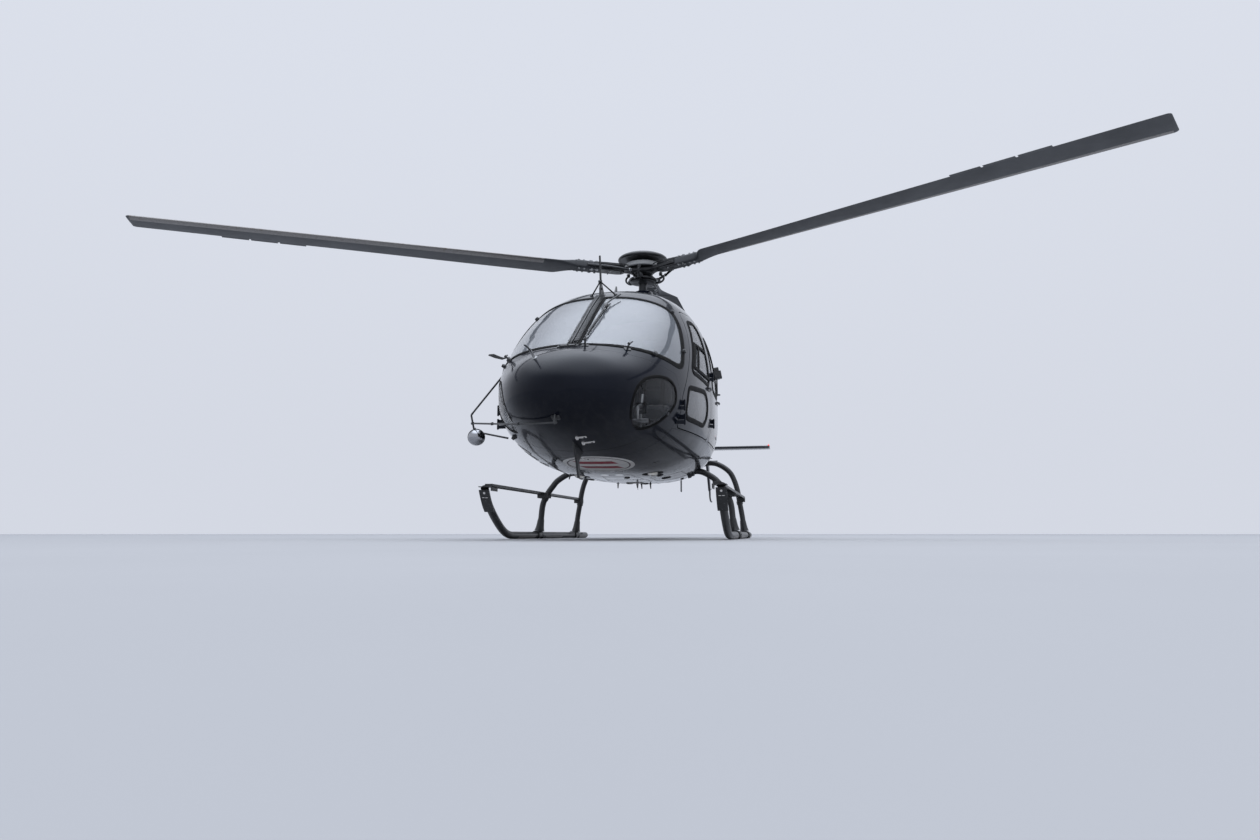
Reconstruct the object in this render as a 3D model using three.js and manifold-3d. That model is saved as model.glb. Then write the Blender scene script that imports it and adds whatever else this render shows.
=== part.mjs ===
// A light utility helicopter with one engine, a three-blade rotor and high landing skids.
// Millimetres. X points to the left side, Y to the tail and Z up.
// The model is laid out round the rotor mast (x = 0, y = 0) with the skids at z = 0,
// and is moved at the end so that its origin is the bottom centre of its bounding box.
import * as THREE from 'three';
import { mergeVertices } from 'three/addons/utils/BufferGeometryUtils.js';
import Module from 'manifold-3d';

const wasm = await Module();
wasm.setup();

// Driving dimensions
const seat = 0.3; // gap between touching pieces
const far = 2000; // past the fuselage on both sides
const ahead = -3600; // in front of the nose
const under = 300; // below the fuselage
const over = 2600; // above the fuselage
const wall = 40; // fuselage wall and door thickness
const skin = 14; // outer lip of a door
const glassDepth = 12; // door and chin glass below the outer surface
const windscreenDepth = 8;
const glassThick = 8;
const doorGap = 5; // each side of a door's outline
const coreInset = 20; // the door's thick core is smaller than its lip
const doorInner = 100; // door shapes start this far from the centre line
const postHalf = 28; // half the windscreen's centre post
const windscreenStrip = 26; // outline to glass opening
const floorTop = 900;
const floorFront = -3050;
const bulkhead = { front: -200, back: -170 };
const centreEnd = 1090; // centre fuselage ends, rear fuselage begins
const rearEnd = 2200; // rear fuselage ends, tail boom begins
const sillHeight = 925; // bottom of the door openings
const noseJoint = -2520; // nose shell meets the belly shell
const rotorRadius = 5345;
const hubHeight = 3110;
const armReach = 540; // the star's arms, at their corners
const armEnd = armReach * Math.cos(Math.PI / 20); // their flat ends
const tailRotorRadius = 930;
const tailHub = { x: -500, y: 6600, z: 1780 };
const skidTrack = 1085; // skid tube to centre line
const skidRadius = 38;
const skidHeight = 36; // its axis; the bottom is worn flat
const crossRadius = 32;

// Fuselage sections: y, bottom z, top z, half width, z of the widest line, roundness above and below
const ringSides = 28;
const hullRows = [
  [-3500, 1120, 1160, 20, 1140, 2.0, 2.0],
  [-3440, 965, 1310, 250, 1140, 2.0, 2.0],
  [-3300, 865, 1430, 430, 1150, 2.1, 2.1],
  [-3050, 785, 1545, 600, 1170, 2.2, 2.2],
  [-2700, 715, 1790, 745, 1200, 2.3, 2.4],
  [-2350, 665, 2040, 835, 1240, 2.4, 2.6],
  [-2000, 635, 2250, 890, 1270, 2.5, 2.8],
  [-1600, 610, 2405, 922, 1290, 2.6, 3.0],
  [-1200, 600, 2475, 935, 1300, 2.65, 3.0],
  [-600, 600, 2500, 915, 1300, 2.65, 3.0],
  [0, 615, 2500, 825, 1310, 2.65, 3.0],
  [600, 735, 2460, 720, 1360, 2.6, 2.9],
  [1200, 900, 2360, 600, 1440, 2.5, 2.7],
  [1700, 1040, 2230, 495, 1530, 2.3, 2.4],
  [rearEnd, 1215, 2055, 380, 1635, 2.0, 2.0],
];

// Side-view outlines (y, z)
const windscreenOutline = [[ahead, 1636], [-2440, 1400], [-1900, 2100], [-2430, 2500], [ahead, 2500]];
const canopyEnd = bulkhead.front - seat;
const canopyOutline = [
  [ahead, 1586], [-2600, 1360], [noseJoint, 1180], [noseJoint, sillHeight],
  [canopyEnd, sillHeight], [canopyEnd, over], [ahead, over],
];
const noseOutline = [[ahead, under], [noseJoint, under], [noseJoint, 1180], [-2600, 1360], [ahead, 1586]];
const frontDoorOutline = [
  [-2430, 935], [-2490, 980], [-2490, 1190], [-2350, 1390], [-1840, 2060], [-1760, 2125],
  [-1480, 2150], [-1425, 2100], [-1425, 935],
];
const rearDoorOutline = [
  [-1350, 935], [-1350, 2066], [-1312, 2098], [-1190, 2084], [-1070, 2042],
  [-830, 1870], [-650, 1600], [-600, 1380], [-600, 935],
];
const baggageDoorOutline = [[-110, 1020], [-110, 1765], [800, 1765], [800, 1080]];
const frontPaneOutline = [
  [-2210, 1455], [-1770, 2020], [-1550, 2050], [-1500, 2010], [-1500, 1480], [-1540, 1440],
];
const lowPaneOutline = [
  [-2380, 1090], [-2330, 1300], [-1740, 1350], [-1620, 1290], [-1620, 1150], [-1760, 1030], [-2330, 1030],
];
const rearPaneOutline = [
  [-1275, 1440], [-1275, 1990], [-1090, 1955], [-880, 1790], [-750, 1580], [-760, 1460], [-800, 1430],
];
const chinPaneOutline = [
  [-3175, 1040], [-3160, 1160], [-3060, 1250], [-2900, 1300], [-2720, 1305], [-2610, 1250], [-2600, 1120],
  [-2740, 960], [-2850, 870], [-2980, 880], [-3110, 960],
];
const chinInner = 300; // the chin windows start this far from the centre line

// Cabin door hinges: x and y of the axis, heights of the knuckles, length of their lugs
const doorHinges = {
  front: { x: 823, y: -2490, heights: [995, 1115], reach: 80 },
  rear: { x: 948, y: -1350, heights: [1100, 1560], reach: 45 },
};
const knuckle = { radius: 9, length: 50, lug: 20, drop: 40 };

// Baggage bays and their doors' top hinges, whose knuckles lie at fractions of the hinge line
const bay = {
  inner: 320, mouth: 500, front: bulkhead.back + wall, back: centreEnd - 120, bottom: 960, top: 1850,
};
const baggageHinge = { front: [832, -110, 1790], back: [681, 800, 1790], middles: [0.25, 0.75] };
const baggageSpans = { door: [[-0.03, 0.03]], frame: [[-0.07, -0.0304], [0.0304, 0.07]] };
const baggageLug = { depth: 30, trim: 2, door: [-34, -2], frame: [2, 24], doorTop: 1758 };
const hookPad = { half: 80, front: -520, back: -400, bottom: 597, top: 630 };

// Roof fairings: y, half width, top z
const gearboxCowlRows = [
  [-1180, 60, 2500], [-1050, 260, 2545], [-800, 350, 2620], [-450, 400, 2705],
  [-150, 420, 2780], [150, 420, 2790], [420, 415, 2750],
];
const engineCowlRows = [
  [420 + seat, 415, 2750], [700, 410, 2700], [1100, 385, 2655], [1500, 345, 2615], [1850, 300, 2590],
];
const cowl = {
  shell: 25, foot: 1900, steps: 12, sideRound: 0.75, topRound: 0.6, mastHole: 85, roomFront: -950,
};
const cowlFlare = [[0, 2740], [150, 2740], [120, 2800], [98, 2850], [0, 2850]]; // r, z
const gearboxProfile = [[0, 2350], [240, 2350], [240, 2640], [120, 2720], [60, 2760], [0, 2760]]; // r, z
const engine = { front: 600, frontZ: 2420, back: 1480, backZ: 2380, radius: 155 };
const exhaust = { outer: 150, bore: 138, start: 1460, z: 2400, rise: 0.07, mouth: 2230, past: 60 };

// Tail boom sections: y, z of the axis, half width, half height
const boomSides = 20;
const boomRows = [
  [rearEnd + seat, 1635, 380, 420], [2600, 1628, 322, 350], [3300, 1645, 282, 294],
  [4900, 1702, 205, 212], [6200, 1758, 148, 152], [6640, 1772, 120, 124],
];
const shaftCover = { from: [0, 2230, 2030], to: [0, 6330, 1905], radius: 70 };
const upperFin = {
  half: 40,
  outline: [
    [6200, 1780], [6230, 1880], [7010, 2960], [7060, 3000],
    [7380, 3000], [7390, 2960], [6960, 1860], [6900, 1780],
  ],
};
const lowerFin = {
  half: 34,
  outline: [
    [6430, 1779], [6900, 1779], [6980, 1700], [7250, 900],
    [7220, 860], [6990, 860], [6950, 900], [6500, 1500],
  ],
};
const bumper = { radius: 17, line: [[0, 7040, 900], [0, 7110, 760], [0, 7220, 680], [0, 7400, 690]] };
const antenna = { half: 200, y: 6560, z: 1430, radius: 9 };
const tailGearbox = { left: 100, right: -160, radius: 95, neckEnd: -290, neckRadius: 45 };
const stabiliser = {
  half: 1265,
  z: 1495,
  middle: 4900,
  section: [ // y and height above the stabiliser's own plane
    [4685, 0], [4710, 20], [4800, 31], [4920, 28], [5155, 3],
    [5155, -3], [4920, -22], [4800, -26], [4710, -18],
  ],
};

// One side of a cross tube: x and z from the middle to the skid
const frontCross = {
  y: -500,
  line: [
    [0, 690], [500, 690], [700, 712], [850, 640], [925, 560],
    [985, 475], [1030, 370], [1048, 220], [1062, 60],
  ],
};
const rearCross = {
  y: 1020,
  line: [
    [0, 905], [500, 910], [680, 925], [800, 885], [900, 805],
    [955, 700], [990, 580], [1015, 430], [1045, 250], [1064, 60],
  ],
};
const skidLine = [ // y, z
  [1560, skidHeight], [0, skidHeight], [-1200, skidHeight], [-1420, 40],
  [-1600, 85], [-1800, 185], [-1990, 320], [-2100, 470],
];
const saddle = { radius: 50, half: 85, bottom: 22 }; // clamp that holds a skid to its cross tube
const step = { inner: 1005, outer: 1085, front: -2110, back: 1000, bottom: 478, top: 508 };

// Rotor head
const starCorners = [ // degrees from the arm, reach
  [-60, 130], [-13, 300], [-9, armReach], [9, armReach], [13, 300],
];
const starHalf = 20;
const mastProfile = [ // r, z
  [0, 2760 + seat], [40, 2760 + seat], [40, 2885], [185, 2890], [185, 2935], [60, 2950], [40, 3050],
  [120, 3085], [190, 3135], [190, 3142], [0, 3142],
];
const dishProfile = [ // r, z
  [0, 3142 + seat], [55, 3142 + seat], [55, 3262], [280, 3232], [292, 3248],
  [240, 3290], [140, 3322], [0, 3340],
];
const link = { turn: 38, foot: 170, head: 255, bottom: 2920, top: 3070, radius: 14 };
const horn = { radius: 16, foot: 3052, height: 3101, reaches: [400, 480, 600, 700] }; // beside a blade's root
// Blade sections: radius, chord ahead of and behind the axis, half thickness, twist in degrees
const bladeRows = [
  [armEnd + seat, 75, 75, 45, 0], [800, 75, 75, 45, 6], [1050, 88, 262, 23, 6],
  [3200, 88, 262, 21, 2], [rotorRadius, 88, 262, 21, -2],
];
const rootSection = [ // along the chord, up, both as fractions
  [-1, 0], [-1, 0.8], [-0.5, 1], [0.5, 1], [1, 0.8],
  [1, -0.8], [0.5, -1], [-0.5, -1], [-1, -0.8],
];
const bladeSection = [
  [-1, 0], [-0.75, 0.65], [-0.2, 1], [0.3, 0.85], [1, 0.06],
  [1, -0.06], [0.3, -0.7], [-0.2, -0.85], [-0.75, -0.6],
];
const tailRows = [[60, 30], [180, 35], [300, 92], [tailRotorRadius, 92]]; // radius, half chord
const tailSection = [[-1, 0], [-0.6, 9], [0, 11], [1, 1], [1, -1], [0, -9], [-0.6, -8]]; // along, out
const tailHubSize = { radius: 40, outer: 40, barRadius: 34, barHalf: 100 };

// Cabin: boxes as x from the seat's middle, y, z above the floor
const seatMiddle = 380;
const seatBoxes = [
  [-230, 230, -1830, -1370, 190, 330], [-230, 230, -1440, -1330, 200, 880],
  [-150, 150, -1425, -1345, 860, 1060], [-180, 180, -1780, -1400, 0, 195],
];
const benchBoxes = [
  [-700, 700, -760, canopyEnd, 210, 350], [-700, 700, -330, canopyEnd, 340, 930],
  [-640, 640, -700, canopyEnd, 0, 215],
];
const hood = {
  half: 330,
  outline: [[-2820, 1060], [-2760, 1400], [-2640, 1500], [-2400, 1500], [-2370, 1440], [-2480, 1080]],
};
const pedestal = {
  half: 110,
  outline: [[-2780, floorTop + seat], [-2780, 1150], [-2500, 1150], [-1990, 1080], [-1960, floorTop + seat]],
};

// Wire cutters and the sling mirror
const cutterHalf = 9;
const upperCutter = [
  [-2170, 2080], [-2135, 2230], [-2115, 2350], [-2150, 2590], [-2132, 2596], [-2085, 2360], [-1940, 2230],
];
const lowerCutter = [[-3060, 850], [-2900, 620], [-2840, 500], [-2800, 505], [-2830, 640], [-2640, 760]];
const mirror = {
  rodRadius: 11,
  top: [-650, -2680, 1470],
  corner: [-985, -2700, 1060],
  low: [-955, -2700, 915],
  belly: [-650, -2700, 850],
  bracket: [[-30, -3428, 870], [-30, -3380, 980]],
  noseLine: [[-972, -2700, 985], [-700, -2950, 942], [-380, -3230, 895], [-20, -3432, 872]],
  ball: { radius: 70, at: [-935, -2700, 865] },
};

// Materials: colour, roughness, metalness
const paints = {
  navy: [0x1b2330, 0.3, 0.1],
  black: [0x14161a, 0.6, 0.0],
  glass: [0x9fb0ba, 0.05, 0.0],
  grey: [0x6a6f75, 0.5, 0.6],
  steel: [0x9aa0a6, 0.35, 0.9],
  blade: [0x4a4e54, 0.5, 0.1],
  cloth: [0x2a2c30, 0.9, 0.0],
};
const materials = Object.fromEntries(Object.entries(paints).map(([name, [color, roughness, metalness]]) => [
  name, new THREE.MeshStandardMaterial({ name, color, roughness, metalness }),
]));

const helicopter = new THREE.Group();

// Solids from geometry
function solid(geometry) {
  const bare = new THREE.BufferGeometry();
  bare.setAttribute('position', geometry.getAttribute('position').clone());
  if (geometry.index) bare.setIndex(geometry.index.clone());
  const merged = mergeVertices(bare, 1e-3);
  const vertProperties = Float32Array.from(merged.getAttribute('position').array);
  const index = Uint32Array.from(merged.index.array);
  const triVerts = [];
  for (let i = 0; i < index.length; i += 3) {
    const [a, b, c] = index.slice(i, i + 3);
    if (a !== b && b !== c && c !== a) triVerts.push(a, b, c);
  }
  const mesh = new wasm.Mesh({ numProp: 3, vertProperties, triVerts: Uint32Array.from(triVerts) });
  return new wasm.Manifold(mesh);
}

function place(name, shape, paint) {
  const { vertProperties, triVerts, numProp } = shape.getMesh();
  const position = new Float32Array((vertProperties.length / numProp) * 3);
  for (let i = 0; i < position.length / 3; i += 1) {
    for (let k = 0; k < 3; k += 1) position[3 * i + k] = vertProperties[numProp * i + k];
  }
  const geometry = new THREE.BufferGeometry();
  geometry.setAttribute('position', new THREE.BufferAttribute(position, 3));
  geometry.setIndex(new THREE.BufferAttribute(Uint32Array.from(triVerts), 1));
  geometry.computeVertexNormals();
  const mesh = new THREE.Mesh(geometry, materials[paint]);
  mesh.name = name;
  helicopter.add(mesh);
}

function join(shapes) {
  return shapes.reduce((whole, shape) => whole.add(shape));
}

function cut(shape, tools) {
  return tools.reduce((rest, tool) => rest.subtract(tool), shape);
}

function mirrorX(shape) {
  const { vertProperties, triVerts } = shape.getMesh();
  const flipped = Float32Array.from(vertProperties, (value, i) => (i % 3 === 0 ? -value : value));
  const mesh = new wasm.Mesh({ numProp: 3, vertProperties: flipped, triVerts: triVerts.slice().reverse() });
  return new wasm.Manifold(mesh);
}

// One side's solid under both names: the left as given, the right mirrored
function placePair(name, shape, paint) {
  place(`${name}_left`, shape, paint);
  place(`${name}_right`, mirrorX(shape), paint);
}

function box(x0, x1, y0, y1, z0, z1) {
  const geometry = new THREE.BoxGeometry(x1 - x0, y1 - y0, z1 - z0);
  return solid(geometry.translate((x0 + x1) / 2, (y0 + y1) / 2, (z0 + z1) / 2));
}

// A side-view outline (y, z) extruded from x0 to x1
function sidePrism(outline, x0, x1) {
  const shape = new THREE.Shape(outline.map(([y, z]) => new THREE.Vector2(y, z)));
  const geometry = new THREE.ExtrudeGeometry(shape, { depth: x1 - x0, bevelEnabled: false });
  const turn = new THREE.Matrix4().set(0, 0, 1, x0, 1, 0, 0, 0, 0, 1, 0, 0, 0, 0, 0, 1);
  return solid(geometry.applyMatrix4(turn));
}

// A plan outline (x, y) extruded from z0 to z1
function planPrism(outline, z0, z1) {
  const shape = new THREE.Shape(outline.map(([x, y]) => new THREE.Vector2(x, y)));
  const geometry = new THREE.ExtrudeGeometry(shape, { depth: z1 - z0, bevelEnabled: false });
  return solid(geometry.translate(0, 0, z0));
}

// Moves each edge of a simple outline outward by the distance (inward when negative)
function grow(outline, distance) {
  const points = outline.map(([a, b]) => new THREE.Vector2(a, b));
  const turn = THREE.ShapeUtils.area(points) > 0 ? 1 : -1;
  return points.map((point, i) => {
    const before = points[(i + points.length - 1) % points.length];
    const after = points[(i + 1) % points.length];
    const normals = [[before, point], [point, after]].map(([a, b]) => {
      const along = b.clone().sub(a).normalize();
      return new THREE.Vector2(along.y * turn, -along.x * turn);
    });
    const mitre = normals[0].clone().add(normals[1]);
    mitre.multiplyScalar(distance / (1 + normals[0].dot(normals[1])));
    return [point.x + mitre.x, point.y + mitre.y];
  });
}

function rod(from, to, radius, sides = 12) {
  const a = new THREE.Vector3(...from);
  const b = new THREE.Vector3(...to);
  const geometry = new THREE.CylinderGeometry(radius, radius, a.distanceTo(b), sides);
  const along = b.clone().sub(a).normalize();
  geometry.applyQuaternion(new THREE.Quaternion().setFromUnitVectors(new THREE.Vector3(0, 1, 0), along));
  return solid(geometry.translate(...a.add(b).multiplyScalar(0.5).toArray()));
}

// A round tube along a smooth line through the points
function bentTube(points, radius, steps, sides = 10) {
  const path = new THREE.CatmullRomCurve3(points.map((p) => new THREE.Vector3(...p)), false, 'centripetal');
  const ring = [];
  for (let i = 0; i < sides; i += 1) {
    const angle = (2 * Math.PI * i) / sides;
    ring.push(new THREE.Vector2(radius * Math.cos(angle), radius * Math.sin(angle)));
  }
  const options = { steps, bevelEnabled: false, extrudePath: path };
  return solid(new THREE.ExtrudeGeometry(new THREE.Shape(ring), options));
}

// A round body about a vertical axis; the profile (r, z) starts and ends on the axis
function turned(profile, sides = 24) {
  const geometry = new THREE.LatheGeometry(profile.map(([r, z]) => new THREE.Vector2(r, z)), sides);
  return solid(geometry.rotateX(Math.PI / 2));
}

// A closed body through rings of equal length, with flat ends
function loft(rings) {
  const count = rings[0].length;
  const points = rings.flat();
  const triangles = [];
  for (let i = 0; i + 1 < rings.length; i += 1) {
    for (let j = 0; j < count; j += 1) {
      const k = (j + 1) % count;
      const [a, b, c, d] = [i * count + j, i * count + k, (i + 1) * count + j, (i + 1) * count + k];
      triangles.push(a, b, d, a, d, c);
    }
  }
  for (const [ring, first] of [[rings[0], true], [rings[rings.length - 1], false]]) {
    const start = first ? 0 : (rings.length - 1) * count;
    const centre = ring.reduce((sum, p) => sum.add(p), new THREE.Vector3()).divideScalar(count);
    points.push(centre);
    for (let j = 0; j < count; j += 1) {
      const pair = [start + j, start + ((j + 1) % count)];
      if (first) pair.reverse();
      triangles.push(points.length - 1, ...pair);
    }
  }
  const geometry = new THREE.BufferGeometry();
  geometry.setAttribute('position', new THREE.Float32BufferAttribute(points.flatMap((p) => p.toArray()), 3));
  geometry.setIndex(signedVolume(points, triangles) < 0 ? triangles.reverse() : triangles);
  return solid(geometry);
}

function signedVolume(points, triangles) {
  let sum = 0;
  for (let i = 0; i < triangles.length; i += 3) {
    const [a, b, c] = [0, 1, 2].map((k) => points[triangles[i + k]]);
    sum += a.dot(b.clone().cross(c));
  }
  return sum;
}

// Fuselage surface points
const hullGrid = hullRows.map(([y, low, high, half, wide, above, below]) => {
  const ring = [];
  for (let i = 0; i < ringSides; i += 1) {
    const angle = (2 * Math.PI * (i + 0.5)) / ringSides;
    const [c, s] = [Math.cos(angle), Math.sin(angle)];
    const power = 2 / (s > 0 ? above : below);
    const rise = s > 0 ? high - wide : wide - low;
    const x = half * Math.sign(c) * Math.abs(c) ** power;
    ring.push(new THREE.Vector3(x, y, wide + rise * Math.sign(s) * Math.abs(s) ** power));
  }
  return ring;
});

// The solid fuselage, moved inward by the depth (outward when negative)
const hullCache = new Map();
function hull(depth) {
  if (hullCache.has(depth)) return hullCache.get(depth);
  const last = hullGrid.length - 1;
  const rings = hullGrid.map((ring, i) => ring.map((point, j) => {
    const along = hullGrid[Math.min(i + 1, last)][j].clone().sub(hullGrid[Math.max(i - 1, 0)][j]);
    const around = ring[(j + 1) % ringSides].clone().sub(ring[(j + ringSides - 1) % ringSides]);
    const outward = around.cross(along).normalize();
    if (i === 0) outward.set(0, -1, 0);
    if (outward.dot(new THREE.Vector3(point.x, 0, point.z - hullRows[i][4])) < 0) outward.negate();
    if (i === last) outward.setY(0).normalize();
    return point.clone().addScaledVector(outward, -depth);
  }));
  hullCache.set(depth, loft(rings));
  return hullCache.get(depth);
}

function band(outer, inner) {
  return hull(outer).subtract(hull(inner));
}

// Glass that fills an opening of the given outline, on the left side
function pane(outline, x0) {
  return band(glassDepth, glassDepth + glassThick).intersect(sidePrism(grow(outline, -seat), x0, far));
}

function doorKnuckles({ x, y, heights, reach }) {
  return join(heights.map((z) => {
    const bottom = z - knuckle.drop;
    const outer = y - doorGap;
    return rod([x, y, bottom], [x, y, z - seat], knuckle.radius, 8)
      .add(box(x - reach, x, outer - knuckle.lug, outer, bottom, z - seat));
  }));
}

function canopy() {
  const opening = grow(windscreenOutline, -windscreenStrip);
  const frame = cut(band(0, wall).intersect(sidePrism(canopyOutline, -far, far)), [
    sidePrism(opening, postHalf, far),
    sidePrism(opening, -far, -postHalf),
    sidePrism(grow(frontDoorOutline, doorGap), -far, far),
    sidePrism(grow(rearDoorOutline, doorGap), -far, far),
  ]);
  const knuckles = join(Object.values(doorHinges).map(doorKnuckles));
  place('canopy_frame', join([frame, knuckles, mirrorX(knuckles)]), 'navy');
  const glass = band(windscreenDepth, windscreenDepth + glassThick);
  placePair('windscreen', glass.intersect(sidePrism(grow(opening, -seat), postHalf + seat, far)), 'glass');
}

// The outer lip and the thick core of a door
function panel(outline, x0) {
  const lip = band(0, skin).intersect(sidePrism(grow(outline, -doorGap), x0, far));
  const core = band(skin - 1, wall).intersect(sidePrism(grow(outline, -coreInset), x0, far));
  return lip.add(core);
}

function cabinDoor(outline, panes, { x, y, heights, reach }) {
  const lugs = heights.map((z) => {
    const top = z + knuckle.length;
    const inner = y + doorGap;
    return rod([x, y, z], [x, y, top], knuckle.radius, 8)
      .add(box(x - reach, x, inner, inner + knuckle.lug, z, top));
  });
  const openings = panes.map((paneOutline) => sidePrism(paneOutline, doorInner, far));
  return join([cut(panel(outline, doorInner), openings), ...lugs]);
}

function cabinDoors() {
  const frontPanes = [frontPaneOutline, lowPaneOutline];
  placePair('front_door', cabinDoor(frontDoorOutline, frontPanes, doorHinges.front), 'navy');
  placePair('front_door_glass', pane(frontPaneOutline, doorInner), 'glass');
  placePair('front_door_low_glass', pane(lowPaneOutline, doorInner), 'glass');
  placePair('rear_door', cabinDoor(rearDoorOutline, [rearPaneOutline], doorHinges.rear), 'navy');
  placePair('rear_door_glass', pane(rearPaneOutline, doorInner), 'glass');
}

function nose() {
  const window = sidePrism(chinPaneOutline, chinInner, far);
  const shell = band(0, wall).intersect(sidePrism(grow(noseOutline, -seat), -far, far));
  place('nose_shell', cut(shell, [window, mirrorX(window)]), 'navy');
  placePair('chin_window', pane(chinPaneOutline, chinInner + seat), 'glass');
}

function belly() {
  const below = box(-far, far, noseJoint + seat, bulkhead.back - seat, under, sillHeight - seat);
  const pad = box(-hookPad.half, hookPad.half, hookPad.front, hookPad.back, hookPad.bottom, hookPad.top);
  const shell = band(0, wall).intersect(below).add(pad);
  place('belly_shell', shell.subtract(crossTube(frontCross, crossRadius + seat)), 'navy');
  const floor = box(-far, far, floorFront, canopyEnd, floorTop - wall, floorTop);
  place('cabin_floor', hull(wall + seat).intersect(floor), 'grey');
}

function centreFuselage() {
  const body = hull(0).intersect(box(-far, far, bulkhead.back, centreEnd, under, over));
  const hollow = hull(wall).intersect(box(bay.inner, far, bay.front, bay.back, bay.bottom, bay.top))
    .add(sidePrism(grow(baggageDoorOutline, doorGap), bay.mouth, far));
  const knuckles = join(baggageKnuckles('frame'));
  const shape = join([cut(body, [hollow, mirrorX(hollow)]), knuckles, mirrorX(knuckles)]);
  place('centre_fuselage', shape.subtract(crossTube(rearCross, crossRadius + seat)), 'navy');
  const plate = box(-far, far, bulkhead.front, bulkhead.back - seat, floorTop + seat, over);
  place('rear_bulkhead', hull(wall + seat).intersect(plate), 'grey');
  const rear = box(-far, far, centreEnd + seat, rearEnd + 1, under, over);
  place('rear_fuselage', hull(0).intersect(rear), 'navy');
}

// Knuckles along a baggage door's top hinge: the door's own, or those of the frame
function baggageKnuckles(owner) {
  const from = new THREE.Vector3(...baggageHinge.front);
  const to = new THREE.Vector3(...baggageHinge.back);
  const parts = [];
  for (const middle of baggageHinge.middles) {
    for (const [start, end] of baggageSpans[owner]) {
      const p = from.clone().lerp(to, middle + start);
      const q = from.clone().lerp(to, middle + end);
      const [low, high] = baggageLug[owner];
      const { depth, trim } = baggageLug;
      parts.push(rod(p.toArray(), q.toArray(), knuckle.radius));
      parts.push(box(q.x - depth, p.x, p.y + trim, q.y - trim, p.z + low, p.z + high));
    }
  }
  return parts;
}

function baggageDoors() {
  const roof = hull(-baggageLug.trim).intersect(box(0, far, -far, far, baggageLug.doorTop, far));
  const knuckles = join(baggageKnuckles('door')).subtract(roof);
  placePair('baggage_door', panel(baggageDoorOutline, bay.inner).add(knuckles), 'navy');
}

// A roof fairing's solid body, its first and last section moved to y0 and y1
function cowlBody(rows, inset, y0, y1) {
  return loft(rows.map(([y, half, top], row) => {
    const ends = { 0: y0, [rows.length - 1]: y1 };
    const ring = [];
    for (let i = 0; i <= cowl.steps; i += 1) {
      const angle = (Math.PI * i) / cowl.steps;
      const side = Math.cos(angle);
      const x = (half - inset) * Math.sign(side) * Math.abs(side) ** cowl.sideRound;
      const z = cowl.foot + (top - inset - cowl.foot) * Math.sin(angle) ** cowl.topRound;
      ring.push(new THREE.Vector3(x, ends[row] ?? y, z));
    }
    return ring;
  }));
}

function cowlFairings() {
  const roof = hull(-seat);
  const { shell, mastHole, roomFront } = cowl;
  const [front, middle, back] = [gearboxCowlRows[0][0], gearboxCowlRows.at(-1)[0], engineCowlRows.at(-1)[0]];
  const hole = turned([[0, over], [mastHole, over], [mastHole, over + far], [0, over + far]]);
  const room = cowlBody(gearboxCowlRows.slice(1), shell, roomFront, middle - shell);
  const fore = cowlBody(gearboxCowlRows, 0, front, middle).add(turned(cowlFlare));
  place('gearbox_cowling', cut(fore, [room, hole, roof]), 'navy');
  const engineRoom = cowlBody(engineCowlRows, shell, middle + shell, back - shell);
  const aft = cowlBody(engineCowlRows, 0, middle + seat, back);
  place('engine_cowling', cut(aft, [engineRoom, exhaustRod(exhaust.outer + seat, 0, 0), roof]), 'navy');
}

function powerplant() {
  const roof = hull(-seat);
  place('main_gearbox', turned(gearboxProfile, 20).subtract(roof), 'grey');
  place('engine_block', engineRod(0).subtract(roof), 'grey');
  const bore = exhaustRod(exhaust.bore, exhaust.past, exhaust.past);
  place('exhaust_pipe', cut(exhaustRod(exhaust.outer, 0, 0), [bore, engineRod(seat), roof]), 'steel');
}

function engineRod(extra) {
  const { front, frontZ, back, backZ, radius } = engine;
  return rod([0, front - extra, frontZ], [0, back + extra, backZ], radius + extra, 14);
}

// A rod on the exhaust's axis, which climbs a little towards its mouth
function exhaustRod(radius, later, longer) {
  const [y0, y1] = [exhaust.start + later, exhaust.mouth + longer];
  const height = (y) => exhaust.z + exhaust.rise * (y - engine.back);
  return rod([0, y0, height(y0)], [0, y1, height(y1)], radius, 18);
}

function tailBoom() {
  const tube = loft(boomRows.map(([y, axis, half, rise]) => {
    const ring = [];
    for (let i = 0; i < boomSides; i += 1) {
      const angle = (2 * Math.PI * i) / boomSides;
      ring.push(new THREE.Vector3(half * Math.cos(angle), y, axis + rise * Math.sin(angle)));
    }
    return ring;
  }));
  const cover = rod(shaftCover.from, shaftCover.to, shaftCover.radius, 14);
  const slots = [upperFin, lowerFin].map(({ outline, half }) => (
    finSolid({ outline: grow(outline, seat), half: half + seat })
  ));
  place('tail_boom', cut(tube.add(cover), [stabiliserSolid(seat), ...slots, gearboxSeat()]), 'navy');
  place('stabiliser', stabiliserSolid(0), 'navy');
}

function fins() {
  place('upper_fin', finSolid(upperFin).subtract(gearboxSeat()), 'navy');
  const { half, y, z, radius } = antenna;
  const skid = bentTube(bumper.line, bumper.radius, 12, 8);
  const bar = rod([-half, y, z], [half, y, z], radius, 8);
  place('lower_fin', join([finSolid(lowerFin), skid, bar]).subtract(gearboxSeat()), 'navy');
}

function finSolid({ outline, half }) {
  return sidePrism(outline, -half, half);
}

function stabiliserSolid(extra) {
  const { half, z: height, middle, section } = stabiliser;
  const ring = (x) => section.map(([y, z]) => (
    new THREE.Vector3(x, y + Math.sign(y - middle) * extra, height + z + Math.sign(z) * extra)
  ));
  return loft([ring(-half), ring(half)]);
}

function gearboxSeat() {
  const { left, right, radius } = tailGearbox;
  return rod([right - seat, tailHub.y, tailHub.z], [left + 60, tailHub.y, tailHub.z], radius + seat, 16);
}

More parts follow.
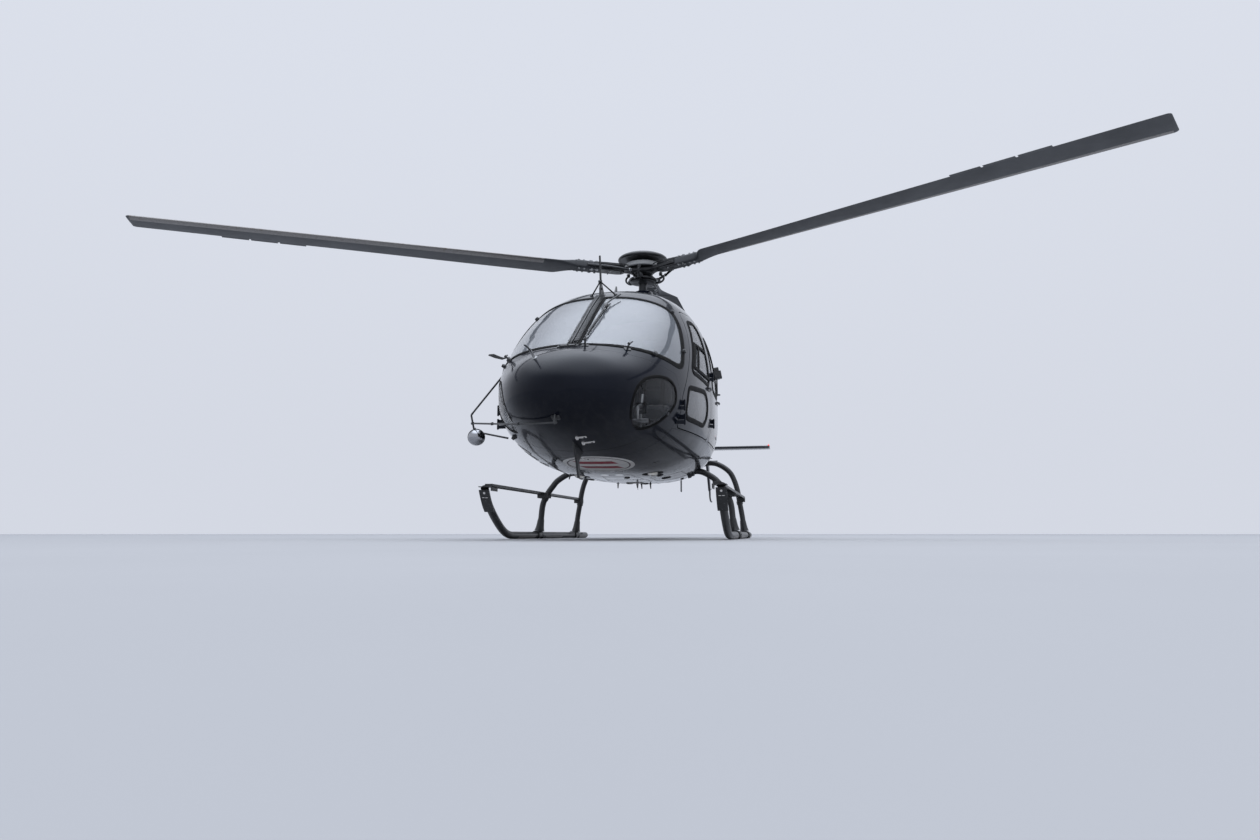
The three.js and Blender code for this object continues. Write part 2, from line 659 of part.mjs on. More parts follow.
function tailDrive() {
  const { left, right, radius, neckEnd, neckRadius } = tailGearbox;
  const { x, y, z } = tailHub;
  const neck = rod([neckEnd, y, z], [right + 10, y, z], neckRadius);
  place('tail_gearbox', rod([right, y, z], [left, y, z], radius, 16).add(neck), 'grey');
  const hub = rod([neckEnd - seat, y, z], [x - tailHubSize.outer, y, z], tailHubSize.radius, 14);
  const bar = rod([x, y, z - tailHubSize.barHalf], [x, y, z + tailHubSize.barHalf], tailHubSize.barRadius);
  const blade = (up) => loft(tailRows.map(([reach, half]) => tailSection.map(([along, out]) => (
    new THREE.Vector3(x + out, y + along * half, z + up * reach)
  ))));
  place('tail_rotor', join([hub, bar, blade(1), blade(-1)]), 'grey');
}

function crossTube({ y, line }, radius) {
  const right = line.slice(1).reverse().map(([x, z]) => [-x, y, z]);
  return bentTube([...right, ...line.map(([x, z]) => [x, y, z])], radius, 32, 8);
}

function skidTube(radius) {
  return bentTube(skidLine.map(([y, z]) => [skidTrack, y, z]), radius, 24, 10);
}

function saddleSolid(y) {
  const { radius, half, bottom } = saddle;
  const block = rod([skidTrack, y - half, skidHeight], [skidTrack, y + half, skidHeight], radius, 14);
  return block.subtract(box(skidTrack - far, skidTrack + far, y - far, y + far, -far, bottom));
}

function landingGear() {
  const skid = skidTube(skidRadius);
  const groove = skidTube(skidRadius + seat);
  for (const [name, tube] of [['front_cross_tube', frontCross], ['rear_cross_tube', rearCross]]) {
    const clamp = saddleSolid(tube.y);
    const whole = join([crossTube(tube, crossRadius), clamp, mirrorX(clamp)]);
    place(name, cut(whole, [groove, mirrorX(groove)]), 'black');
  }
  const ground = box(skidTrack - far, skidTrack + far, -far - far, far + far, -far, 0);
  placePair('skid', skid.subtract(ground), 'black');
  const board = box(step.inner, step.outer, step.front, step.back, step.bottom, step.top);
  const tubes = [frontCross, rearCross].map((tube) => crossTube(tube, crossRadius + seat));
  placePair('step', cut(board, [...tubes, groove]), 'black');
}

// Direction of a rotor arm, turned on by some degrees
function armAngle(arm, turn) {
  return THREE.MathUtils.degToRad(90 + 120 * arm + turn);
}

function rotorHead() {
  const star = [];
  const parts = [turned(mastProfile)];
  for (let arm = 0; arm < 3; arm += 1) {
    for (const [turn, reach] of starCorners) {
      star.push([reach * Math.cos(armAngle(arm, turn)), reach * Math.sin(armAngle(arm, turn))]);
    }
    parts.push(...pitchControl(arm));
  }
  place('rotor_mast', join([planPrism(star, hubHeight - starHalf, hubHeight + starHalf), ...parts]), 'grey');
  place('rotor_dish', turned(dishProfile), 'black');
}

// The pitch link from the swashplate and the horn that it drives
function pitchControl(arm) {
  const angle = armAngle(arm, link.turn);
  const linkAt = (reach, z) => [reach * Math.cos(angle), reach * Math.sin(angle), z];
  const along = new THREE.Vector2(Math.cos(armAngle(arm, 0)), Math.sin(armAngle(arm, 0)));
  const offset = bladeRows[0][1] + horn.radius + seat;
  const hornAt = (reach) => [
    reach * along.x - offset * along.y, reach * along.y + offset * along.x, horn.height,
  ];
  return [
    rod(linkAt(link.foot, link.bottom), linkAt(link.head, link.top), link.radius, 8),
    bentTube([linkAt(link.head, horn.foot), ...horn.reaches.map(hornAt)], horn.radius, 8, 8),
  ];
}

function blades() {
  for (let arm = 0; arm < 3; arm += 1) {
    const rings = bladeRows.map(([radius, fore, aft, half, twist]) => {
      const section = fore === aft ? rootSection : bladeSection;
      return section.map(([along, up]) => {
        const point = new THREE.Vector3(along * (along < 0 ? fore : aft), 0, up * half);
        point.applyAxisAngle(new THREE.Vector3(0, 1, 0), THREE.MathUtils.degToRad(twist));
        point.add(new THREE.Vector3(0, radius, hubHeight));
        return point.applyAxisAngle(new THREE.Vector3(0, 0, 1), armAngle(arm, -90));
      });
    });
    place(`rotor_blade_${arm + 1}`, loft(rings), 'blade');
  }
}

// Boxes given from a middle x and above the floor
function cabinBoxes(boxes, middle) {
  const deck = floorTop + seat;
  return join(boxes.map(([x0, x1, y0, y1, z0, z1]) => (
    box(middle + x0, middle + x1, y0, y1, deck + z0, deck + z1)
  )));
}

function cabin() {
  place('front_seat_left', cabinBoxes(seatBoxes, seatMiddle), 'cloth');
  place('front_seat_right', cabinBoxes(seatBoxes, -seatMiddle), 'cloth');
  place('rear_bench', cabinBoxes(benchBoxes, 0), 'cloth');
  const console = [hood, pedestal].map(({ outline, half }) => sidePrism(outline, -half, half));
  place('instrument_console', join(console), 'black');
}

function fittings() {
  const roof = hull(-seat);
  place('upper_wire_cutter', sidePrism(upperCutter, -cutterHalf, cutterHalf).subtract(roof), 'black');
  place('lower_wire_cutter', sidePrism(lowerCutter, -cutterHalf, cutterHalf).subtract(roof), 'black');
  const { rodRadius, top, corner, low, belly: foot, bracket, noseLine, ball } = mirror;
  const rods = [[top, corner], [corner, low], [low, foot], bracket].map(([a, b]) => rod(a, b, rodRadius, 8));
  const globe = new THREE.SphereGeometry(ball.radius, 16, 10).rotateX(Math.PI / 2).translate(...ball.at);
  const shape = join([...rods, bentTube(noseLine, rodRadius, 8, 8), solid(globe)]);
  place('mirror_frame', shape.subtract(roof), 'black');
}

canopy();
cabinDoors();
nose();
belly();
centreFuselage();
baggageDoors();
cowlFairings();
powerplant();
tailBoom();
fins();
tailDrive();
landingGear();
rotorHead();
blades();
cabin();
fittings();

const { min, max } = new THREE.Box3().setFromObject(helicopter);
helicopter.position.set(-(min.x + max.x) / 2, -(min.y + max.y) / 2, -min.z);
helicopter.updateMatrixWorld(true);

export default helicopter;
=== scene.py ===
from math import atan2, copysign, cos, exp, pi, radians, sin, sqrt

import bmesh
import bpy
import numpy as np
from mathutils import Matrix, Vector


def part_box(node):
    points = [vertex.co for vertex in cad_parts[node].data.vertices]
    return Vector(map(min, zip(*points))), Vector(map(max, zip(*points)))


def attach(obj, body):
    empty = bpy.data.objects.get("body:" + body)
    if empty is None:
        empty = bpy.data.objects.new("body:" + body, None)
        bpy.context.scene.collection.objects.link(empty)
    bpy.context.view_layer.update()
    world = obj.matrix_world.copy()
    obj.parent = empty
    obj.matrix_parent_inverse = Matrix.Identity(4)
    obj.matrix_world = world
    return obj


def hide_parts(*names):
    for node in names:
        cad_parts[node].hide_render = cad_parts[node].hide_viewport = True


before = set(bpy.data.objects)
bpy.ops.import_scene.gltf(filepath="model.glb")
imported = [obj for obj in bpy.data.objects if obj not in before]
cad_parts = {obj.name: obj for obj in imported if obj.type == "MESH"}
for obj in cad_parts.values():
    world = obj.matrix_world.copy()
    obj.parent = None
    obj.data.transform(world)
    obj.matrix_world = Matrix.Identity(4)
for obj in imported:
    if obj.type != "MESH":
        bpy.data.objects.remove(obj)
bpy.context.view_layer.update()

dishLow, dishHigh = (Vector(corner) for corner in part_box("rotor_dish"))
origin = Vector(((dishLow.x + dishHigh.x) / 2, (dishLow.y + dishHigh.y) / 2, 0))
scene = bpy.context.scene
scene.view_settings.view_transform = "Standard"

# Shapes are pairs of (points, faces), measured from the mast, until they become objects


def allRound(count):
    # angles evenly round a circle
    return np.linspace(0, 2 * pi, count, endpoint=False)


def rectangle(x0, x1, y0, y1):
    return [(x0, y0), (x1, y0), (x1, y1), (x0, y1)]


def joined(*shapes):
    points, faces = [], []
    for morePoints, moreFaces in shapes:
        start = len(points)
        points.extend(Vector(p) for p in morePoints)
        faces.extend(tuple(i + start for i in face) for face in moreFaces)
    return points, faces


def moved(shape, offset=(0, 0, 0), turn=None):
    matrix = Matrix.Translation(offset) @ (turn.to_4x4() if turn else Matrix.Identity(4))
    return [matrix @ Vector(p) for p in shape[0]], shape[1]


def mirrored(shape):
    return [Vector((-p[0], p[1], p[2])) for p in shape[0]], [tuple(reversed(face)) for face in shape[1]]


def bothSides(shape):
    return joined(shape, mirrored(shape))


def lofted(rings, closed=True, caps=True):
    count = len(rings[0])
    points = [Vector(p) for ring in rings for p in ring]
    faces = []
    for i in range(len(rings) - 1):
        for j in range(count if closed else count - 1):
            k = (j + 1) % count
            faces.append((i * count + j, i * count + k, (i + 1) * count + k, (i + 1) * count + j))
    if caps:
        faces += [tuple(reversed(range(count))), tuple(range(len(points) - count, len(points)))]
    return points, faces


def pathFrames(points, closed=False):
    # tangent and two steady side directions at each point of a line
    points = [Vector(p) for p in points]
    count = len(points)
    tangents = []
    for i in range(count):
        before = points[(i - 1) % count] if closed else points[max(i - 1, 0)]
        after = points[(i + 1) % count] if closed else points[min(i + 1, count - 1)]
        tangents.append((after - before).normalized())
    side = tangents[0].orthogonal().normalized()
    frames = []
    for tangent in tangents:
        side = (side - tangent * side.dot(tangent)).normalized()
        frames.append((tangent, side, tangent.cross(side)))
    return frames


def tube(points, radius, sides=12, caps=True, closed=False):
    # radius is one number, or one for each point
    radii = radius if isinstance(radius, (list, tuple)) else [radius] * len(points)
    rings = []
    for point, r, (_, u, v) in zip(points, radii, pathFrames(points, closed)):
        angles = [2 * pi * j / sides for j in range(sides)]
        rings.append([Vector(point) + r * (cos(a) * u + sin(a) * v) for a in angles])
    if closed:
        return lofted(rings + [rings[0]], caps=False)
    return lofted(rings, caps=caps)


def rod(start, end, radius, sides=16):
    return tube([start, end], radius, sides)


def smoothLine(points, steps=6, closed=False):
    # a Catmull-Rom curve through the points
    points = [Vector(p) for p in points]
    count = len(points)
    line = []
    for i in range(count if closed else count - 1):
        if closed:
            a, b, c, d = (points[(i + k) % count] for k in (-1, 0, 1, 2))
        else:
            a, b, c, d = (points[min(max(i + k, 0), count - 1)] for k in (-1, 0, 1, 2))
        for s in range(steps):
            t = s / steps
            line.append(0.5 * (2 * b + (c - a) * t + (2 * a - 5 * b + 4 * c - d) * t * t
                + (3 * b - a - 3 * c + d) * t ** 3))
    if not closed:
        line.append(points[-1])
    return line


def turned(profile, sides=48, axis="Z"):
    # profile is (radius, height) from one end to the other
    turns = [2 * pi * j / sides for j in range(sides)]
    points, faces = lofted([[(r * cos(a), r * sin(a), h) for a in turns] for r, h in profile])
    order = {"X": (2, 0, 1), "Y": (1, 2, 0), "Z": (0, 1, 2)}[axis]
    return [Vector([p[k] for k in order]) for p in points], faces


def block(x0, x1, y0, y1, z0, z1):
    points = [Vector((x, y, z)) for x in (x0, x1) for y in (y0, y1) for z in (z0, z1)]
    return points, [(0, 1, 3, 2), (4, 6, 7, 5), (0, 4, 5, 1), (2, 3, 7, 6), (0, 2, 6, 4), (1, 5, 7, 3)]


def slab(outline, depth):
    # a flat outline in (x, y) extruded up by the depth
    return lofted([[(x, y, z) for x, y in outline] for z in (0, depth)])


def sidePrism(outline, x0, x1):
    # a side-view outline (y, z) extruded from x0 to x1
    return lofted([[(x, y, z) for y, z in outline] for x in (x0, x1)])


def facing(shape, at, normal, up=(0, 0, 1)):
    # turns a shape built flat on the XY plane so that its Z points along the normal
    z = Vector(normal).normalized()
    x = Vector(up).cross(z)
    x = x.normalized() if x.length > 1e-4 else z.orthogonal().normalized()
    turn = Matrix((x, z.cross(x), z)).transposed()
    return moved(shape, at, turn)


def circle(radius, sides=24, stretch=1.0):
    return [(radius * cos(2 * pi * i / sides), stretch * radius * sin(2 * pi * i / sides))
        for i in range(sides)]


def bolt(at, normal, radius=0.006, height=0.004):
    washer = slab(circle(radius * 1.5, 12), height * 0.35)
    head = moved(slab(circle(radius, 6), height), (0, 0, height * 0.35))
    return facing(joined(washer, head), at, normal)


def rivets(places, radius=0.0032):
    # low domes at (point, normal) places
    shapes = []
    for at, normal in places:
        dome = turned([(radius, -0.001), (radius * 0.95, 0.0006), (radius * 0.5, 0.0013)], 8)
        shapes.append(facing(dome, at, normal))
    return joined(*shapes)


def roundCorners(outline, radius, steps=5):
    # an outline of (a, b) points with each corner replaced by a short curve
    points = [Vector(p) for p in outline]
    count = len(points)
    curve = []
    for i, corner in enumerate(points):
        before, after = points[i - 1] - corner, points[(i + 1) % count] - corner
        reach = min(radius, 0.45 * before.length, 0.45 * after.length)
        a, b = corner + before.normalized() * reach, corner + after.normalized() * reach
        for s in range(steps + 1):
            t = s / steps
            curve.append(tuple((1 - t) ** 2 * a + 2 * t * (1 - t) * corner + t * t * b))
    return curve


def grow(outline, distance):
    # moves each edge of an outline outward, or inward when negative
    points = [Vector(p) for p in outline]
    area = sum(a.x * b.y - b.x * a.y for a, b in zip(points, points[1:] + points[:1]))
    turn = 1 if area > 0 else -1
    grown = []
    for i, point in enumerate(points):
        before, after = points[i - 1], points[(i + 1) % len(points)]
        normals = [Vector((d.y, -d.x)).normalized() * turn for d in (point - before, after - point)]
        mitre = normals[0] + normals[1]
        grown.append(tuple(point + mitre * (distance / max(0.2, 1 + normals[0].dot(normals[1])))))
    return grown


def plate(halfX, halfY, radius, depth):
    # a flat plate with rounded corners
    return slab(roundCorners(rectangle(-halfX, halfX, -halfY, halfY), radius), depth)


# Meshes and objects


def meshOf(shape, name="draft"):
    # a mesh whose faces already point the right way
    mesh = bpy.data.meshes.new(name)
    mesh.from_pydata([tuple(p) for p in shape[0]], [], [list(f) for f in shape[1]])
    return mesh


def meshFrom(shape, name="draft"):
    mesh = meshOf(shape, name)
    fix = bmesh.new()
    fix.from_mesh(mesh)
    bmesh.ops.recalc_face_normals(fix, faces=fix.faces)
    fix.to_mesh(mesh)
    fix.free()
    return mesh


def carved(first, operation, second):
    # a boolean of two meshes or shapes, both used up
    drafts = []
    for each in (first, second):
        mesh = each if isinstance(each, bpy.types.Mesh) else meshFrom(each)
        drafts.append(bpy.data.objects.new("draft", mesh))
        scene.collection.objects.link(drafts[-1])
    cutter = drafts[0].modifiers.new("cut", "BOOLEAN")
    cutter.operation = operation
    cutter.solver = "MANIFOLD"
    cutter.object = drafts[1]
    graph = bpy.context.evaluated_depsgraph_get()
    graph.update()
    mesh = bpy.data.meshes.new_from_object(drafts[0].evaluated_get(graph))
    for obj in drafts:
        bpy.data.objects.remove(obj)
    return mesh


def cut(mesh, *hollows):
    for hollow in hollows:
        mesh = carved(mesh, "DIFFERENCE", hollow)
    return mesh


def common(first, second):
    return carved(first, "INTERSECT", second)


def mirrorMesh(mesh):
    copy = mesh.copy()
    for vertex in copy.vertices:
        vertex.co.x = -vertex.co.x
    copy.flip_normals()
    return copy


slots = {
    "navy_paint": ["navyPaint"], "black_paint": ["satinBlack", "wellBlackAndOpeningShade"],
    "dark_metal": ["darkMetal", "paleMetal", "wornSteel", "castAlloy", "convexMirror", "mirrorMetal"],
    "blade_grey": ["bladeSkin"], "exhaust_steel": ["heatedSteel"], "cabin_grey": ["cabinGrey"],
    "console_black": ["consolePlastic", "markPaint"],
    "glass": ["sideGlass", "windscreenGlass", "chinGlass", "redLens", "greenLens", "lampLens"],
    "seat_cloth": ["seatCloth", "beltWebbing"]}
slotOf = {name: slot for slot, names in slots.items() for name in names}


def finishPiece(mesh, name, material, body="airframe", replaces=None, slot=None, smooth=35, bevel=0,
        hull=False):
    # moves a mesh from the mast's place to the frame's, shades it and hands it to the frame
    if hull:
        shadeAsHull(mesh)
    elif smooth:
        mesh.polygons.foreach_set("use_smooth", [True] * len(mesh.polygons))
        mesh.set_sharp_from_angle(angle=radians(smooth))
    mesh.transform(Matrix.Translation(origin))
    mesh.name = name
    mesh.materials.clear()
    mesh.materials.append(material)
    obj = bpy.data.objects.new(name, mesh)
    scene.collection.objects.link(obj)
    if bevel:
        edge = obj.modifiers.new("edges", "BEVEL")
        edge.width, edge.segments, edge.limit_method, edge.angle_limit = bevel, 2, "ANGLE", radians(40)
    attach(obj, body)
    if replaces:
        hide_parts(replaces)
    slot = slot or slotOf.get(material.name)
    return obj


def piece(name, material, *shapes, **options):
    return finishPiece(meshFrom(joined(*shapes), name), name, material, **options)


def pairOf(mesh, name, material, body=None, replaces=None, **options):
    # the left piece as built and the right one mirrored
    for side, each in (("left", mesh), ("right", mirrorMesh(mesh))):
        rider = f"{body}_{side}" if body else "airframe"
        node = f"{replaces}_{side}" if replaces else None
        finishPiece(each, f"{name}_{side}", material, body=rider, replaces=node, **options)


def pair(name, material, *shapes, **options):
    pairOf(meshFrom(joined(*shapes)), name, material, **options)


# Materials: every finish is a small node network on one glossy or matt shader


class Finish:
    def __init__(self, name, metallic=0.0, **fixed):
        self.material = bpy.data.materials.new(name)
        self.material.use_nodes = True
        self.nodes = self.material.node_tree.nodes
        self.links = self.material.node_tree.links
        self.shader = self.nodes["Principled BSDF"]
        for socket, value in {"Metallic": metallic, **fixed}.items():
            self.shader.inputs[socket.replace("_", " ")].default_value = value
        self.place = self.node("ShaderNodeTexCoord").outputs["Object"]

    def feed(self, socket, value):
        if isinstance(value, (int, float, tuple)):
            socket.default_value = value
        else:
            self.links.new(value, socket)

    def node(self, kind, **settings):
        node = self.nodes.new(kind)
        for key, value in settings.items():
            if key in node.inputs:
                self.feed(node.inputs[key], value)
            else:
                setattr(node, key, value)
        return node

    def noise(self, scale, detail=4.0, stretch=None):
        source = self.place
        if stretch:
            source = self.node("ShaderNodeMapping", Vector=source, Scale=stretch).outputs["Vector"]
        return self.node("ShaderNodeTexNoise", Vector=source, Scale=scale, Detail=detail,
            Roughness=0.55).outputs["Fac"]

    def ramp(self, fac, low, high, colors=((0, 0, 0, 1), (1, 1, 1, 1))):
        node = self.node("ShaderNodeValToRGB", Fac=fac)
        for stop, at, color in zip(node.color_ramp.elements, (low, high), colors):
            stop.position, stop.color = at, color
        return node.outputs["Color"]

    def blend(self, fac, first, second, share=None):
        # from the first colour to the second with the factor, or with a share of it
        node = self.node("ShaderNodeMix", data_type="RGBA")
        values = (self.math("MULTIPLY", fac, share) if share else fac, first, second)
        for index, value in zip((0, 6, 7), values):
            self.feed(node.inputs[index], value + (1,) if isinstance(value, tuple) else value)
        return node.outputs[2]

    def math(self, operation, a, b=0.0):
        node = self.node("ShaderNodeMath", operation=operation)
        self.feed(node.inputs[0], a)
        self.feed(node.inputs[1], b)
        return node.outputs[0]

    def geometry(self, output):
        return self.node("ShaderNodeNewGeometry").outputs[output]

    def along(self, vector, axis):
        return self.node("ShaderNodeSeparateXYZ", Vector=vector).outputs[axis]

    def bump(self, height, strength=0.2, distance=0.001):
        node = self.node("ShaderNodeBump", Height=height, Strength=strength, Distance=distance)
        self.links.new(node.outputs["Normal"], self.shader.inputs["Normal"])

    def spread(self, fac, low, high):
        # a value that runs from low to high with the factor
        return self.node("ShaderNodeMapRange", Value=fac, **{"To Min": low, "To Max": high}).outputs["Result"]

    def done(self, color, fac, low, high):
        # joins the colour and a roughness that runs from low to high with the factor
        self.links.new(color, self.shader.inputs["Base Color"])
        self.links.new(self.spread(fac, low, high), self.shader.inputs["Roughness"])
        return self.material


paintLook = {
    "dark": (0.003, 0.0042, 0.0085), "light": (0.005, 0.007, 0.013), "dust": (0.055, 0.055, 0.052),
    "dustReach": 0.22, "peelScale": 260.0}


def navyPaint():
    # deep navy two-coat paint: faint colour drift, orange peel, thin dust and streaks under the belly
    finish = Finish("navyPaint", Coat_Weight=1.0, Coat_Roughness=0.07, Coat_IOR=1.18, Specular_IOR_Level=0.06)
    color = finish.blend(finish.ramp(finish.noise(1.6, 5), 0.35, 0.65), paintLook["dark"], paintLook["light"])
    down = finish.along(finish.geometry("Normal"), "Z")
    under = finish.math("MULTIPLY", finish.math("MAXIMUM", finish.math("MULTIPLY", down, -1.0), 0.0), 0.8)
    streaks = finish.math("MULTIPLY", finish.ramp(finish.noise(6, 6, (3.5, 0.35, 3.5)), 0.48, 0.75), under)
    specks = finish.math("MULTIPLY", finish.ramp(finish.noise(38, 3), 0.62, 0.72), 0.12)
    color = finish.blend(finish.math("ADD", streaks, specks), color, paintLook["dust"],
        paintLook["dustReach"])
    finish.bump(finish.noise(paintLook["peelScale"], 2), 0.035, 0.0006)
    return finish.done(color, finish.noise(9, 4), 0.24, 0.4)


def satinBlack():
    # powder-coated black tube: fine grain, chips that show grey metal on the edges, dust
    finish = Finish("satinBlack", Coat_Weight=0.25, Coat_Roughness=0.25)
    color = finish.blend(finish.ramp(finish.noise(7, 4), 0.3, 0.7), (0.009, 0.0095, 0.011),
        (0.017, 0.018, 0.02))
    edges = finish.ramp(finish.geometry("Pointiness"), 0.53, 0.6)
    chips = finish.math("MULTIPLY", finish.ramp(finish.noise(55, 6), 0.62, 0.68), edges)
    finish.bump(finish.noise(900, 2), 0.12, 0.0004)
    return finish.done(finish.blend(chips, color, (0.09, 0.09, 0.094)), finish.noise(18, 4), 0.36, 0.55)


def wornSteel():
    # bare steel rubbed on the ground: long scratches, patches of rust tint
    finish = Finish("wornSteel", 0.85)
    scratches = finish.noise(70, 5, (6, 0.25, 6))
    color = finish.blend(finish.ramp(scratches, 0.35, 0.7), (0.16, 0.15, 0.145), (0.36, 0.35, 0.34))
    rust = finish.ramp(finish.noise(24, 6), 0.6, 0.72)
    finish.bump(scratches, 0.3, 0.0005)
    return finish.done(finish.blend(rust, color, (0.1, 0.055, 0.03), 0.5), scratches, 0.32, 0.6)


def blackRubber():
    finish = Finish("blackRubber", Specular_IOR_Level=0.08)
    color = finish.blend(finish.ramp(finish.noise(30, 4), 0.4, 0.7), (0.003, 0.003, 0.0033),
        (0.008, 0.008, 0.008))
    finish.bump(finish.noise(420, 3), 0.2, 0.0004)
    return finish.done(color, finish.noise(22, 3), 0.5, 0.72)


def darkMetal():
    # anodised and painted head parts: oily sheen, bright rub marks on edges
    finish = Finish("darkMetal", 0.55, Coat_Weight=0.15, Coat_Roughness=0.2)
    oil = finish.ramp(finish.noise(16, 5), 0.42, 0.62)
    color = finish.blend(oil, (0.022, 0.023, 0.025), (0.036, 0.037, 0.04))
    edges = finish.ramp(finish.geometry("Pointiness"), 0.53, 0.62)
    rubbed = finish.math("MULTIPLY", edges, finish.ramp(finish.noise(40, 5), 0.5, 0.65))
    finish.bump(finish.noise(240, 4), 0.12, 0.0005)
    return finish.done(finish.blend(rubbed, color, (0.11, 0.11, 0.114)), oil, 0.3, 0.5)


def paleMetal():
    # machined aluminium and plated steel with turning marks
    finish = Finish("paleMetal", 0.9)
    marks = finish.noise(120, 4, (1, 1, 5))
    color = finish.blend(finish.ramp(marks, 0.3, 0.7), (0.27, 0.275, 0.28), (0.46, 0.465, 0.47))
    grime = finish.ramp(finish.noise(11, 6), 0.5, 0.75)
    finish.bump(marks, 0.12, 0.0003)
    return finish.done(finish.blend(grime, color, (0.04, 0.037, 0.033), 0.55), marks, 0.24, 0.42)


def bladeSkin():
    # matt dark grey blade paint, rubbed thinner along the span
    finish = Finish("bladeSkin", Specular_IOR_Level=0.4)
    color = finish.blend(finish.ramp(finish.noise(2.2, 6), 0.35, 0.7), (0.045, 0.048, 0.053),
        (0.075, 0.079, 0.086))
    specks = finish.ramp(finish.noise(85, 4), 0.66, 0.7)
    finish.bump(finish.noise(300, 3), 0.08, 0.0004)
    return finish.done(finish.blend(specks, color, (0.2, 0.2, 0.2), 0.35), finish.noise(12, 5), 0.45, 0.62)


def plainFinish(name, low, high, rough=(0.4, 0.6), metallic=0.0, scale=12.0, **fixed):
    # an even finish with a little drift, grain and fine bump
    finish = Finish(name, metallic, **fixed)
    drift = finish.ramp(finish.noise(scale, 5), 0.35, 0.7)
    finish.bump(finish.noise(scale * 30, 3), 0.08, 0.0004)
    return finish.done(finish.blend(drift, low, high), drift, *rough)


def clearGlass(name, tint, faced, slanted, coat=1.0, specular=0.9):
    # acrylic: see-through when seen square on, mirror-like at a slant; the tint is partly the pane's own
    # colour and partly painted light
    finish = Finish(name, Specular_IOR_Level=specular, Coat_Weight=coat, Coat_Roughness=0.02)
    slant = finish.node("ShaderNodeLayerWeight", Blend=0.38).outputs["Facing"]
    smear = finish.noise(5, 6, (1, 1, 2.5))
    veil = finish.math("ADD", slant, finish.math("MULTIPLY", finish.ramp(smear, 0.5, 0.8), 0.05))
    finish.links.new(finish.spread(veil, faced, slanted), finish.shader.inputs["Alpha"])
    return finish.done(finish.blend(smear, tint, tuple(0.8 * c for c in tint)), smear, 0.015, 0.06)


print("materials")
navy = navyPaint()
black = satinBlack()
steel = wornSteel()
rubber = blackRubber()
metal = darkMetal()
bright = paleMetal()
bladeGrey = bladeSkin()
# the windscreen's pale lavender tint is partly painted sky reflection, and the chin panes' near-black tint
# partly painted shade
windscreenGlass = clearGlass("windscreenGlass", (0.25, 0.27, 0.3), 0.15, 0.8)
sideGlass = clearGlass("sideGlass", (0.12, 0.13, 0.145), 0.06, 0.6)
chinGlass = clearGlass("chinGlass", (0.02, 0.022, 0.025), 0.04, 0.5, 0.3, 0.5)

# Fuselage surface: sections by y, low z, high z, half width, z of the widest line, roundness above and below
fuselage = {
    "sections": np.array([(-3.50, 1.120, 1.160, 0.020, 1.140, 2.0, 2.0),
        (-3.44, 0.965, 1.310, 0.250, 1.140, 2.0, 2.0), (-3.30, 0.865, 1.430, 0.430, 1.150, 2.1, 2.1),
        (-3.05, 0.785, 1.545, 0.600, 1.170, 2.2, 2.2), (-2.70, 0.715, 1.790, 0.745, 1.200, 2.3, 2.4),
        (-2.35, 0.665, 2.040, 0.835, 1.240, 2.4, 2.6), (-2.00, 0.635, 2.250, 0.890, 1.270, 2.5, 2.8),
        (-1.60, 0.610, 2.405, 0.922, 1.290, 2.6, 3.0), (-1.20, 0.600, 2.475, 0.935, 1.300, 2.65, 3.0),
        (-0.60, 0.600, 2.500, 0.915, 1.300, 2.65, 3.0), (0.00, 0.615, 2.500, 0.825, 1.310, 2.65, 3.0),
        (0.60, 0.735, 2.460, 0.720, 1.360, 2.6, 2.9), (1.20, 0.900, 2.360, 0.600, 1.440, 2.5, 2.7),
        (1.70, 1.040, 2.230, 0.495, 1.530, 2.3, 2.4), (2.20, 1.215, 2.055, 0.380, 1.635, 2.0, 2.0)]),
    "stations": 96, "sides": 112, "wall": 0.038, "far": 2.0, "ahead": -3.6, "under": 0.3, "over": 2.6,
    "panelGap": 0.0015, "lamps": [(-0.385, -1.344), (0.372, -1.489)]}


def smoothTable(rows):
    # a smooth function through a table's rows that never overshoots them; each row starts with its key
    rows = np.array(rows, float)
    keys, values = rows[:, 0], rows[:, 1:]
    gaps = np.diff(keys)[:, None]
    rises = np.diff(values, axis=0) / gaps
    slopes = np.zeros_like(values)
    slopes[0], slopes[-1] = rises[0], rises[-1]
    w1, w2 = 2 * gaps[1:] + gaps[:-1], gaps[1:] + 2 * gaps[:-1]
    same = rises[:-1] * rises[1:] > 0
    before, after = np.where(same, rises[:-1], 1), np.where(same, rises[1:], 1)
    slopes[1:-1] = np.where(same, (w1 + w2) / (w1 / before + w2 / after), 0)

    def read(u):
        u = np.clip(np.asarray(u, float), keys[0], keys[-1])
        i = np.clip(np.searchsorted(keys, u) - 1, 0, len(keys) - 2)
        width = (keys[i + 1] - keys[i])[..., None]
        t = (u - keys[i])[..., None] / width
        return ((2 * t ** 3 - 3 * t ** 2 + 1) * values[i] + (t ** 3 - 2 * t ** 2 + t) * slopes[i] * width
            + (3 * t ** 2 - 2 * t ** 3) * values[i + 1] + (t ** 3 - t ** 2) * slopes[i + 1] * width)

    return read


rows = fuselage["sections"]
noseY, endY = rows[0, 0], rows[-1, 0]
sectionCurve = smoothTable(np.column_stack([np.sqrt(rows[:, 0] - noseY), rows[:, 1:]]))


def sectionAt(y):
    # the six section values at each y
    return sectionCurve(np.sqrt(np.clip(np.asarray(y, float), noseY, endY) - noseY))


def hullLevel(p):
    # below zero inside the fuselage, above zero outside
    s = sectionAt(p[..., 1])
    low, high, half, wide, above, below = (s[..., k] for k in range(6))
    up = p[..., 2] >= wide
    rise = np.where(up, high - wide, wide - low)
    power = np.where(up, above, below)
    return (np.abs(p[..., 0]) / half) ** power + (np.abs(p[..., 2] - wide) / rise) ** power - 1


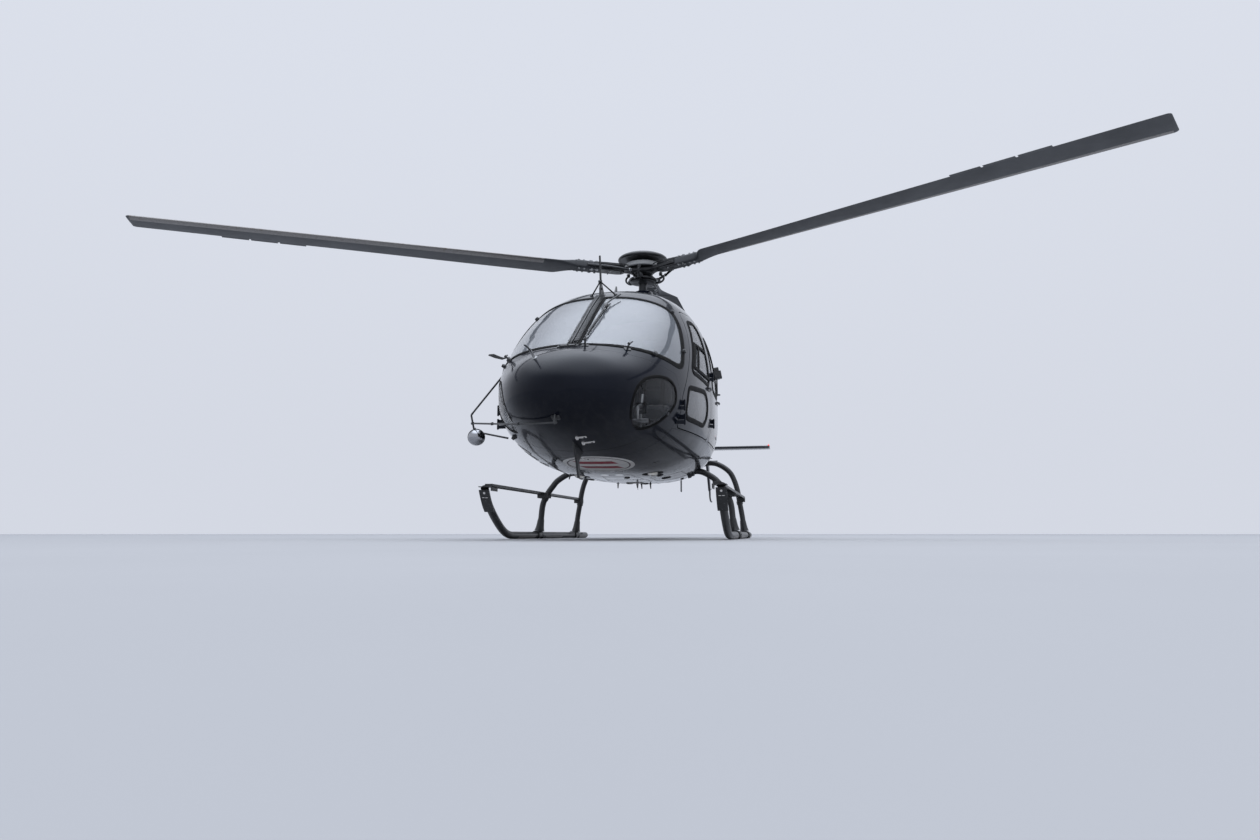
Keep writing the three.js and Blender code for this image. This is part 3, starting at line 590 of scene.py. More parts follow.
def hullNormals(points):
    p = np.asarray(points, float)
    gradient = np.zeros_like(p)
    for axis, step in ((0, 2e-4), (1, 2e-3), (2, 2e-4)):
        ahead, behind = p.copy(), p.copy()
        ahead[..., axis] += step
        behind[..., axis] -= step
        if axis == 1:
            ahead[..., 1] = np.clip(ahead[..., 1], noseY + 1e-6, endY)
            behind[..., 1] = np.clip(behind[..., 1], noseY + 1e-6, endY)
        reach = np.maximum(ahead[..., axis] - behind[..., axis], 1e-6)
        gradient[..., axis] = (hullLevel(ahead) - hullLevel(behind)) / reach
    gradient[p[..., 1] < noseY + 1e-5] = (0, -1, 0)
    return gradient / np.maximum(np.linalg.norm(gradient, axis=-1, keepdims=True), 1e-9)


def hullNormal(point):
    return Vector(hullNormals(tuple(point)))


def hullPoint(x=None, y=0.0, z=None, top=True, lift=0.0):
    # the surface point at a side-view place (y, z) or a plan place (x, y)
    low, high, half, wide, above, below = sectionAt(y)
    if x is None:
        rise, power = (high - wide, above) if z >= wide else (wide - low, below)
        x = half * max(0.0, 1 - (abs(z - wide) / rise) ** power) ** (1 / power)
    else:
        rise, power = (high - wide, above) if top else (low - wide, below)
        z = wide + rise * max(0.0, 1 - (abs(x) / half) ** power) ** (1 / power)
    point = Vector((x, y, z))
    return point + lift * hullNormal(point) if lift else point


def hullRings():
    stations = np.linspace(0, sqrt(endY - noseY), fuselage["stations"]) ** 2 + noseY
    angles = 2 * np.pi * (np.arange(fuselage["sides"]) + 0.5) / fuselage["sides"]
    rings = []
    for y in stations:
        low, high, half, wide, above, below = sectionAt(y)
        c, s = np.cos(angles), np.sin(angles)
        rise = np.where(s > 0, high - wide, wide - low)
        power = np.where(s > 0, above, below)
        reach = (np.abs(c / half) ** power + np.abs(s / rise) ** power) ** (-1 / power)
        rings.append(np.stack([reach * c, np.full_like(c, y), wide + reach * s], axis=1))
    return np.array(rings)


hullGrid = hullRings()
hullGridNormals = hullNormals(hullGrid)
hullGridNormals[0] = (0, -1, 0)
hullGridNormals[-1, :, 1] = 0
hullGridNormals /= np.linalg.norm(hullGridNormals, axis=-1, keepdims=True)


def hullShape(depth):
    # the closed fuselage surface, moved inward by the depth
    points, faces = lofted([[Vector(p) for p in ring] for ring in hullGrid - depth * hullGridNormals])
    return points, [tuple(reversed(face)) for face in faces]


def hullMesh(depth):
    return meshOf(hullShape(depth))


def hullBand(outer, inner):
    # the shell between two depths, as one closed mesh with a hollow
    points, faces = hullShape(inner)
    return meshOf(joined(hullShape(outer), (points, [tuple(reversed(f)) for f in faces])))


def clearOfHull(mesh, gap=0.0008):
    # cuts away what lies in the fuselage
    return cut(mesh, hullMesh(-gap))


def shadeAsHull(mesh):
    # smooth normals taken from the fuselage formula, and flat ones on cut edges
    count = len(mesh.polygons)
    mesh.polygons.foreach_set("use_smooth", [True] * count)
    places = np.empty(len(mesh.vertices) * 3)
    mesh.vertices.foreach_get("co", places)
    places = places.reshape(-1, 3)
    formula = hullNormals(places)
    flat, centres = np.empty(count * 3), np.empty(count * 3)
    mesh.polygons.foreach_get("normal", flat)
    mesh.polygons.foreach_get("center", centres)
    flat, centres = flat.reshape(-1, 3), centres.reshape(-1, 3)
    lean = np.sum(flat * hullNormals(centres), axis=1)
    starts, totals = np.empty(count, int), np.empty(count, int)
    mesh.polygons.foreach_get("loop_start", starts)
    mesh.polygons.foreach_get("loop_total", totals)
    corners = np.empty(len(mesh.loops), int)
    mesh.loops.foreach_get("vertex_index", corners)
    owner = np.repeat(np.arange(count), totals)
    normals = np.where((lean[owner] > 0.8)[:, None], formula[corners],
        np.where((lean[owner] < -0.8)[:, None], -formula[corners], flat[owner]))
    mesh.normals_split_custom_set(normals.tolist())


def hullPanel(outline, outer=0.0, inner=fuselage["wall"], x0=0.1, x1=fuselage["far"]):
    # the part of the shell inside a side-view outline
    return common(hullBand(outer, inner), sidePrism(outline, x0, x1))


def withOpening(mesh, outline, x0=0.1, x1=fuselage["far"]):
    return cut(mesh, sidePrism(outline, x0, x1))


def rimOf(mesh, spacing=0.02):
    # the outer edge loop of a pane's mesh, evenly spaced
    fix = bmesh.new()
    fix.from_mesh(mesh)
    bmesh.ops.remove_doubles(fix, verts=fix.verts, dist=1e-5)
    fix.faces.ensure_lookup_table()
    normals = hullNormals([tuple(f.calc_center_median()) for f in fix.faces])
    isOuter = {f.index: f.normal.dot(Vector(n)) > 0.8 for f, n in zip(fix.faces, normals)}
    neighbours = {}
    for edge in fix.edges:
        sides = [isOuter[f.index] for f in edge.link_faces]
        if len(sides) == 2 and sides[0] != sides[1]:
            a, b = edge.verts
            neighbours.setdefault(a, []).append(b)
            neighbours.setdefault(b, []).append(a)
    start = next(iter(neighbours))
    loop, last = [start], None
    while True:
        ways = [v for v in neighbours[loop[-1]] if v is not last]
        if not ways or ways[0] is start:
            break
        last = loop[-1]
        loop.append(ways[0])
    points = [v.co.copy() for v in loop]
    fix.free()
    line = evenly(points + [points[0]], spacing)[:-1]
    for _ in range(4):
        # irons out the small steps that the cut leaves
        line = [(line[i - 1] + 2 * line[i] + line[(i + 1) % len(line)]) / 4 for i in range(len(line))]
    return line


def evenly(points, spacing):
    # the same line with points at equal distances
    lengths = [0.0]
    for a, b in zip(points, points[1:]):
        lengths.append(lengths[-1] + (b - a).length)
    count = max(8, round(lengths[-1] / spacing))
    result, i = [], 0
    for k in range(count + 1):
        target = lengths[-1] * k / count
        while i < len(points) - 2 and lengths[i + 1] < target:
            i += 1
        share = (target - lengths[i]) / max(1e-9, lengths[i + 1] - lengths[i])
        result.append(points[i].lerp(points[i + 1], min(1, max(0, share))))
    return result


def seal(rim, profile, lift=0.0):
    # a strip swept round a rim; profile is (across, out) from the rim line, across leading away from the pane
    centre = sum(rim, Vector()) / len(rim)
    normals = [hullNormal(p) for p in rim]
    rings = []
    for i, (point, normal) in enumerate(zip(rim, normals)):
        along = (rim[(i + 1) % len(rim)] - rim[i - 1]).normalized()
        across = along.cross(normal).normalized()
        if i == 0:
            turn = 1 if across.dot(point - centre) > 0 else -1
        rings.append([point + across * (turn * a) + normal * (b + lift) for a, b in profile])
    return lofted(rings + [rings[0]], caps=False)


# Side-view outlines (y, z) of the fuselage's panels, doors and windows, as in the frame
cabin = {
    "canopy": [(-3.6, 1.586), (-2.6, 1.36), (-2.52, 1.18), (-2.52, 0.925), (-0.2003, 0.925), (-0.2003, 2.6),
        (-3.6, 2.6)],
    "nose": [(-3.6, 0.3), (-2.52, 0.3), (-2.52, 1.18), (-2.6, 1.36), (-3.6, 1.586)],
    "windscreen": [(-3.6, 1.636), (-2.44, 1.4), (-1.9, 2.1), (-2.43, 2.5), (-3.6, 2.5)],
    "frontDoor": [(-2.43, 0.935), (-2.49, 0.98), (-2.49, 1.19), (-2.35, 1.39), (-1.84, 2.06), (-1.76, 2.125),
        (-1.48, 2.15), (-1.425, 2.1), (-1.425, 0.935)],
    "rearDoor": [(-1.35, 0.935), (-1.35, 2.066), (-1.312, 2.098), (-1.19, 2.084), (-1.07, 2.042),
        (-0.83, 1.87), (-0.65, 1.6), (-0.6, 1.38), (-0.6, 0.935)],
    "baggageDoor": [(-0.11, 1.02), (-0.11, 1.765), (0.8, 1.765), (0.8, 1.08)],
    "frontPane": [(-2.21, 1.455), (-1.77, 2.02), (-1.55, 2.05), (-1.5, 2.01), (-1.5, 1.48), (-1.54, 1.44)],
    "lowPane": [(-2.38, 1.09), (-2.33, 1.3), (-1.74, 1.35), (-1.62, 1.29), (-1.62, 1.15), (-1.76, 1.03),
        (-2.33, 1.03)],
    "rearPane": [(-1.275, 1.44), (-1.275, 1.99), (-1.09, 1.955), (-0.88, 1.79), (-0.75, 1.58), (-0.76, 1.46),
        (-0.8, 1.43)],
    "chinPane": [(-3.175, 1.04), (-3.16, 1.16), (-3.06, 1.25), (-2.9, 1.3), (-2.72, 1.305), (-2.61, 1.25),
        (-2.6, 1.12), (-2.74, 0.96), (-2.85, 0.87), (-2.98, 0.88), (-3.11, 0.96)],
    "doorGap": 0.0042, "corner": 0.05, "postHalf": 0.028, "chinInner": 0.3, "glass": (0.003, 0.0075),
    "sealProfile": [(-0.024, -0.002), (-0.022, 0.0045), (-0.012, 0.0085), (0.009, 0.009), (0.021, 0.006),
        (0.0245, -0.002), (0.013, -0.008), (-0.015, -0.008)],
    "thinSeal": [(-0.015, -0.002), (-0.014, 0.0035), (-0.008, 0.006), (0.006, 0.0065), (0.013, 0.0045),
        (0.0155, -0.002), (0.009, -0.008), (-0.011, -0.008)]}


def rounded(name, inset=0.0, radius=None):
    return roundCorners(grow(cabin[name], -inset) if inset else cabin[name], radius or cabin["corner"])


def paneOf(outline, x0):
    outer, inner = cabin["glass"]
    return hullPanel(outline, outer, inner, x0)


def sealPair(rims, name, body=None, profile=cabin["sealProfile"]):
    pair(name, rubber, *[seal(rim, profile) for rim in rims], body=body, smooth=60)


print("canopy and windscreen")
glassOutline = roundCorners(grow(cabin["windscreen"], -0.026), 0.09)
frameMesh = hullPanel(cabin["canopy"], x0=-2.0)
for outline, x0, x1 in ((glassOutline, cabin["postHalf"], 2.0), (glassOutline, -2.0, -cabin["postHalf"]),
        (rounded("frontDoor", -cabin["doorGap"]), -2.0, 2.0), (rounded("rearDoor", -cabin["doorGap"]), -2.0,
        2.0)):
    frameMesh = withOpening(frameMesh, outline, x0, x1)
finishPiece(frameMesh, "canopyFrame", navy, replaces="canopy_frame", hull=True)
screen = paneOf(glassOutline, cabin["postHalf"])
screenRim = rimOf(screen)
pairOf(screen, "windscreenPane", windscreenGlass, replaces="windscreen", hull=True)
sealPair([screenRim], "windscreenSeal", profile=[(-0.03, -0.002), (-0.027, 0.0045), (-0.014, 0.009),
    (0.01, 0.0095), (0.022, 0.006), (0.025, -0.002), (0.014, -0.01), (-0.018, -0.01)])

print("doors")
frontDoor = hullPanel(rounded("frontDoor", cabin["doorGap"]))
for name in ("frontPane", "lowPane"):
    frontDoor = withOpening(frontDoor, rounded(name))
pairOf(frontDoor, "frontDoorPanel", navy, body="front_door", replaces="front_door", hull=True)
rims = []
for name, title, node in (("frontPane", "frontDoorPane", "front_door_glass"),
        ("lowPane", "frontDoorLowPane", "front_door_low_glass")):
    pane = paneOf(rounded(name, 0.001), 0.1)
    rims.append(rimOf(pane))
    pairOf(pane, title, sideGlass, body="front_door", replaces=node, hull=True)
sealPair(rims, "frontDoorSeals", body="front_door")

rearDoor = withOpening(hullPanel(rounded("rearDoor", cabin["doorGap"])), rounded("rearPane", radius=0.07))
pairOf(rearDoor, "rearDoorPanel", navy, body="rear_door", replaces="rear_door", hull=True)
pane = paneOf(rounded("rearPane", 0.001, 0.07), 0.1)
rearRim = rimOf(pane)
pairOf(pane, "rearDoorPane", sideGlass, body="rear_door", replaces="rear_door_glass", hull=True)
sealPair([rearRim], "rearDoorSeal", body="rear_door")

print("nose, belly and rear fuselage")
noseShell = hullPanel(grow(cabin["nose"], -cabin["doorGap"] / 3), x0=-2.0)
chin = roundCorners(cabin["chinPane"], 0.2, 8)
for x0, x1 in ((cabin["chinInner"], 2.0), (-2.0, -cabin["chinInner"])):
    noseShell = withOpening(noseShell, chin, x0, x1)
finishPiece(noseShell, "noseShell", navy, replaces="nose_shell", hull=True)
chinPane = paneOf(roundCorners(grow(cabin["chinPane"], -0.001), 0.2, 8), cabin["chinInner"] + 0.001)
chinRim = rimOf(chinPane)
pairOf(chinPane, "chinPane", chinGlass, replaces="chin_window", hull=True)
sealPair([chinRim], "chinSeals", profile=cabin["thinSeal"])

gap = fuselage["panelGap"]
belly = hullPanel(rectangle(-2.52 + gap, -0.2 - gap, 0.3, 0.925 - gap), x0=-2.0)
for x, y in fuselage["lamps"]:
    belly = cut(belly, moved(turned([(0.0895, 0.45), (0.0895, 0.75)]), (x, y, 0)))
finishPiece(belly, "bellyShell", navy, replaces="belly_shell", hull=True)


def bayRoom(inset):
    # the left baggage room with its walls moved inwards
    return common(hullMesh(0.04 + inset), block(0.32 + inset, 2, -0.13 + inset, 0.97 - inset, 0.96 + inset,
        1.85 - inset))


bay = carved(bayRoom(0), "UNION", sidePrism(rounded("baggageDoor", -cabin["doorGap"]), 0.5, 2))
centre = common(hullMesh(0), block(-2, 2, -0.17, 1.09 - gap, 0.3, 2.6))
centre = cut(centre, bay, mirrorMesh(bay))
finishPiece(centre, "centreFuselage", navy, replaces="centre_fuselage", hull=True)
baggage = hullPanel(rounded("baggageDoor", cabin["doorGap"]), x0=0.5)
pairOf(baggage, "baggagePanel", navy, body="baggage_door", replaces="baggage_door", hull=True)
rear = common(hullMesh(0), block(-2, 2, 1.09 + gap, 2.3, 0.3, 2.6))
finishPiece(rear, "rearFuselage", navy, replaces="rear_fuselage", hull=True)
ring = hullPanel(rectangle(-0.2 - gap, -0.17 + gap, 0.3, 2.6), 0.0008, x0=-2.0)
finishPiece(ring, "bulkheadRing", navy, hull=True)

print("roof cowlings")
cowling = {
    "gearbox": [(-1.18, 0.06, 2.5), (-1.05, 0.26, 2.545), (-0.8, 0.35, 2.62), (-0.45, 0.4, 2.705),
        (-0.15, 0.42, 2.78), (0.15, 0.42, 2.79), (0.42, 0.415, 2.75)],
    "engine": [(0.4215, 0.415, 2.75), (0.7, 0.41, 2.7), (1.1, 0.385, 2.655), (1.5, 0.345, 2.615),
        (1.85, 0.3, 2.59)],
    "foot": 1.9, "steps": 60, "around": 72, "sidePower": 0.75, "topPower": 0.6, "skin": 0.02,
    "flare": [(0.215, 2.735), (0.175, 2.765), (0.147, 2.80), (0.125, 2.832), (0.112, 2.853), (0.1, 2.858),
        (0.094, 2.85), (0.094, 2.70)]}


def cowlPoint(half, top, y, angle, inset=0.0):
    side = cos(angle)
    x = (half - inset) * copysign(abs(side) ** cowling["sidePower"], side)
    z = cowling["foot"] + (top - inset - cowling["foot"]) * max(0.0, sin(angle)) ** cowling["topPower"]
    return Vector((x, y, z))


def cowlShape(name, inset, y0, y1):
    table = cowling[name]
    curve = smoothTable(table)
    rings = []
    for y in np.linspace(y0, y1, cowling["steps"]):
        half, top = curve(y)
        rings.append([cowlPoint(half, top, y, pi * j / cowling["around"], inset)
            for j in range(cowling["around"] + 1)])
    return lofted(rings)


def cowlSurface(name):
    # gives a point on a cowling and its outward direction, the angle measured from the left side over the top
    curve = smoothTable(cowling[name])

    def at(y, angle):
        here, past = (cowlPoint(*curve(v), v, angle) for v in (y, y + 0.01))
        turn = cowlPoint(*curve(y), y, angle + 0.01)
        normal = (turn - here).cross(past - here).normalized()
        outward = Vector((here.x, 0, here.z - cowling["foot"]))
        return here, (-normal if normal.dot(outward) < 0 else normal)

    return at


foreCowl = cut(cowlShape("gearbox", 0, -1.18, 0.42), cowlShape("gearbox", cowling["skin"], -0.98, 0.398),
    turned([(0.094, 2.3), (0.094, 3.2)], 64))
finishPiece(clearOfHull(foreCowl), "gearboxCowling", navy, replaces="gearbox_cowling", smooth=40)
exhaustStart, exhaustEnd = Vector((0, 1.46, 2.3986)), Vector((0, 2.23, 2.4525))
exhaustAlong = (exhaustEnd - exhaustStart).normalized()
aftCowl = cut(cowlShape("engine", 0, 0.4215, 1.85), cowlShape("engine", cowling["skin"], 0.44, 1.83),
    rod(exhaustStart, exhaustEnd + exhaustAlong * 0.1, 0.16, 64))
finishPiece(clearOfHull(aftCowl), "engineCowling", navy, replaces="engine_cowling", smooth=40)
flare = cowling["flare"]
piece("mastFairing", navy, turned(flare + [flare[0]], 72), smooth=50)

print("boom, fins and stabiliser")
boomTable = [(2.2003, 1.635, 0.38, 0.42), (2.6, 1.628, 0.322, 0.35), (3.3, 1.645, 0.282, 0.294),
    (4.9, 1.702, 0.205, 0.212), (6.2, 1.758, 0.148, 0.152), (6.64, 1.772, 0.12, 0.124)]
boomCurve = smoothTable(boomTable)


def boomAt(y, angle, lift=0.0):
    # a point on the boom and its outward direction
    axis, half, rise = boomCurve(y)
    at = Vector((cos(angle) * (half + lift), y, axis + sin(angle) * (rise + lift)))
    return at, Vector((cos(angle) / half, 0, sin(angle) / rise)).normalized()


def boomBand(y0, y1, lift, sides=72, steps=2):
    rings = [[boomAt(y, 2 * pi * j / sides, lift)[0] for j in range(sides)]
        for y in np.linspace(y0, y1, steps)]
    return lofted(rings)


boomBody = boomBand(2.2018, 6.6, 0, steps=70)
tailCone = lofted([[boomAt(6.6 + 0.06 * sin(t), 2 * pi * j / 72, -0.12 * (1 - cos(t)))[0] for j in range(72)]
    for t in np.linspace(0, 1.45, 9)])
piece("tailBoom", navy, boomBody, replaces="tail_boom", smooth=40)
piece("tailCone", navy, tailCone, smooth=40)
coverLine = [Vector((0, 2.23, 2.03)), Vector((0, 6.33, 1.905))]
coverRadii = [0.03, 0.055, 0.068, 0.07] + [0.07] * 20 + [0.066, 0.05, 0.02]
coverShares = [0, 0.006, 0.014, 0.025] + list(np.linspace(0.03, 0.965, 20)) + [0.98, 0.99, 1]
cover = tube([coverLine[0].lerp(coverLine[1], s) for s in coverShares], coverRadii, 40)
piece("driveShaftCover", navy, cover, smooth=40)


def foil(leading, trailing, half, count=22):
    # a wing section from the leading edge back and round again: (along, out)
    chord = trailing - leading
    upper = []
    for i in range(count + 1):
        t = 0.5 * (1 - cos(pi * i / count))
        thick = 2.98 * (0.2969 * sqrt(t) - 0.126 * t - 0.3516 * t * t + 0.2843 * t ** 3 - 0.1036 * t ** 4)
        upper.append((leading + chord * t, half * thick * 3.33))
    return upper + [(a, -b) for a, b in reversed(upper[1:-1])]


def finShape(table, tip=0.03):
    # table rows: z, leading y, trailing y, half thickness
    curve = smoothTable(table)
    rings = []
    for z in np.linspace(table[0][0], table[-1][0], 24):
        lead, trail, half = curve(z)
        rings.append([(out, y, z) for y, out in foil(lead, trail, half)])
    step = 1 if table[-1][0] > table[0][0] else -1
    for t in (0.35, 0.7, 1.0, 1.25, 1.45):
        shrink, rise = tip * (1 - cos(t)), tip * sin(t)
        rings.append([(out, y, table[-1][0] + step * rise) for y, out in foil(lead + shrink, trail - shrink,
            half * cos(t))])
    return lofted(rings)


upperTable = [(1.78, 6.19, 6.9, 0.04), (1.9, 6.245, 6.975, 0.04), (2.4, 6.606, 7.171, 0.037),
    (2.92, 6.982, 7.375, 0.03), (2.965, 7.03, 7.385, 0.028)]
piece("upperFin", navy, finShape(upperTable), replaces="upper_fin", smooth=40)
lowerTable = [(-1.779, 6.43, 6.9, 0.034), (-1.7, 6.447, 6.98, 0.034), (-1.5, 6.5, 7.047, 0.032),
    (-0.95, 6.912, 7.232, 0.026), (-0.9, 6.952, 7.24, 0.025)]
points, faces = finShape(lowerTable)
piece("lowerFin", navy, ([Vector((p[0], p[1], -p[2])) for p in points], faces), replaces="lower_fin",
    smooth=40)


def wingShape(half, z, lead, trail, thick, tip=0.03):
    rings = []
    stops = [(half - tip * (1 - sin(t)), cos(t)) for t in (1.45, 1.2, 0.9, 0.5, 0.0)]
    spans = [(x, share) for x, share in stops] + [(x, 1.0) for x in np.linspace(half - tip, -half + tip, 30)]
    spans += [(-x, share) for x, share in reversed(stops)]
    for x, share in spans:
        inset = 0.012 * (1 - share)
        rings.append([(x, y, z + out * (1.15 if out > 0 else 0.95)) for y, out in foil(lead + inset,
            trail - inset, thick * max(0.06, share))])
    return lofted(rings)


piece("stabiliser", navy, wingShape(1.265, 1.495, 4.685, 5.155, 0.0275), replaces="stabiliser", smooth=40)

print("landing gear")
gear = {
    "front": {"y": -0.5, "line": [(0, 0.69), (0.5, 0.69), (0.7, 0.712), (0.85, 0.64), (0.925, 0.56),
        (0.985, 0.475), (1.03, 0.37), (1.048, 0.22), (1.062, 0.075)]},
    "rear": {"y": 1.02, "line": [(0, 0.905), (0.5, 0.91), (0.68, 0.925), (0.8, 0.885), (0.9, 0.805),
        (0.955, 0.7), (0.99, 0.58), (1.015, 0.43), (1.045, 0.25), (1.064, 0.075)]},
    "skid": [(1.56, 0.038), (0.8, 0.038), (0, 0.038), (-0.7, 0.038), (-1.2, 0.038), (-1.42, 0.043),
        (-1.6, 0.086), (-1.8, 0.186), (-1.99, 0.32), (-2.1, 0.47)],
    "track": 1.085, "tube": 0.032, "skidTube": 0.037}
skidLow = 0.038
for name, node in (("front", "front_cross_tube"), ("rear", "rear_cross_tube")):
    y, track = gear[name]["y"], gear["track"]
    half = [Vector((x, y, z)) for x, z in gear[name]["line"]]
    line = smoothLine([Vector((-p.x, p.y, p.z)) for p in reversed(half[1:])] + half, 8)
    piece(f"{name}CrossTube", black, tube(line, gear["tube"], 28), replaces=node)
    saddles = []
    clamp = turned([(0.0385, -0.013), (0.049, -0.013), (0.0505, -0.009), (0.0505, 0.009), (0.049, 0.013),
        (0.0385, 0.013), (0.0385, -0.013)], 40)
    for at in (-0.07, 0.07):
        saddles.append(facing(clamp, (track, y + at, skidLow), (0, 1, 0)))
    neck = smoothLine([(1.048, y, 0.215), (1.058, y, 0.14), (1.066, y, 0.085)], 5)
    saddles.append(tube(neck, [0.034, 0.036, 0.0375, 0.039, 0.041, 0.0425, 0.0445, 0.047, 0.05, 0.053, 0.056],
        28))
    cradle = [(0.047, a) for a in np.linspace(-0.35, pi + 0.35, 30)] + [(0.0385, a)
        for a in np.linspace(pi + 0.35, -0.35, 30)]
    saddles.append(lofted([[(track + r * cos(a), y + s, skidLow + r * sin(a)) for r, a in cradle]
        for s in (-0.082, 0.082)]))
    for s in (-0.045, 0.045):
        saddles += [bolt((track + side * 0.046, y + s, skidLow + 0.006), (side, 0, 0.1), 0.007)
            for side in (1, -1)]
    saddles = [([Vector((p.x, p.y, max(p.z, 0.0004))) for p in points], faces) for points, faces in saddles]
    piece(f"{name}Saddles", black, bothSides(joined(*saddles)), smooth=40)

skidLine = smoothLine([Vector((gear["track"], y, z)) for y, z in gear["skid"]], 8)
pair("skidTube", black, tube(skidLine, gear["skidTube"], 28), replaces="skid")


def roundEnd(at, along, length):
    # a rounded cap on the end of a skid
    turns = np.linspace(0, 1.4, 7)
    return tube([at + along * (length * sin(t)) for t in turns], [0.0372 * cos(t) for t in turns], 28)


toeAlong = (skidLine[-1] - skidLine[-2]).normalized()
pair("skidCaps", rubber, roundEnd(skidLine[-1], toeAlong, 0.037 * 0.55),
    roundEnd(skidLine[0], Vector((0, 1, 0)), 0.02), slot="black_paint")


def wearShoe(y0, y1, steps=14):
    # a steel half-pipe under the skid
    rings = []
    height = smoothTable(gear["skid"][::-1])
    for y in np.linspace(y0, y1, steps):
        z = height(y)[0]
        outer = 0.0405 if y0 < y < y1 else 0.039
        arc = np.linspace(pi * 1.06, pi * 1.94, 18)
        low = [(gear["track"] + outer * cos(a), y, max(0.0004, z + outer * sin(a))) for a in arc]
        top = [(gear["track"] + 0.035 * cos(a), y, z + 0.035 * sin(a)) for a in reversed(arc)]
        rings.append(low + top)
    return lofted(rings)


shoes = [wearShoe(y0, y1) for y0, y1 in ((-1.22, -0.68), (0.95, 1.54), (-0.3, 0.35))]
piece("wearShoes", steel, bothSides(joined(*shoes)), smooth=40)

stepBoard = {"x": (1.008, 1.082), "y": (-2.1, 0.985), "z": (0.4805, 0.5055)}
(sx0, sx1), (sy0, sy1), (sz0, sz1) = stepBoard.values()
lip = 0.0045
profile = [(sx0, sz0), (sx0 + lip, sz0 - 0.002), (sx0 + lip, sz1 - lip), (sx1 - lip, sz1 - lip),
    (sx1 - lip, sz0 - 0.002), (sx1, sz0), (sx1 + 0.0015, sz1 - 0.004), (sx1 - 0.003, sz1), (sx0 + 0.003, sz1),
    (sx0 - 0.0015, sz1 - 0.004)]
board = lofted([[(x, y, z) for x, z in profile] for y in (sy0, sy1)])
treads = []
for i in range(150):
    y = sy0 + 0.05 + i * (sy1 - sy0 - 0.1) / 149
    treads.append(block(sx0 + 0.008, sx1 - 0.008, y - 0.0028, y + 0.0028, sz1 - 0.001, sz1 + 0.0016))
ends = [block(sx0 - 0.001, sx1 + 0.001, y - 0.004, y + 0.004, sz0 - 0.002, sz1 + 0.001) for y in (sy0, sy1)]
brackets = []
for table in (gear["front"], gear["rear"]):
    near = min(table["line"], key=lambda p: abs(p[1] - sz0))
    y = table["y"]
    for s in (-0.055, 0.055):
        brackets.append(block(near[0] - 0.03, sx1 - 0.004, y + s - 0.004, y + s + 0.004, sz0 - 0.038,
            sz1 - 0.006))
    brackets.append(block(near[0] - 0.03, sx1 - 0.006, y - 0.058, y + 0.058, sz0 - 0.0405, sz0 - 0.0355))
pair("stepBoard", black, board, *ends, replaces="step", bevel=0.0015)
pair("stepTreads", rubber, *treads, slot="black_paint", smooth=0)
pair("stepBrackets", black, *brackets, bevel=0.0015)

print("rotor head")
head = {"hub": 3.11, "arms": [90, 210, 330], "reach": 0.54, "starHalf": 0.02, "linkTurn": 38}


def onRotor(name, material, *shapes, **options):
    piece(name, material, *shapes, body="main_rotor", **options)


def armShape(shape, angle):
    # a shape laid out along +Y, turned to an arm's direction
    return moved(shape, turn=Matrix.Rotation(radians(angle - 90), 3, "Z"))


def everyArm(shape):
    return joined(*[armShape(shape, angle) for angle in head["arms"]])


mastBody = turned([(0.046, 2.70), (0.046, 2.87), (0.052, 2.872), (0.052, 2.885), (0.047, 2.89),
    (0.047, 2.962), (0.058, 2.966), (0.06, 2.972), (0.06, 3.04), (0.085, 3.052), (0.118, 3.084),
    (0.122, 3.09), (0.122, 3.128), (0.128, 3.134), (0.186, 3.136), (0.19, 3.139), (0.19, 3.1415)], 64)
onRotor("rotorMast", metal, mastBody, replaces="rotor_mast", smooth=40)
swash = joined(turned([(0.062, 3.0), (0.13, 3.0), (0.138, 2.996), (0.158, 2.996), (0.161, 2.999),
    (0.161, 3.016), (0.158, 3.019), (0.138, 3.019), (0.13, 3.014), (0.08, 3.014), (0.066, 3.03),
    (0.062, 3.03), (0.062, 3.0)], 72), turned([(0.058, 2.972), (0.12, 2.972), (0.142, 2.975), (0.147, 2.982),
    (0.142, 2.99), (0.1, 2.9945), (0.058, 2.9945), (0.058, 2.972)], 72))
bolts = [bolt((0.148 * cos(a), 0.148 * sin(a), 3.0185), (0, 0, 1), 0.0045) for a in allRound(24)]
onRotor("swashplate", metal, swash, *bolts, smooth=40)
boot = [(0.074 + 0.012 * (i % 2), 2.768 + 0.0082 * i) for i in range(12)]
onRotor("mastBoot", rubber, turned([(0.0465, 2.766)] + boot + [(0.0465, 2.87), (0.0465, 2.766)], 48),
    slot="dark_metal", smooth=0)

starPoints = [(radians(angle + turn), reach) for angle in head["arms"]
    for turn, reach in ((-60, 0.13), (-22, 0.165), (-13, 0.3), (-9, 0.538), (9, 0.538), (13, 0.3),
    (22, 0.165))]
starOutline = roundCorners([(r * cos(a), r * sin(a)) for a, r in starPoints], 0.035)
star = moved(slab(starOutline, 2 * head["starHalf"]), (0, 0, head["hub"] - head["starHalf"]))
onRotor("rotorStar", metal, star, bevel=0.005)


def sleevePlate(z0, z1):
    outline = roundCorners([(-0.072, 0.3), (-0.04, 0.235), (0.04, 0.235), (0.072, 0.3), (0.072, 0.66),
        (0.05, 0.7), (-0.05, 0.7), (-0.072, 0.66)], 0.03)
    return moved(slab(outline, z1 - z0), (0, 0, z0))


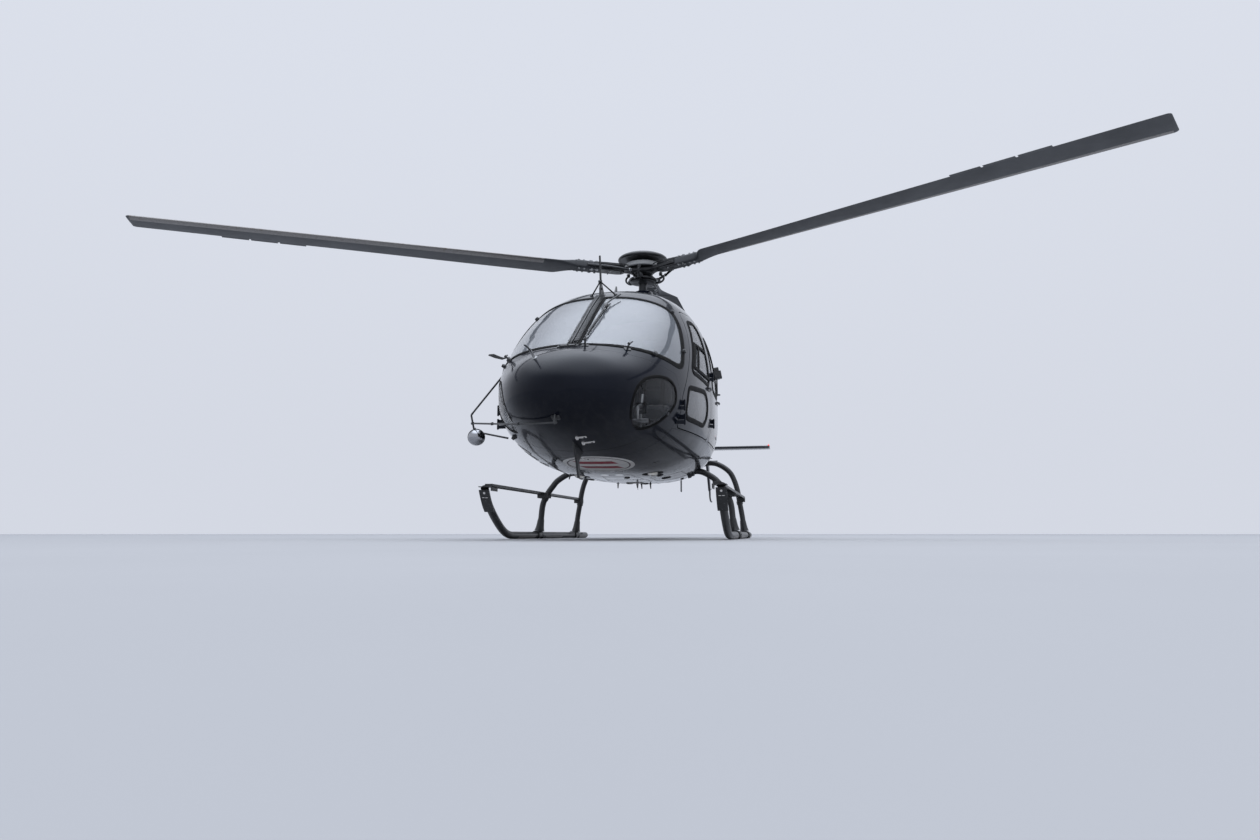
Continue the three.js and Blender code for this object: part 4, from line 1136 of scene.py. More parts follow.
hub = head["hub"]
forks = joined(sleevePlate(hub + 0.0245, hub + 0.0425), sleevePlate(hub - 0.0425, hub - 0.0245))
onRotor("bladeForks", metal, everyArm(forks), bevel=0.004)
forkBolts = []
for x, y in ((-0.048, 0.58), (0.048, 0.58), (-0.048, 0.64), (0.048, 0.64), (0, 0.272), (-0.045, 0.42),
        (0.045, 0.42)):
    for z, way in ((hub + 0.0425, 1), (hub - 0.0425, -1)):
        forkBolts.append(bolt((x, y, z), (0, 0, way), 0.014 if y > 0.55 else 0.009, 0.011))
        if y > 0.55:
            forkBolts.append(facing(turned([(0.018, 0), (0.018, 0.003), (0.01, 0.0045)], 20), (x, y, z),
                (0, 0, way)))
onRotor("forkBolts", bright, everyArm(joined(*forkBolts)), smooth=30)
rings = [(0.062 - 0.004 * (i % 2), -0.024 + 0.004 * i) for i in range(13)]
damper = moved(turned([(0.03, -0.0245)] + rings + [(0.03, 0.0245)], 40), (0, 0.46, hub))
onRotor("frequencyAdapters", rubber, everyArm(damper), slot="dark_metal", smooth=30)

turnSin, turnCos = sin(radians(head["linkTurn"])), cos(radians(head["linkTurn"]))


def linkAt(reach, z):
    # on a pitch link's own radius, for the arm along +Y
    return Vector((-reach * turnSin, reach * turnCos, z))


low, high = linkAt(0.162, 3.006), linkAt(0.268, 3.07)
link = tube([low.lerp(high, s) for s in (0.1, 0.16, 0.2, 0.8, 0.84, 0.9)],
    [0.008, 0.0125, 0.0145, 0.0145, 0.0125, 0.008], 24)
linkMetal, across = [], Vector((turnCos, turnSin, 0))
for end in (low, high):
    eye = turned([(0.009, -0.008), (0.0175, -0.0075), (0.019, 0), (0.0175, 0.0075), (0.009, 0.008)], 28)
    linkMetal.append(facing(eye, end, across))
    linkMetal += [bolt(end + way * 0.009, way, 0.0075, 0.007) for way in (across, -across)]
for s in (0.14, 0.86):
    linkMetal.append(facing(slab(circle(0.0135, 6), 0.01), low.lerp(high, s), high - low))
lug = tube([linkAt(0.135, 3.004), linkAt(0.17, 3.006)], [0.018, 0.012], 16)
hornLine = smoothLine([high + Vector((0, 0, -0.004)), (-0.0916, 0.4, 3.101), (-0.0916, 0.48, 3.101),
    (-0.0916, 0.6, 3.101), (-0.0916, 0.7, 3.101)], 8)
hornRadii = [0.012 + 0.005 * min(1, i / 8) for i in range(len(hornLine))]
hornPad = block(-0.0906, -0.073, 0.5, 0.69, 3.083, 3.119)
onRotor("pitchLinks", metal, everyArm(joined(link, lug, tube(hornLine, hornRadii, 20), hornPad)), smooth=40)
onRotor("pitchLinkEnds", bright, everyArm(joined(*linkMetal)))
scissor = joined(rod((0, 0.07, 3.028), (0, 0.128, 3.05), 0.009, 14),
    rod((0, 0.128, 3.05), (0, 0.09, 3.078), 0.009, 14), rod((-0.014, 0.128, 3.05), (0.014, 0.128, 3.05),
    0.012, 18))
onRotor("scissorLinks", metal, *[armShape(scissor, angle) for angle in (30, 150, 270)], smooth=40)

dishProfile = [(0.02, 3.143), (0.055, 3.143), (0.056, 3.21), (0.06, 3.222), (0.07, 3.228), (0.262, 3.236),
    (0.272, 3.232), (0.282, 3.234), (0.29, 3.242), (0.2915, 3.25), (0.287, 3.262), (0.27, 3.276),
    (0.24, 3.29), (0.2, 3.304), (0.16, 3.3165), (0.12, 3.3262), (0.08, 3.3334), (0.04, 3.338), (0.01, 3.3398),
    (0.003, 3.34)]
onRotor("rotorDish", black, turned(dishProfile, 96), replaces="rotor_dish", smooth=50)
disc = [(0.0565, 3.2), (0.115, 3.2), (0.118, 3.203), (0.118, 3.216), (0.0565, 3.219), (0.0565, 3.2)]
dishBits = [turned(disc, 72)] + [bolt((0.1 * cos(a), 0.1 * sin(a), 3.2005), (0, 0, -1), 0.006, 0.005)
    for a in allRound(12)]
onRotor("dishFlange", bright, *dishBits)

print("main blades")
blade = {
    "root": 0.5355, "cuffEnd": 0.8, "start": 1.05, "tip": 5.345, "ahead": 0.088, "behind": 0.262, "count": 26,
    "thick": [(1.05, 0.023), (3.2, 0.021), (5.345, 0.0205)],
    "twist": [(0.53, 0.0), (0.8, 6.0), (1.05, 6.0), (3.2, 2.0), (5.345, -2.0)]}
twistAt, thickAt = smoothTable(blade["twist"]), smoothTable(blade["thick"])


def bladeTurned(r, x, z):
    # a place in the blade's section, turned by the twist at its radius
    a = radians(twistAt(r)[0])
    return Vector((x * cos(a) + z * sin(a), r, hub - x * sin(a) + z * cos(a)))


def bladeRing(r, shrink=0.0, thin=1.0, lift=0.0):
    # the blade's section at a radius, for a blade along +Y; its leading edge points to -X
    share = min(1.0, max(0.0, (r - blade["cuffEnd"]) / (blade["start"] - blade["cuffEnd"])))
    share = share * share * (3 - 2 * share)
    count, ring = blade["count"], []
    wing = foil(-blade["ahead"] + shrink, blade["behind"] - shrink, thickAt(r)[0] * thin, count)
    for j, (x, z) in enumerate(wing):
        # a rounded box at the root turns into the wing section further out
        t = j if j <= count else 2 * count - j
        c, s = -cos(pi * t / count), sin(pi * t / count)
        boxX = 0.075 * copysign(abs(c) ** 0.45, c)
        boxZ = 0.045 * max(s, 0.0) ** 0.45 * (1 if j <= count else -1)
        z *= 1 if z > 0 else 0.84
        ring.append((boxX + (x - boxX) * share, boxZ + (z - boxZ) * share))
    if lift:
        ring = lifted(ring, lift)
    return [bladeTurned(r, x, z) for x, z in ring]


def lifted(ring, lift):
    # a closed outline moved outward
    result = []
    for j, (x, z) in enumerate(ring):
        (x0, z0), (x1, z1) = ring[j - 1], ring[(j + 1) % len(ring)]
        along = Vector((x1 - x0, z1 - z0)).normalized()
        result.append((x - along.y * lift, z + along.x * lift))
    return result


spans = ((blade["root"], 0.8, 8), (0.82, 1.05, 12), (1.12, 5.31, 40))
bladeRings = [bladeRing(r) for span in spans for r in np.linspace(*span)]
for t in (0.3, 0.6, 0.9, 1.15, 1.35, 1.5):
    bladeRings.append(bladeRing(5.31 + 0.035 * sin(t), 0.03 * (1 - cos(t)), max(0.05, cos(t))))
bladeShape = lofted(bladeRings)
count = blade["count"]
edgeRings = []
for r in np.linspace(1.2, 5.312, 42):
    ring, outer = bladeRing(r), bladeRing(r, lift=0.0009)
    front = [j % (2 * count) for j in range(-8, 9)]
    edgeRings.append([outer[j] for j in front] + [ring[j] for j in reversed(front)])
edgeStrip = lofted(edgeRings)
doubler = lofted([bladeRing(r, lift=0.004) for r in np.linspace(0.62, 0.83, 6)])
tabs = []
for r0, r1 in ((3.72, 3.98), (4.0, 4.26), (4.28, 4.54)):
    rings = []
    for r in (r0, r1):
        ring = bladeRing(r)
        back = (ring[count] - ring[count - 4].lerp(ring[count + 4], 0.5)).normalized()
        rise = Vector((-back.z, 0, back.x)) * 0.0012
        start, end = ring[count] - back * 0.02, ring[count] + back * 0.032
        rings.append([start + rise, end + rise * 0.6, end - rise * 0.6, start - rise])
    tabs.append(lofted(rings))
cuffBolts = []
for x in (-0.045, 0.045):
    for r in (0.655, 0.73, 0.79):
        a = radians(twistAt(r)[0])
        for way in (1, -1):
            normal = (sin(a) * way, 0, cos(a) * way)
            cuffBolts.append(bolt(bladeTurned(r, x, way * 0.0485), normal, 0.0095, 0.007))
for index, angle in enumerate(head["arms"], 1):
    onRotor(f"rotorBlade_{index}", bladeGrey, armShape(bladeShape, angle), replaces=f"rotor_blade_{index}",
        smooth=40)
    onRotor(f"bladeEdge_{index}", steel, armShape(edgeStrip, angle), slot="blade_grey", smooth=40)
    onRotor(f"bladeCuffs_{index}", bladeGrey, armShape(joined(doubler, *tabs), angle), smooth=30)
    onRotor(f"bladeBolts_{index}", bright, armShape(joined(*cuffBolts), angle), slot="blade_grey", smooth=30)

print("tail rotor")
tailX, tailY, tailZ = -0.5, 6.6, 1.78
tailAxis = (0, tailY, tailZ)
gearboxShape = moved(turned([(0.02, 0.1), (0.07, 0.098), (0.088, 0.085), (0.095, 0.06), (0.095, -0.06),
    (0.1, -0.066), (0.1, -0.082), (0.094, -0.09), (0.085, -0.12), (0.062, -0.152), (0.05, -0.165),
    (0.046, -0.25), (0.053, -0.256), (0.053, -0.285), (0.03, -0.2885)], 48, "X"), tailAxis)
ribs = [moved(turned([(0.09, 0.03 - s), (0.101, 0.028 - s), (0.101, 0.024 - s), (0.09, 0.022 - s)], 48, "X"),
    tailAxis) for s in (0, 0.022, 2 * 0.022, 3 * 0.022)]
piece("tailGearbox", metal, gearboxShape, *ribs, replaces="tail_gearbox")
hubShape = moved(turned([(0.03, -0.2905), (0.044, -0.292), (0.046, -0.31), (0.036, -0.318), (0.031, -0.33),
    (0.031, -0.4), (0.07, -0.405), (0.074, -0.412), (0.07, -0.42), (0.036, -0.425), (0.036, -0.455),
    (0.043, -0.46), (0.043, -0.525), (0.036, -0.536), (0.018, -0.54)], 40, "X"), tailAxis)
yoke = lofted([[(tailX + w * 0.026 * cos(a), tailY + w * 0.034 * sin(a), tailZ + h) for a in allRound(24)]
    for h, w in ((-0.105, 0.8), (-0.1, 0.95), (-0.06, 1.0), (-0.045, 1.3), (0, 1.45), (0.045, 1.3),
    (0.06, 1.0), (0.1, 0.95), (0.105, 0.8))])
pitch = []
for way in (1, -1):
    pitch += [rod((-0.412, tailY + way * 0.062, tailZ + way * 0.01),
        (-0.478, tailY + way * 0.07, tailZ + way * 0.055), 0.006, 12), rod((-0.478, tailY + way * 0.078,
        tailZ + way * 0.055), (-0.49, tailY + way * 0.02, tailZ + way * 0.085), 0.009, 12)]
piece("tailRotorHub", metal, hubShape, yoke, *pitch, body="tail_rotor", replaces="tail_rotor", smooth=40)
tailBladeAt = smoothTable([(0.06, 0.028, 0.018), (0.16, 0.033, 0.016), (0.22, 0.062, 0.013),
    (0.3, 0.09, 0.0115), (0.36, 0.092, 0.011), (0.93, 0.092, 0.0095)])
rings = []
for r in list(np.linspace(0.06, 0.36, 20)) + list(np.linspace(0.4, 0.915, 16)):
    half, thick = tailBladeAt(r)
    rings.append([(tailX + out, tailY + y, tailZ + r) for y, out in foil(-half, half, thick)])
for t in (0.4, 0.8, 1.1, 1.35):
    rings.append([(tailX + out, tailY + y, tailZ + 0.915 + 0.014 * sin(t))
        for y, out in foil(-0.092 + 0.012 * (1 - cos(t)), 0.092 - 0.012 * (1 - cos(t)), 0.0095 * cos(t))])
upBlade = lofted(rings)
downBlade = moved(moved(upBlade, (-tailX, -tailY, -tailZ)), (tailX, tailY, tailZ),
    Matrix.Rotation(pi, 3, "X"))
piece("tailBlades", bladeGrey, upBlade, downBlade, body="tail_rotor", smooth=40)


def clothMaterial(name, low, high, scale=900.0):
    # woven upholstery: fine crossed threads, lighter where it is rubbed
    finish = Finish(name, Specular_IOR_Level=0.25, Sheen_Weight=0.35, Sheen_Roughness=0.5)
    worn = finish.ramp(finish.noise(9, 5), 0.35, 0.7)
    threads = [finish.node("ShaderNodeTexWave", Vector=finish.place, Scale=scale / 6.28, Distortion=0.6,
        bands_direction=axis).outputs["Fac"] for axis in "XYZ"]
    weave = finish.math("ADD", finish.math("MULTIPLY", threads[0], threads[2]),
        finish.math("MULTIPLY", threads[1], 0.5))
    finish.bump(weave, 0.35, 0.0006)
    color = finish.blend(weave, finish.blend(worn, low, high), tuple(0.45 * c for c in low), 0.35)
    return finish.done(color, worn, 0.75, 0.92)


def cabinGrey():
    # painted floor and trim with scuffs
    finish = Finish("cabinGrey")
    scuffs = finish.ramp(finish.noise(28, 6, (1, 3, 1)), 0.58, 0.7)
    color = finish.blend(finish.ramp(finish.noise(4, 5), 0.3, 0.7), (0.06, 0.062, 0.066),
        (0.095, 0.098, 0.102))
    finish.bump(finish.noise(500, 3), 0.1, 0.0004)
    return finish.done(finish.blend(scuffs, color, (0.2, 0.2, 0.2), 0.4), scuffs, 0.55, 0.4)


def consolePlastic():
    finish = Finish("consolePlastic", Specular_IOR_Level=0.35)
    color = finish.blend(finish.ramp(finish.noise(6, 4), 0.35, 0.7), (0.012, 0.012, 0.013),
        (0.026, 0.026, 0.028))
    finish.bump(finish.noise(650, 3), 0.25, 0.0005)
    return finish.done(color, finish.noise(14, 4), 0.5, 0.7)


def castAlloy():
    finish = Finish("castAlloy", 0.8)
    stain = finish.ramp(finish.noise(8, 6), 0.4, 0.7)
    finish.bump(finish.noise(160, 4), 0.3, 0.0008)
    return finish.done(finish.blend(stain, (0.3, 0.3, 0.305), (0.16, 0.15, 0.14)), stain, 0.4, 0.62)


def heatedSteel():
    # exhaust metal: straw, brown and blue bands from the heat, patches of soot
    finish = Finish("heatedSteel", 0.9)
    wave = finish.math("ADD", finish.math("MULTIPLY", finish.along(finish.place, "Y"), 0.9),
        finish.math("MULTIPLY", finish.noise(4, 4), 0.35))
    tint = finish.ramp(finish.math("FRACT", wave), 0.2, 0.85, ((0.2, 0.15, 0.1, 1), (0.13, 0.135, 0.16, 1)))
    soot = finish.ramp(finish.noise(7, 6), 0.45, 0.75)
    finish.bump(finish.noise(90, 4, (1, 4, 1)), 0.15, 0.0006)
    return finish.done(finish.blend(soot, tint, (0.02, 0.019, 0.018), 0.7), soot, 0.3, 0.6)


seatCloth = clothMaterial("seatCloth", (0.03, 0.032, 0.037), (0.06, 0.063, 0.07))
beltCloth = clothMaterial("beltWebbing", (0.02, 0.02, 0.022), (0.045, 0.045, 0.048), 1500.0)
greyTrim, console, alloy, heated = cabinGrey(), consolePlastic(), castAlloy(), heatedSteel()

print("cabin floor and walls")
floor = common(hullMesh(0.0406), block(-2, 2, -3.05, -0.2003, 0.8615, 0.9))
finishPiece(floor, "cabinFloor", greyTrim, replaces="cabin_floor", hull=True)
wallPlate = common(hullMesh(0.0406), block(-2, 2, -0.2, -0.1705, 0.9005, 2.6))
finishPiece(wallPlate, "rearBulkhead", greyTrim, replaces="rear_bulkhead", hull=True)
lining = common(hullBand(0.0395, 0.047), sidePrism(roundCorners(rectangle(-2.05, -0.215, 2.17, 2.6), 0.03),
    -2, 2))
finishPiece(lining, "headLining", plainFinish("liningGrey", (0.1, 0.102, 0.106), (0.15, 0.152, 0.158),
    (0.7, 0.85)), slot="cabin_grey", hull=True)
mats = []
for x0, x1, y0, y1 in ((0.14, 0.66, -2.42, -1.9), (-0.66, -0.14, -2.42, -1.9), (-0.72, 0.72, -1.3, -0.82)):
    mats.append(block(x0, x1, y0, y1, 0.9, 0.9035))
    count = int((x1 - x0) / 0.014)
    for i in range(1, count):
        x = x0 + (x1 - x0) * i / count
        mats.append(block(x - 0.003, x + 0.003, y0 + 0.015, y1 - 0.015, 0.903, 0.9055))
piece("floorMats", rubber, *mats, slot="cabin_grey", smooth=0)

bayLining = cut(bayRoom(0.0008), bayRoom(0.0045), sidePrism(rounded("baggageDoor", 0.002), 0.5, 2))
pairOf(bayLining, "bayLining", greyTrim, smooth=30)
bayStrips = [block(0.35, 0.7, y - 0.014, y + 0.014, 0.9646, 0.9705) for y in np.linspace(0.0, 0.84, 7)]
for x, y in ((0.38, -0.06), (0.38, 0.9), (0.66, -0.06), (0.58, 0.9)):
    bayStrips += [facing(plate(0.025, 0.02, 0.008, 0.003), (x, y, 0.9646), (0, 0, 1)),
        tube([Vector((x + 0.014 * cos(a), y, 0.9676 + 0.014 * sin(a))) for a in np.linspace(0, pi, 12)],
        0.003, 10)]
pair("bayStrips", rubber, *bayStrips, slot="cabin_grey", smooth=30)

print("seats")
stuffing = {"voxel": 0.008, "frames": 20, "pressure": 4.0}


def puffed(mesh, cap):
    # inflates a closed mesh a little, as stuffing does, and keeps every point within the cap
    start = bpy.data.objects.new("soft", mesh)
    scene.collection.objects.link(start)
    cloth = start.modifiers.new("cloth", "CLOTH")
    cloth.settings.quality = 5
    cloth.settings.use_pressure = True
    cloth.settings.uniform_pressure_force = stuffing["pressure"]
    cloth.settings.tension_stiffness = cloth.settings.compression_stiffness = 12
    cloth.settings.bending_stiffness = 0.6
    cloth.settings.effector_weights.gravity = 0
    cloth.point_cache.frame_start, cloth.point_cache.frame_end = 1, stuffing["frames"]
    for frameNumber in range(1, stuffing["frames"] + 1):
        scene.frame_set(frameNumber)
    graph = bpy.context.evaluated_depsgraph_get()
    swollen = bpy.data.meshes.new_from_object(start.evaluated_get(graph))
    for vertex, before in zip(swollen.vertices, mesh.vertices):
        step = vertex.co - before.co
        if step.length > cap:
            vertex.co = before.co + step * (cap / step.length)
    bpy.data.objects.remove(start)
    scene.frame_set(1)
    return swollen


def padMesh(size, corner, cap, lines=(), depth=0.009, crown=0.0):
    # a stuffed pad round its own middle; lines are sewn channels across it, as (axis, place)
    w, d, h = (s / 2 - cap * 0.55 for s in size)
    draft = bpy.data.objects.new("draft", meshFrom(block(-w, w, -d, d, -h, h)))
    scene.collection.objects.link(draft)
    edges = draft.modifiers.new("edges", "BEVEL")
    edges.width, edges.segments = corner, 5
    even = draft.modifiers.new("even", "REMESH")
    even.mode, even.voxel_size = "VOXEL", stuffing["voxel"]
    graph = bpy.context.evaluated_depsgraph_get()
    mesh = bpy.data.meshes.new_from_object(draft.evaluated_get(graph))
    bpy.data.objects.remove(draft)
    thin = size.index(min(size))
    a, b = (k for k in range(3) if k != thin)
    for vertex in mesh.vertices:
        share = [vertex.co[k] / (size[k] / 2) for k in range(3)]
        bulge = max(0, 1 - share[a] ** 2) * max(0, 1 - share[b] ** 2)
        vertex.co[thin] += crown * bulge * share[thin]
    mesh = puffed(mesh, cap)
    for vertex in mesh.vertices:
        pull = sum(exp(-((vertex.co[axis] - place) / 0.011) ** 2) for axis, place in lines)
        if pull > 0.01 and abs(vertex.co[thin]) > 0.35 * size[thin] / 2:
            vertex.co[thin] -= copysign(depth * min(1, pull), vertex.co[thin])
    return mesh


def padPiece(mesh, name, at, replaces=None):
    mesh = mesh.copy()
    mesh.transform(Matrix.Translation(at))
    finishPiece(mesh, name, seatCloth, replaces=replaces, smooth=70)


seatCushion = padMesh((0.46, 0.46, 0.138), 0.035, 0.018, [(1, -0.075), (1, 0.075), (0, -0.15), (0, 0.15)],
    crown=0.012)
seatBack = padMesh((0.46, 0.108, 0.655), 0.032, 0.016, [(2, -0.16), (2, 0.0), (2, 0.16), (0, -0.15),
    (0, 0.15)], crown=0.01)
headPad = padMesh((0.28, 0.078, 0.185), 0.03, 0.012, [(2, 0.0)], crown=0.008)
benchCushion = padMesh((0.455, 0.52, 0.138), 0.035, 0.018, [(1, -0.09), (1, 0.09)], crown=0.012)
benchBack = padMesh((0.455, 0.12, 0.58), 0.034, 0.016, [(2, -0.14), (2, 0.0), (2, 0.14)], crown=0.01)
for side, x in (("left", 0.38), ("right", -0.38)):
    padPiece(seatCushion, f"seatCushion_{side}", (x, -1.6, 1.161), f"front_seat_{side}")
    padPiece(seatBack, f"seatBack_{side}", (x, -1.386, 1.452))
    padPiece(headPad, f"headRest_{side}", (x, -1.386, 1.862))
    piece(f"seatShell_{side}", console, block(x - 0.226, x + 0.226, -1.338, -1.3305, 1.1, 1.78),
        block(x - 0.215, x + 0.215, -1.83, -1.345, 1.083, 1.092), bevel=0.004)
    legs, rails, posts = [], [], []
    for s in (-0.17, 0.17):
        leg = [(-1.78, 0.93), (-1.76, 1.06), (-1.7, 1.078), (-1.42, 1.078), (-1.38, 1.05), (-1.37, 0.93)]
        legs.append(tube(smoothLine([(x + s, y, z) for y, z in leg], 5), 0.013, 12))
        rails.append(block(x + s - 0.018, x + s + 0.018, -1.83, -1.34, 0.9008, 0.925))
    for s in (-0.07, 0.07):
        posts.append(rod((x + s, -1.386, 1.74), (x + s, -1.386, 1.8), 0.006, 12))
    cross = [rod((x - 0.17, y, 1.05), (x + 0.17, y, 1.05), 0.01, 12) for y in (-1.75, -1.4)]
    piece(f"seatFrame_{side}", metal, *legs, *rails, *cross, *posts, smooth=40)
for i, x in enumerate((-0.47, 0.0, 0.47), 1):
    padPiece(benchCushion, f"benchCushion_{i}", (x, -0.485, 1.181), "rear_bench" if i == 1 else None)
    padPiece(benchBack, f"benchBack_{i}", (x, -0.267, 1.545))
benchBox = [block(-0.69, 0.69, -0.735, -0.21, 1.098, 1.108), block(-0.64, 0.64, -0.7, -0.69, 0.9008, 1.098)]
for x in (-0.64, -0.235, 0.235, 0.64):
    benchBox.append(block(x - 0.006, x + 0.006, -0.69, -0.21, 0.9008, 1.098))
piece("benchBase", greyTrim, *benchBox, bevel=0.002)


def strap(points, across=(1, 0, 0), width=0.045, thick=0.0018):
    # a flat belt along a line
    side = Vector(across).normalized()
    line = smoothLine(points, 6)
    rings = []
    for point, (along, _, _) in zip(line, pathFrames(line)):
        out = along.cross(side).normalized()
        rings.append([point + side * a + out * b for a, b in ((-width / 2, -thick), (width / 2, -thick),
            (width / 2, thick), (-width / 2, thick))])
    return lofted(rings)


belts, buckles = [], []
shoulder = [(0.07, -1.325, 1.4), (0.07, -1.322, 1.72), (0.075, -1.345, 1.795), (0.08, -1.4, 1.793),
    (0.09, -1.452, 1.72), (0.095, -1.462, 1.55), (0.09, -1.468, 1.36), (0.06, -1.5, 1.262),
    (0.03, -1.6, 1.247)]
lap = [(0.238, -1.42, 1.09), (0.236, -1.44, 1.2), (0.2, -1.5, 1.247), (0.1, -1.58, 1.2495),
    (0.02, -1.6, 1.251)]
benchLap = [(0.21, -0.35, 1.13), (0.205, -0.37, 1.25), (0.15, -0.43, 1.266), (0.06, -0.5, 1.2685),
    (0.01, -0.52, 1.2695)]
for x in (0.38, -0.38):
    for s in (-1, 1):
        belts.append(strap([(x + s * a, y, z) for a, y, z in shoulder]))
        belts.append(strap([(x + s * a, y, z) for a, y, z in lap], (0, 1, 0.1)))
    buckle = turned([(0.01, 0), (0.028, 0), (0.03, 0.003), (0.03, 0.012), (0.026, 0.016), (0.01, 0.017)], 32)
    buckles.append(moved(buckle, (x, -1.6, 1.25)))
for x in (-0.47, 0.0, 0.47):
    for s in (-1, 1):
        belts.append(strap([(x + s * a, y, z) for a, y, z in benchLap], (0, 1, 0.1)))
    buckles.append(block(x - 0.03, x + 0.03, -0.545, -0.495, 1.268, 1.28))
piece("seatBelts", beltCloth, *belts, smooth=50)
piece("beltBuckles", bright, *buckles, bevel=0.0015)

print("instruments and controls")
hoodOutline = [(-2.82, 1.06), (-2.76, 1.4), (-2.64, 1.5), (-2.4, 1.5), (-2.37, 1.44), (-2.48, 1.08)]
hoodShape = sidePrism(roundCorners(hoodOutline, 0.03), -0.33, 0.33)
pedestalShape = sidePrism(roundCorners([(-2.78, 0.9008), (-2.78, 1.12), (-2.5, 1.12), (-1.99, 1.08),
    (-1.96, 0.9008)], 0.012), -0.11, 0.11)
piece("instrumentConsole", console, hoodShape, pedestalShape, replaces="instrument_console", bevel=0.008)
faceAt, faceUp = Vector((0, -2.433, 1.255)), Vector((0, 0.11, 0.36)).normalized()
faceOut = Vector((0, 0.36, -0.11)).normalized()


def onPanel(shape, x, up, lift=0.0):
    # sets a shape built on the XY plane onto the instrument panel
    turn = Matrix((Vector((-1, 0, 0)), faceUp, faceOut)).transposed()
    return moved(shape, faceAt + Vector((x, 0, 0)) + faceUp * up + faceOut * (lift + 0.001), turn)


rims = [onPanel(slab(roundCorners(rectangle(-0.3, 0.3, -0.155, 0.16), 0.02), 0.004), 0, 0)]
faces, marks = [], []
gauges = [(-0.235, 0.085, 0.04), (-0.14, 0.085, 0.04), (-0.235, -0.015, 0.04), (-0.14, -0.015, 0.04),
    (0.235, 0.085, 0.04), (0.235, -0.015, 0.04), (-0.235, -0.11, 0.03), (-0.15, -0.11, 0.03),
    (0.235, -0.11, 0.03)]
for x, up, r in gauges:
    rim = [(r * 0.86, 0.0), (r, 0.0), (r, 0.006), (r * 0.95, 0.009), (r * 0.87, 0.007), (r * 0.86, 0.0)]
    rims.append(onPanel(turned(rim, 32), x, up, 0.004))
    faces.append(onPanel(slab(circle(r * 0.87, 28), 0.002), x, up, 0.004))
    tick = slab(rectangle(r * 0.62, r * 0.8, -0.0008, 0.0008), 0.0006)
    for k in range(12):
        marks.append(onPanel(moved(tick, turn=Matrix.Rotation(radians(30 * k), 3, "Z")), x, up, 0.006))
    needle = slab([(-r * 0.15, -0.0012), (r * 0.6, -0.0005), (r * 0.6, 0.0005), (-r * 0.15, 0.0012)], 0.0008)
    marks.append(onPanel(moved(needle, turn=Matrix.Rotation(1.1 + 7 * x, 3, "Z")), x, up, 0.0068))
for x0, x1, low, high in ((-0.07, 0.17, -0.03, 0.14), (-0.07, 0.04, -0.14, -0.045),
        (0.06, 0.17, -0.14, -0.045)):
    screen = rectangle(-x1, -x0, low, high)
    rims.append(onPanel(slab(screen, 0.008), 0, 0, 0.004))
    faces.append(onPanel(slab(grow(screen, -0.009), 0.0006), 0, 0, 0.012))
knob = turned([(0.001, 0), (0.0085, 0), (0.008, 0.014), (0.006, 0.016), (0.001, 0.016)], 20)
knobs = []
for i in range(7):
    y = -2.44 + 0.06 * i
    z = 1.1185 - (y + 2.5) * 0.0784
    knobs += [moved(knob, (x, y, z)) for x in (-0.06, 0.06)]
    faces.append(moved(block(-0.04, 0.04, -0.02, 0.02, 0, 0.0025), (0, y, z)))
piece("panelRims", console, *rims, *knobs)
dark = Finish("screenDark", Coat_Weight=1.0, Coat_Roughness=0.03)
screenDark = dark.done(dark.blend(dark.noise(14, 3), (0.006, 0.007, 0.008), (0.014, 0.017, 0.02)),
    dark.noise(40, 3), 0.08, 0.2)
piece("panelFaces", screenDark, *faces, slot="console_black", smooth=0)
white = Finish("markPaint")
markPaint = white.done(white.blend(white.noise(60, 3), (0.62, 0.62, 0.6), (0.75, 0.75, 0.73)),
    white.noise(80, 3), 0.4, 0.6)
piece("gaugeMarks", markPaint, *marks, smooth=0)
sticks, grips = [], []
pedal = [block(-0.045, 0.045, -0.008, 0.008, -0.05, 0.05)] + [block(-0.043, 0.043, 0.007, 0.011,
    -0.042 + 0.015 * k, -0.036 + 0.015 * k) for k in range(6)]
for x in (0.38, -0.38):
    sticks.append(tube(smoothLine([(x, -2.12, 0.905), (x, -2.14, 1.05), (x, -2.08, 1.2), (x, -2.03, 1.31)]),
        0.011, 14))
    grips.append(tube(smoothLine([(x, -2.032, 1.3), (x, -2.022, 1.35), (x, -2.035, 1.4), (x, -2.05, 1.43)],
        5), [0.017 + 0.004 * sin(i * 0.21) for i in range(16)], 16))
    boot = turned([(0.001, 0.902), (0.05, 0.902), (0.042, 0.93), (0.03, 0.938), (0.026, 0.96), (0.014, 0.97)],
        24)
    grips.append(moved(boot, (x, -2.12, 0)))
    lever = x - 0.27
    sticks.append(tube([(lever, -1.5, 0.96), (lever, -1.75, 1.05), (lever, -1.95, 1.13)], 0.0125, 14))
    grips.append(rod((lever, -1.88, 1.1), (lever, -2.0, 1.15), 0.02, 20))
    for foot in (x - 0.11, x + 0.11):
        sticks.append(tube(smoothLine([(foot, -2.78, 0.905), (foot, -2.72, 0.97), (foot, -2.7, 1.06)], 5),
            0.009, 12))
        grips.append(moved(joined(*pedal), (foot, -2.695, 1.07), Matrix.Rotation(radians(-20), 3, "X")))
    sticks.append(rod((x - 0.16, -2.78, 0.93), (x + 0.16, -2.78, 0.93), 0.012, 14))
for x in (0.38, -0.38):
    for foot in (x - 0.11, x + 0.11):
        guard = [(foot, -2.8, 0.915), (foot, -2.86, 0.96), (foot, -2.84, 1.05), (foot, -2.71, 1.09)]
        sticks.append(tube(smoothLine(guard), 0.016, 16))
    sticks.append(rod((x - 0.2, -2.86, 0.945), (x + 0.2, -2.86, 0.945), 0.019, 18))
piece("controlTubes", bright, *sticks, smooth=40)
piece("controlGrips", rubber, *grips, slot="console_black", smooth=40)

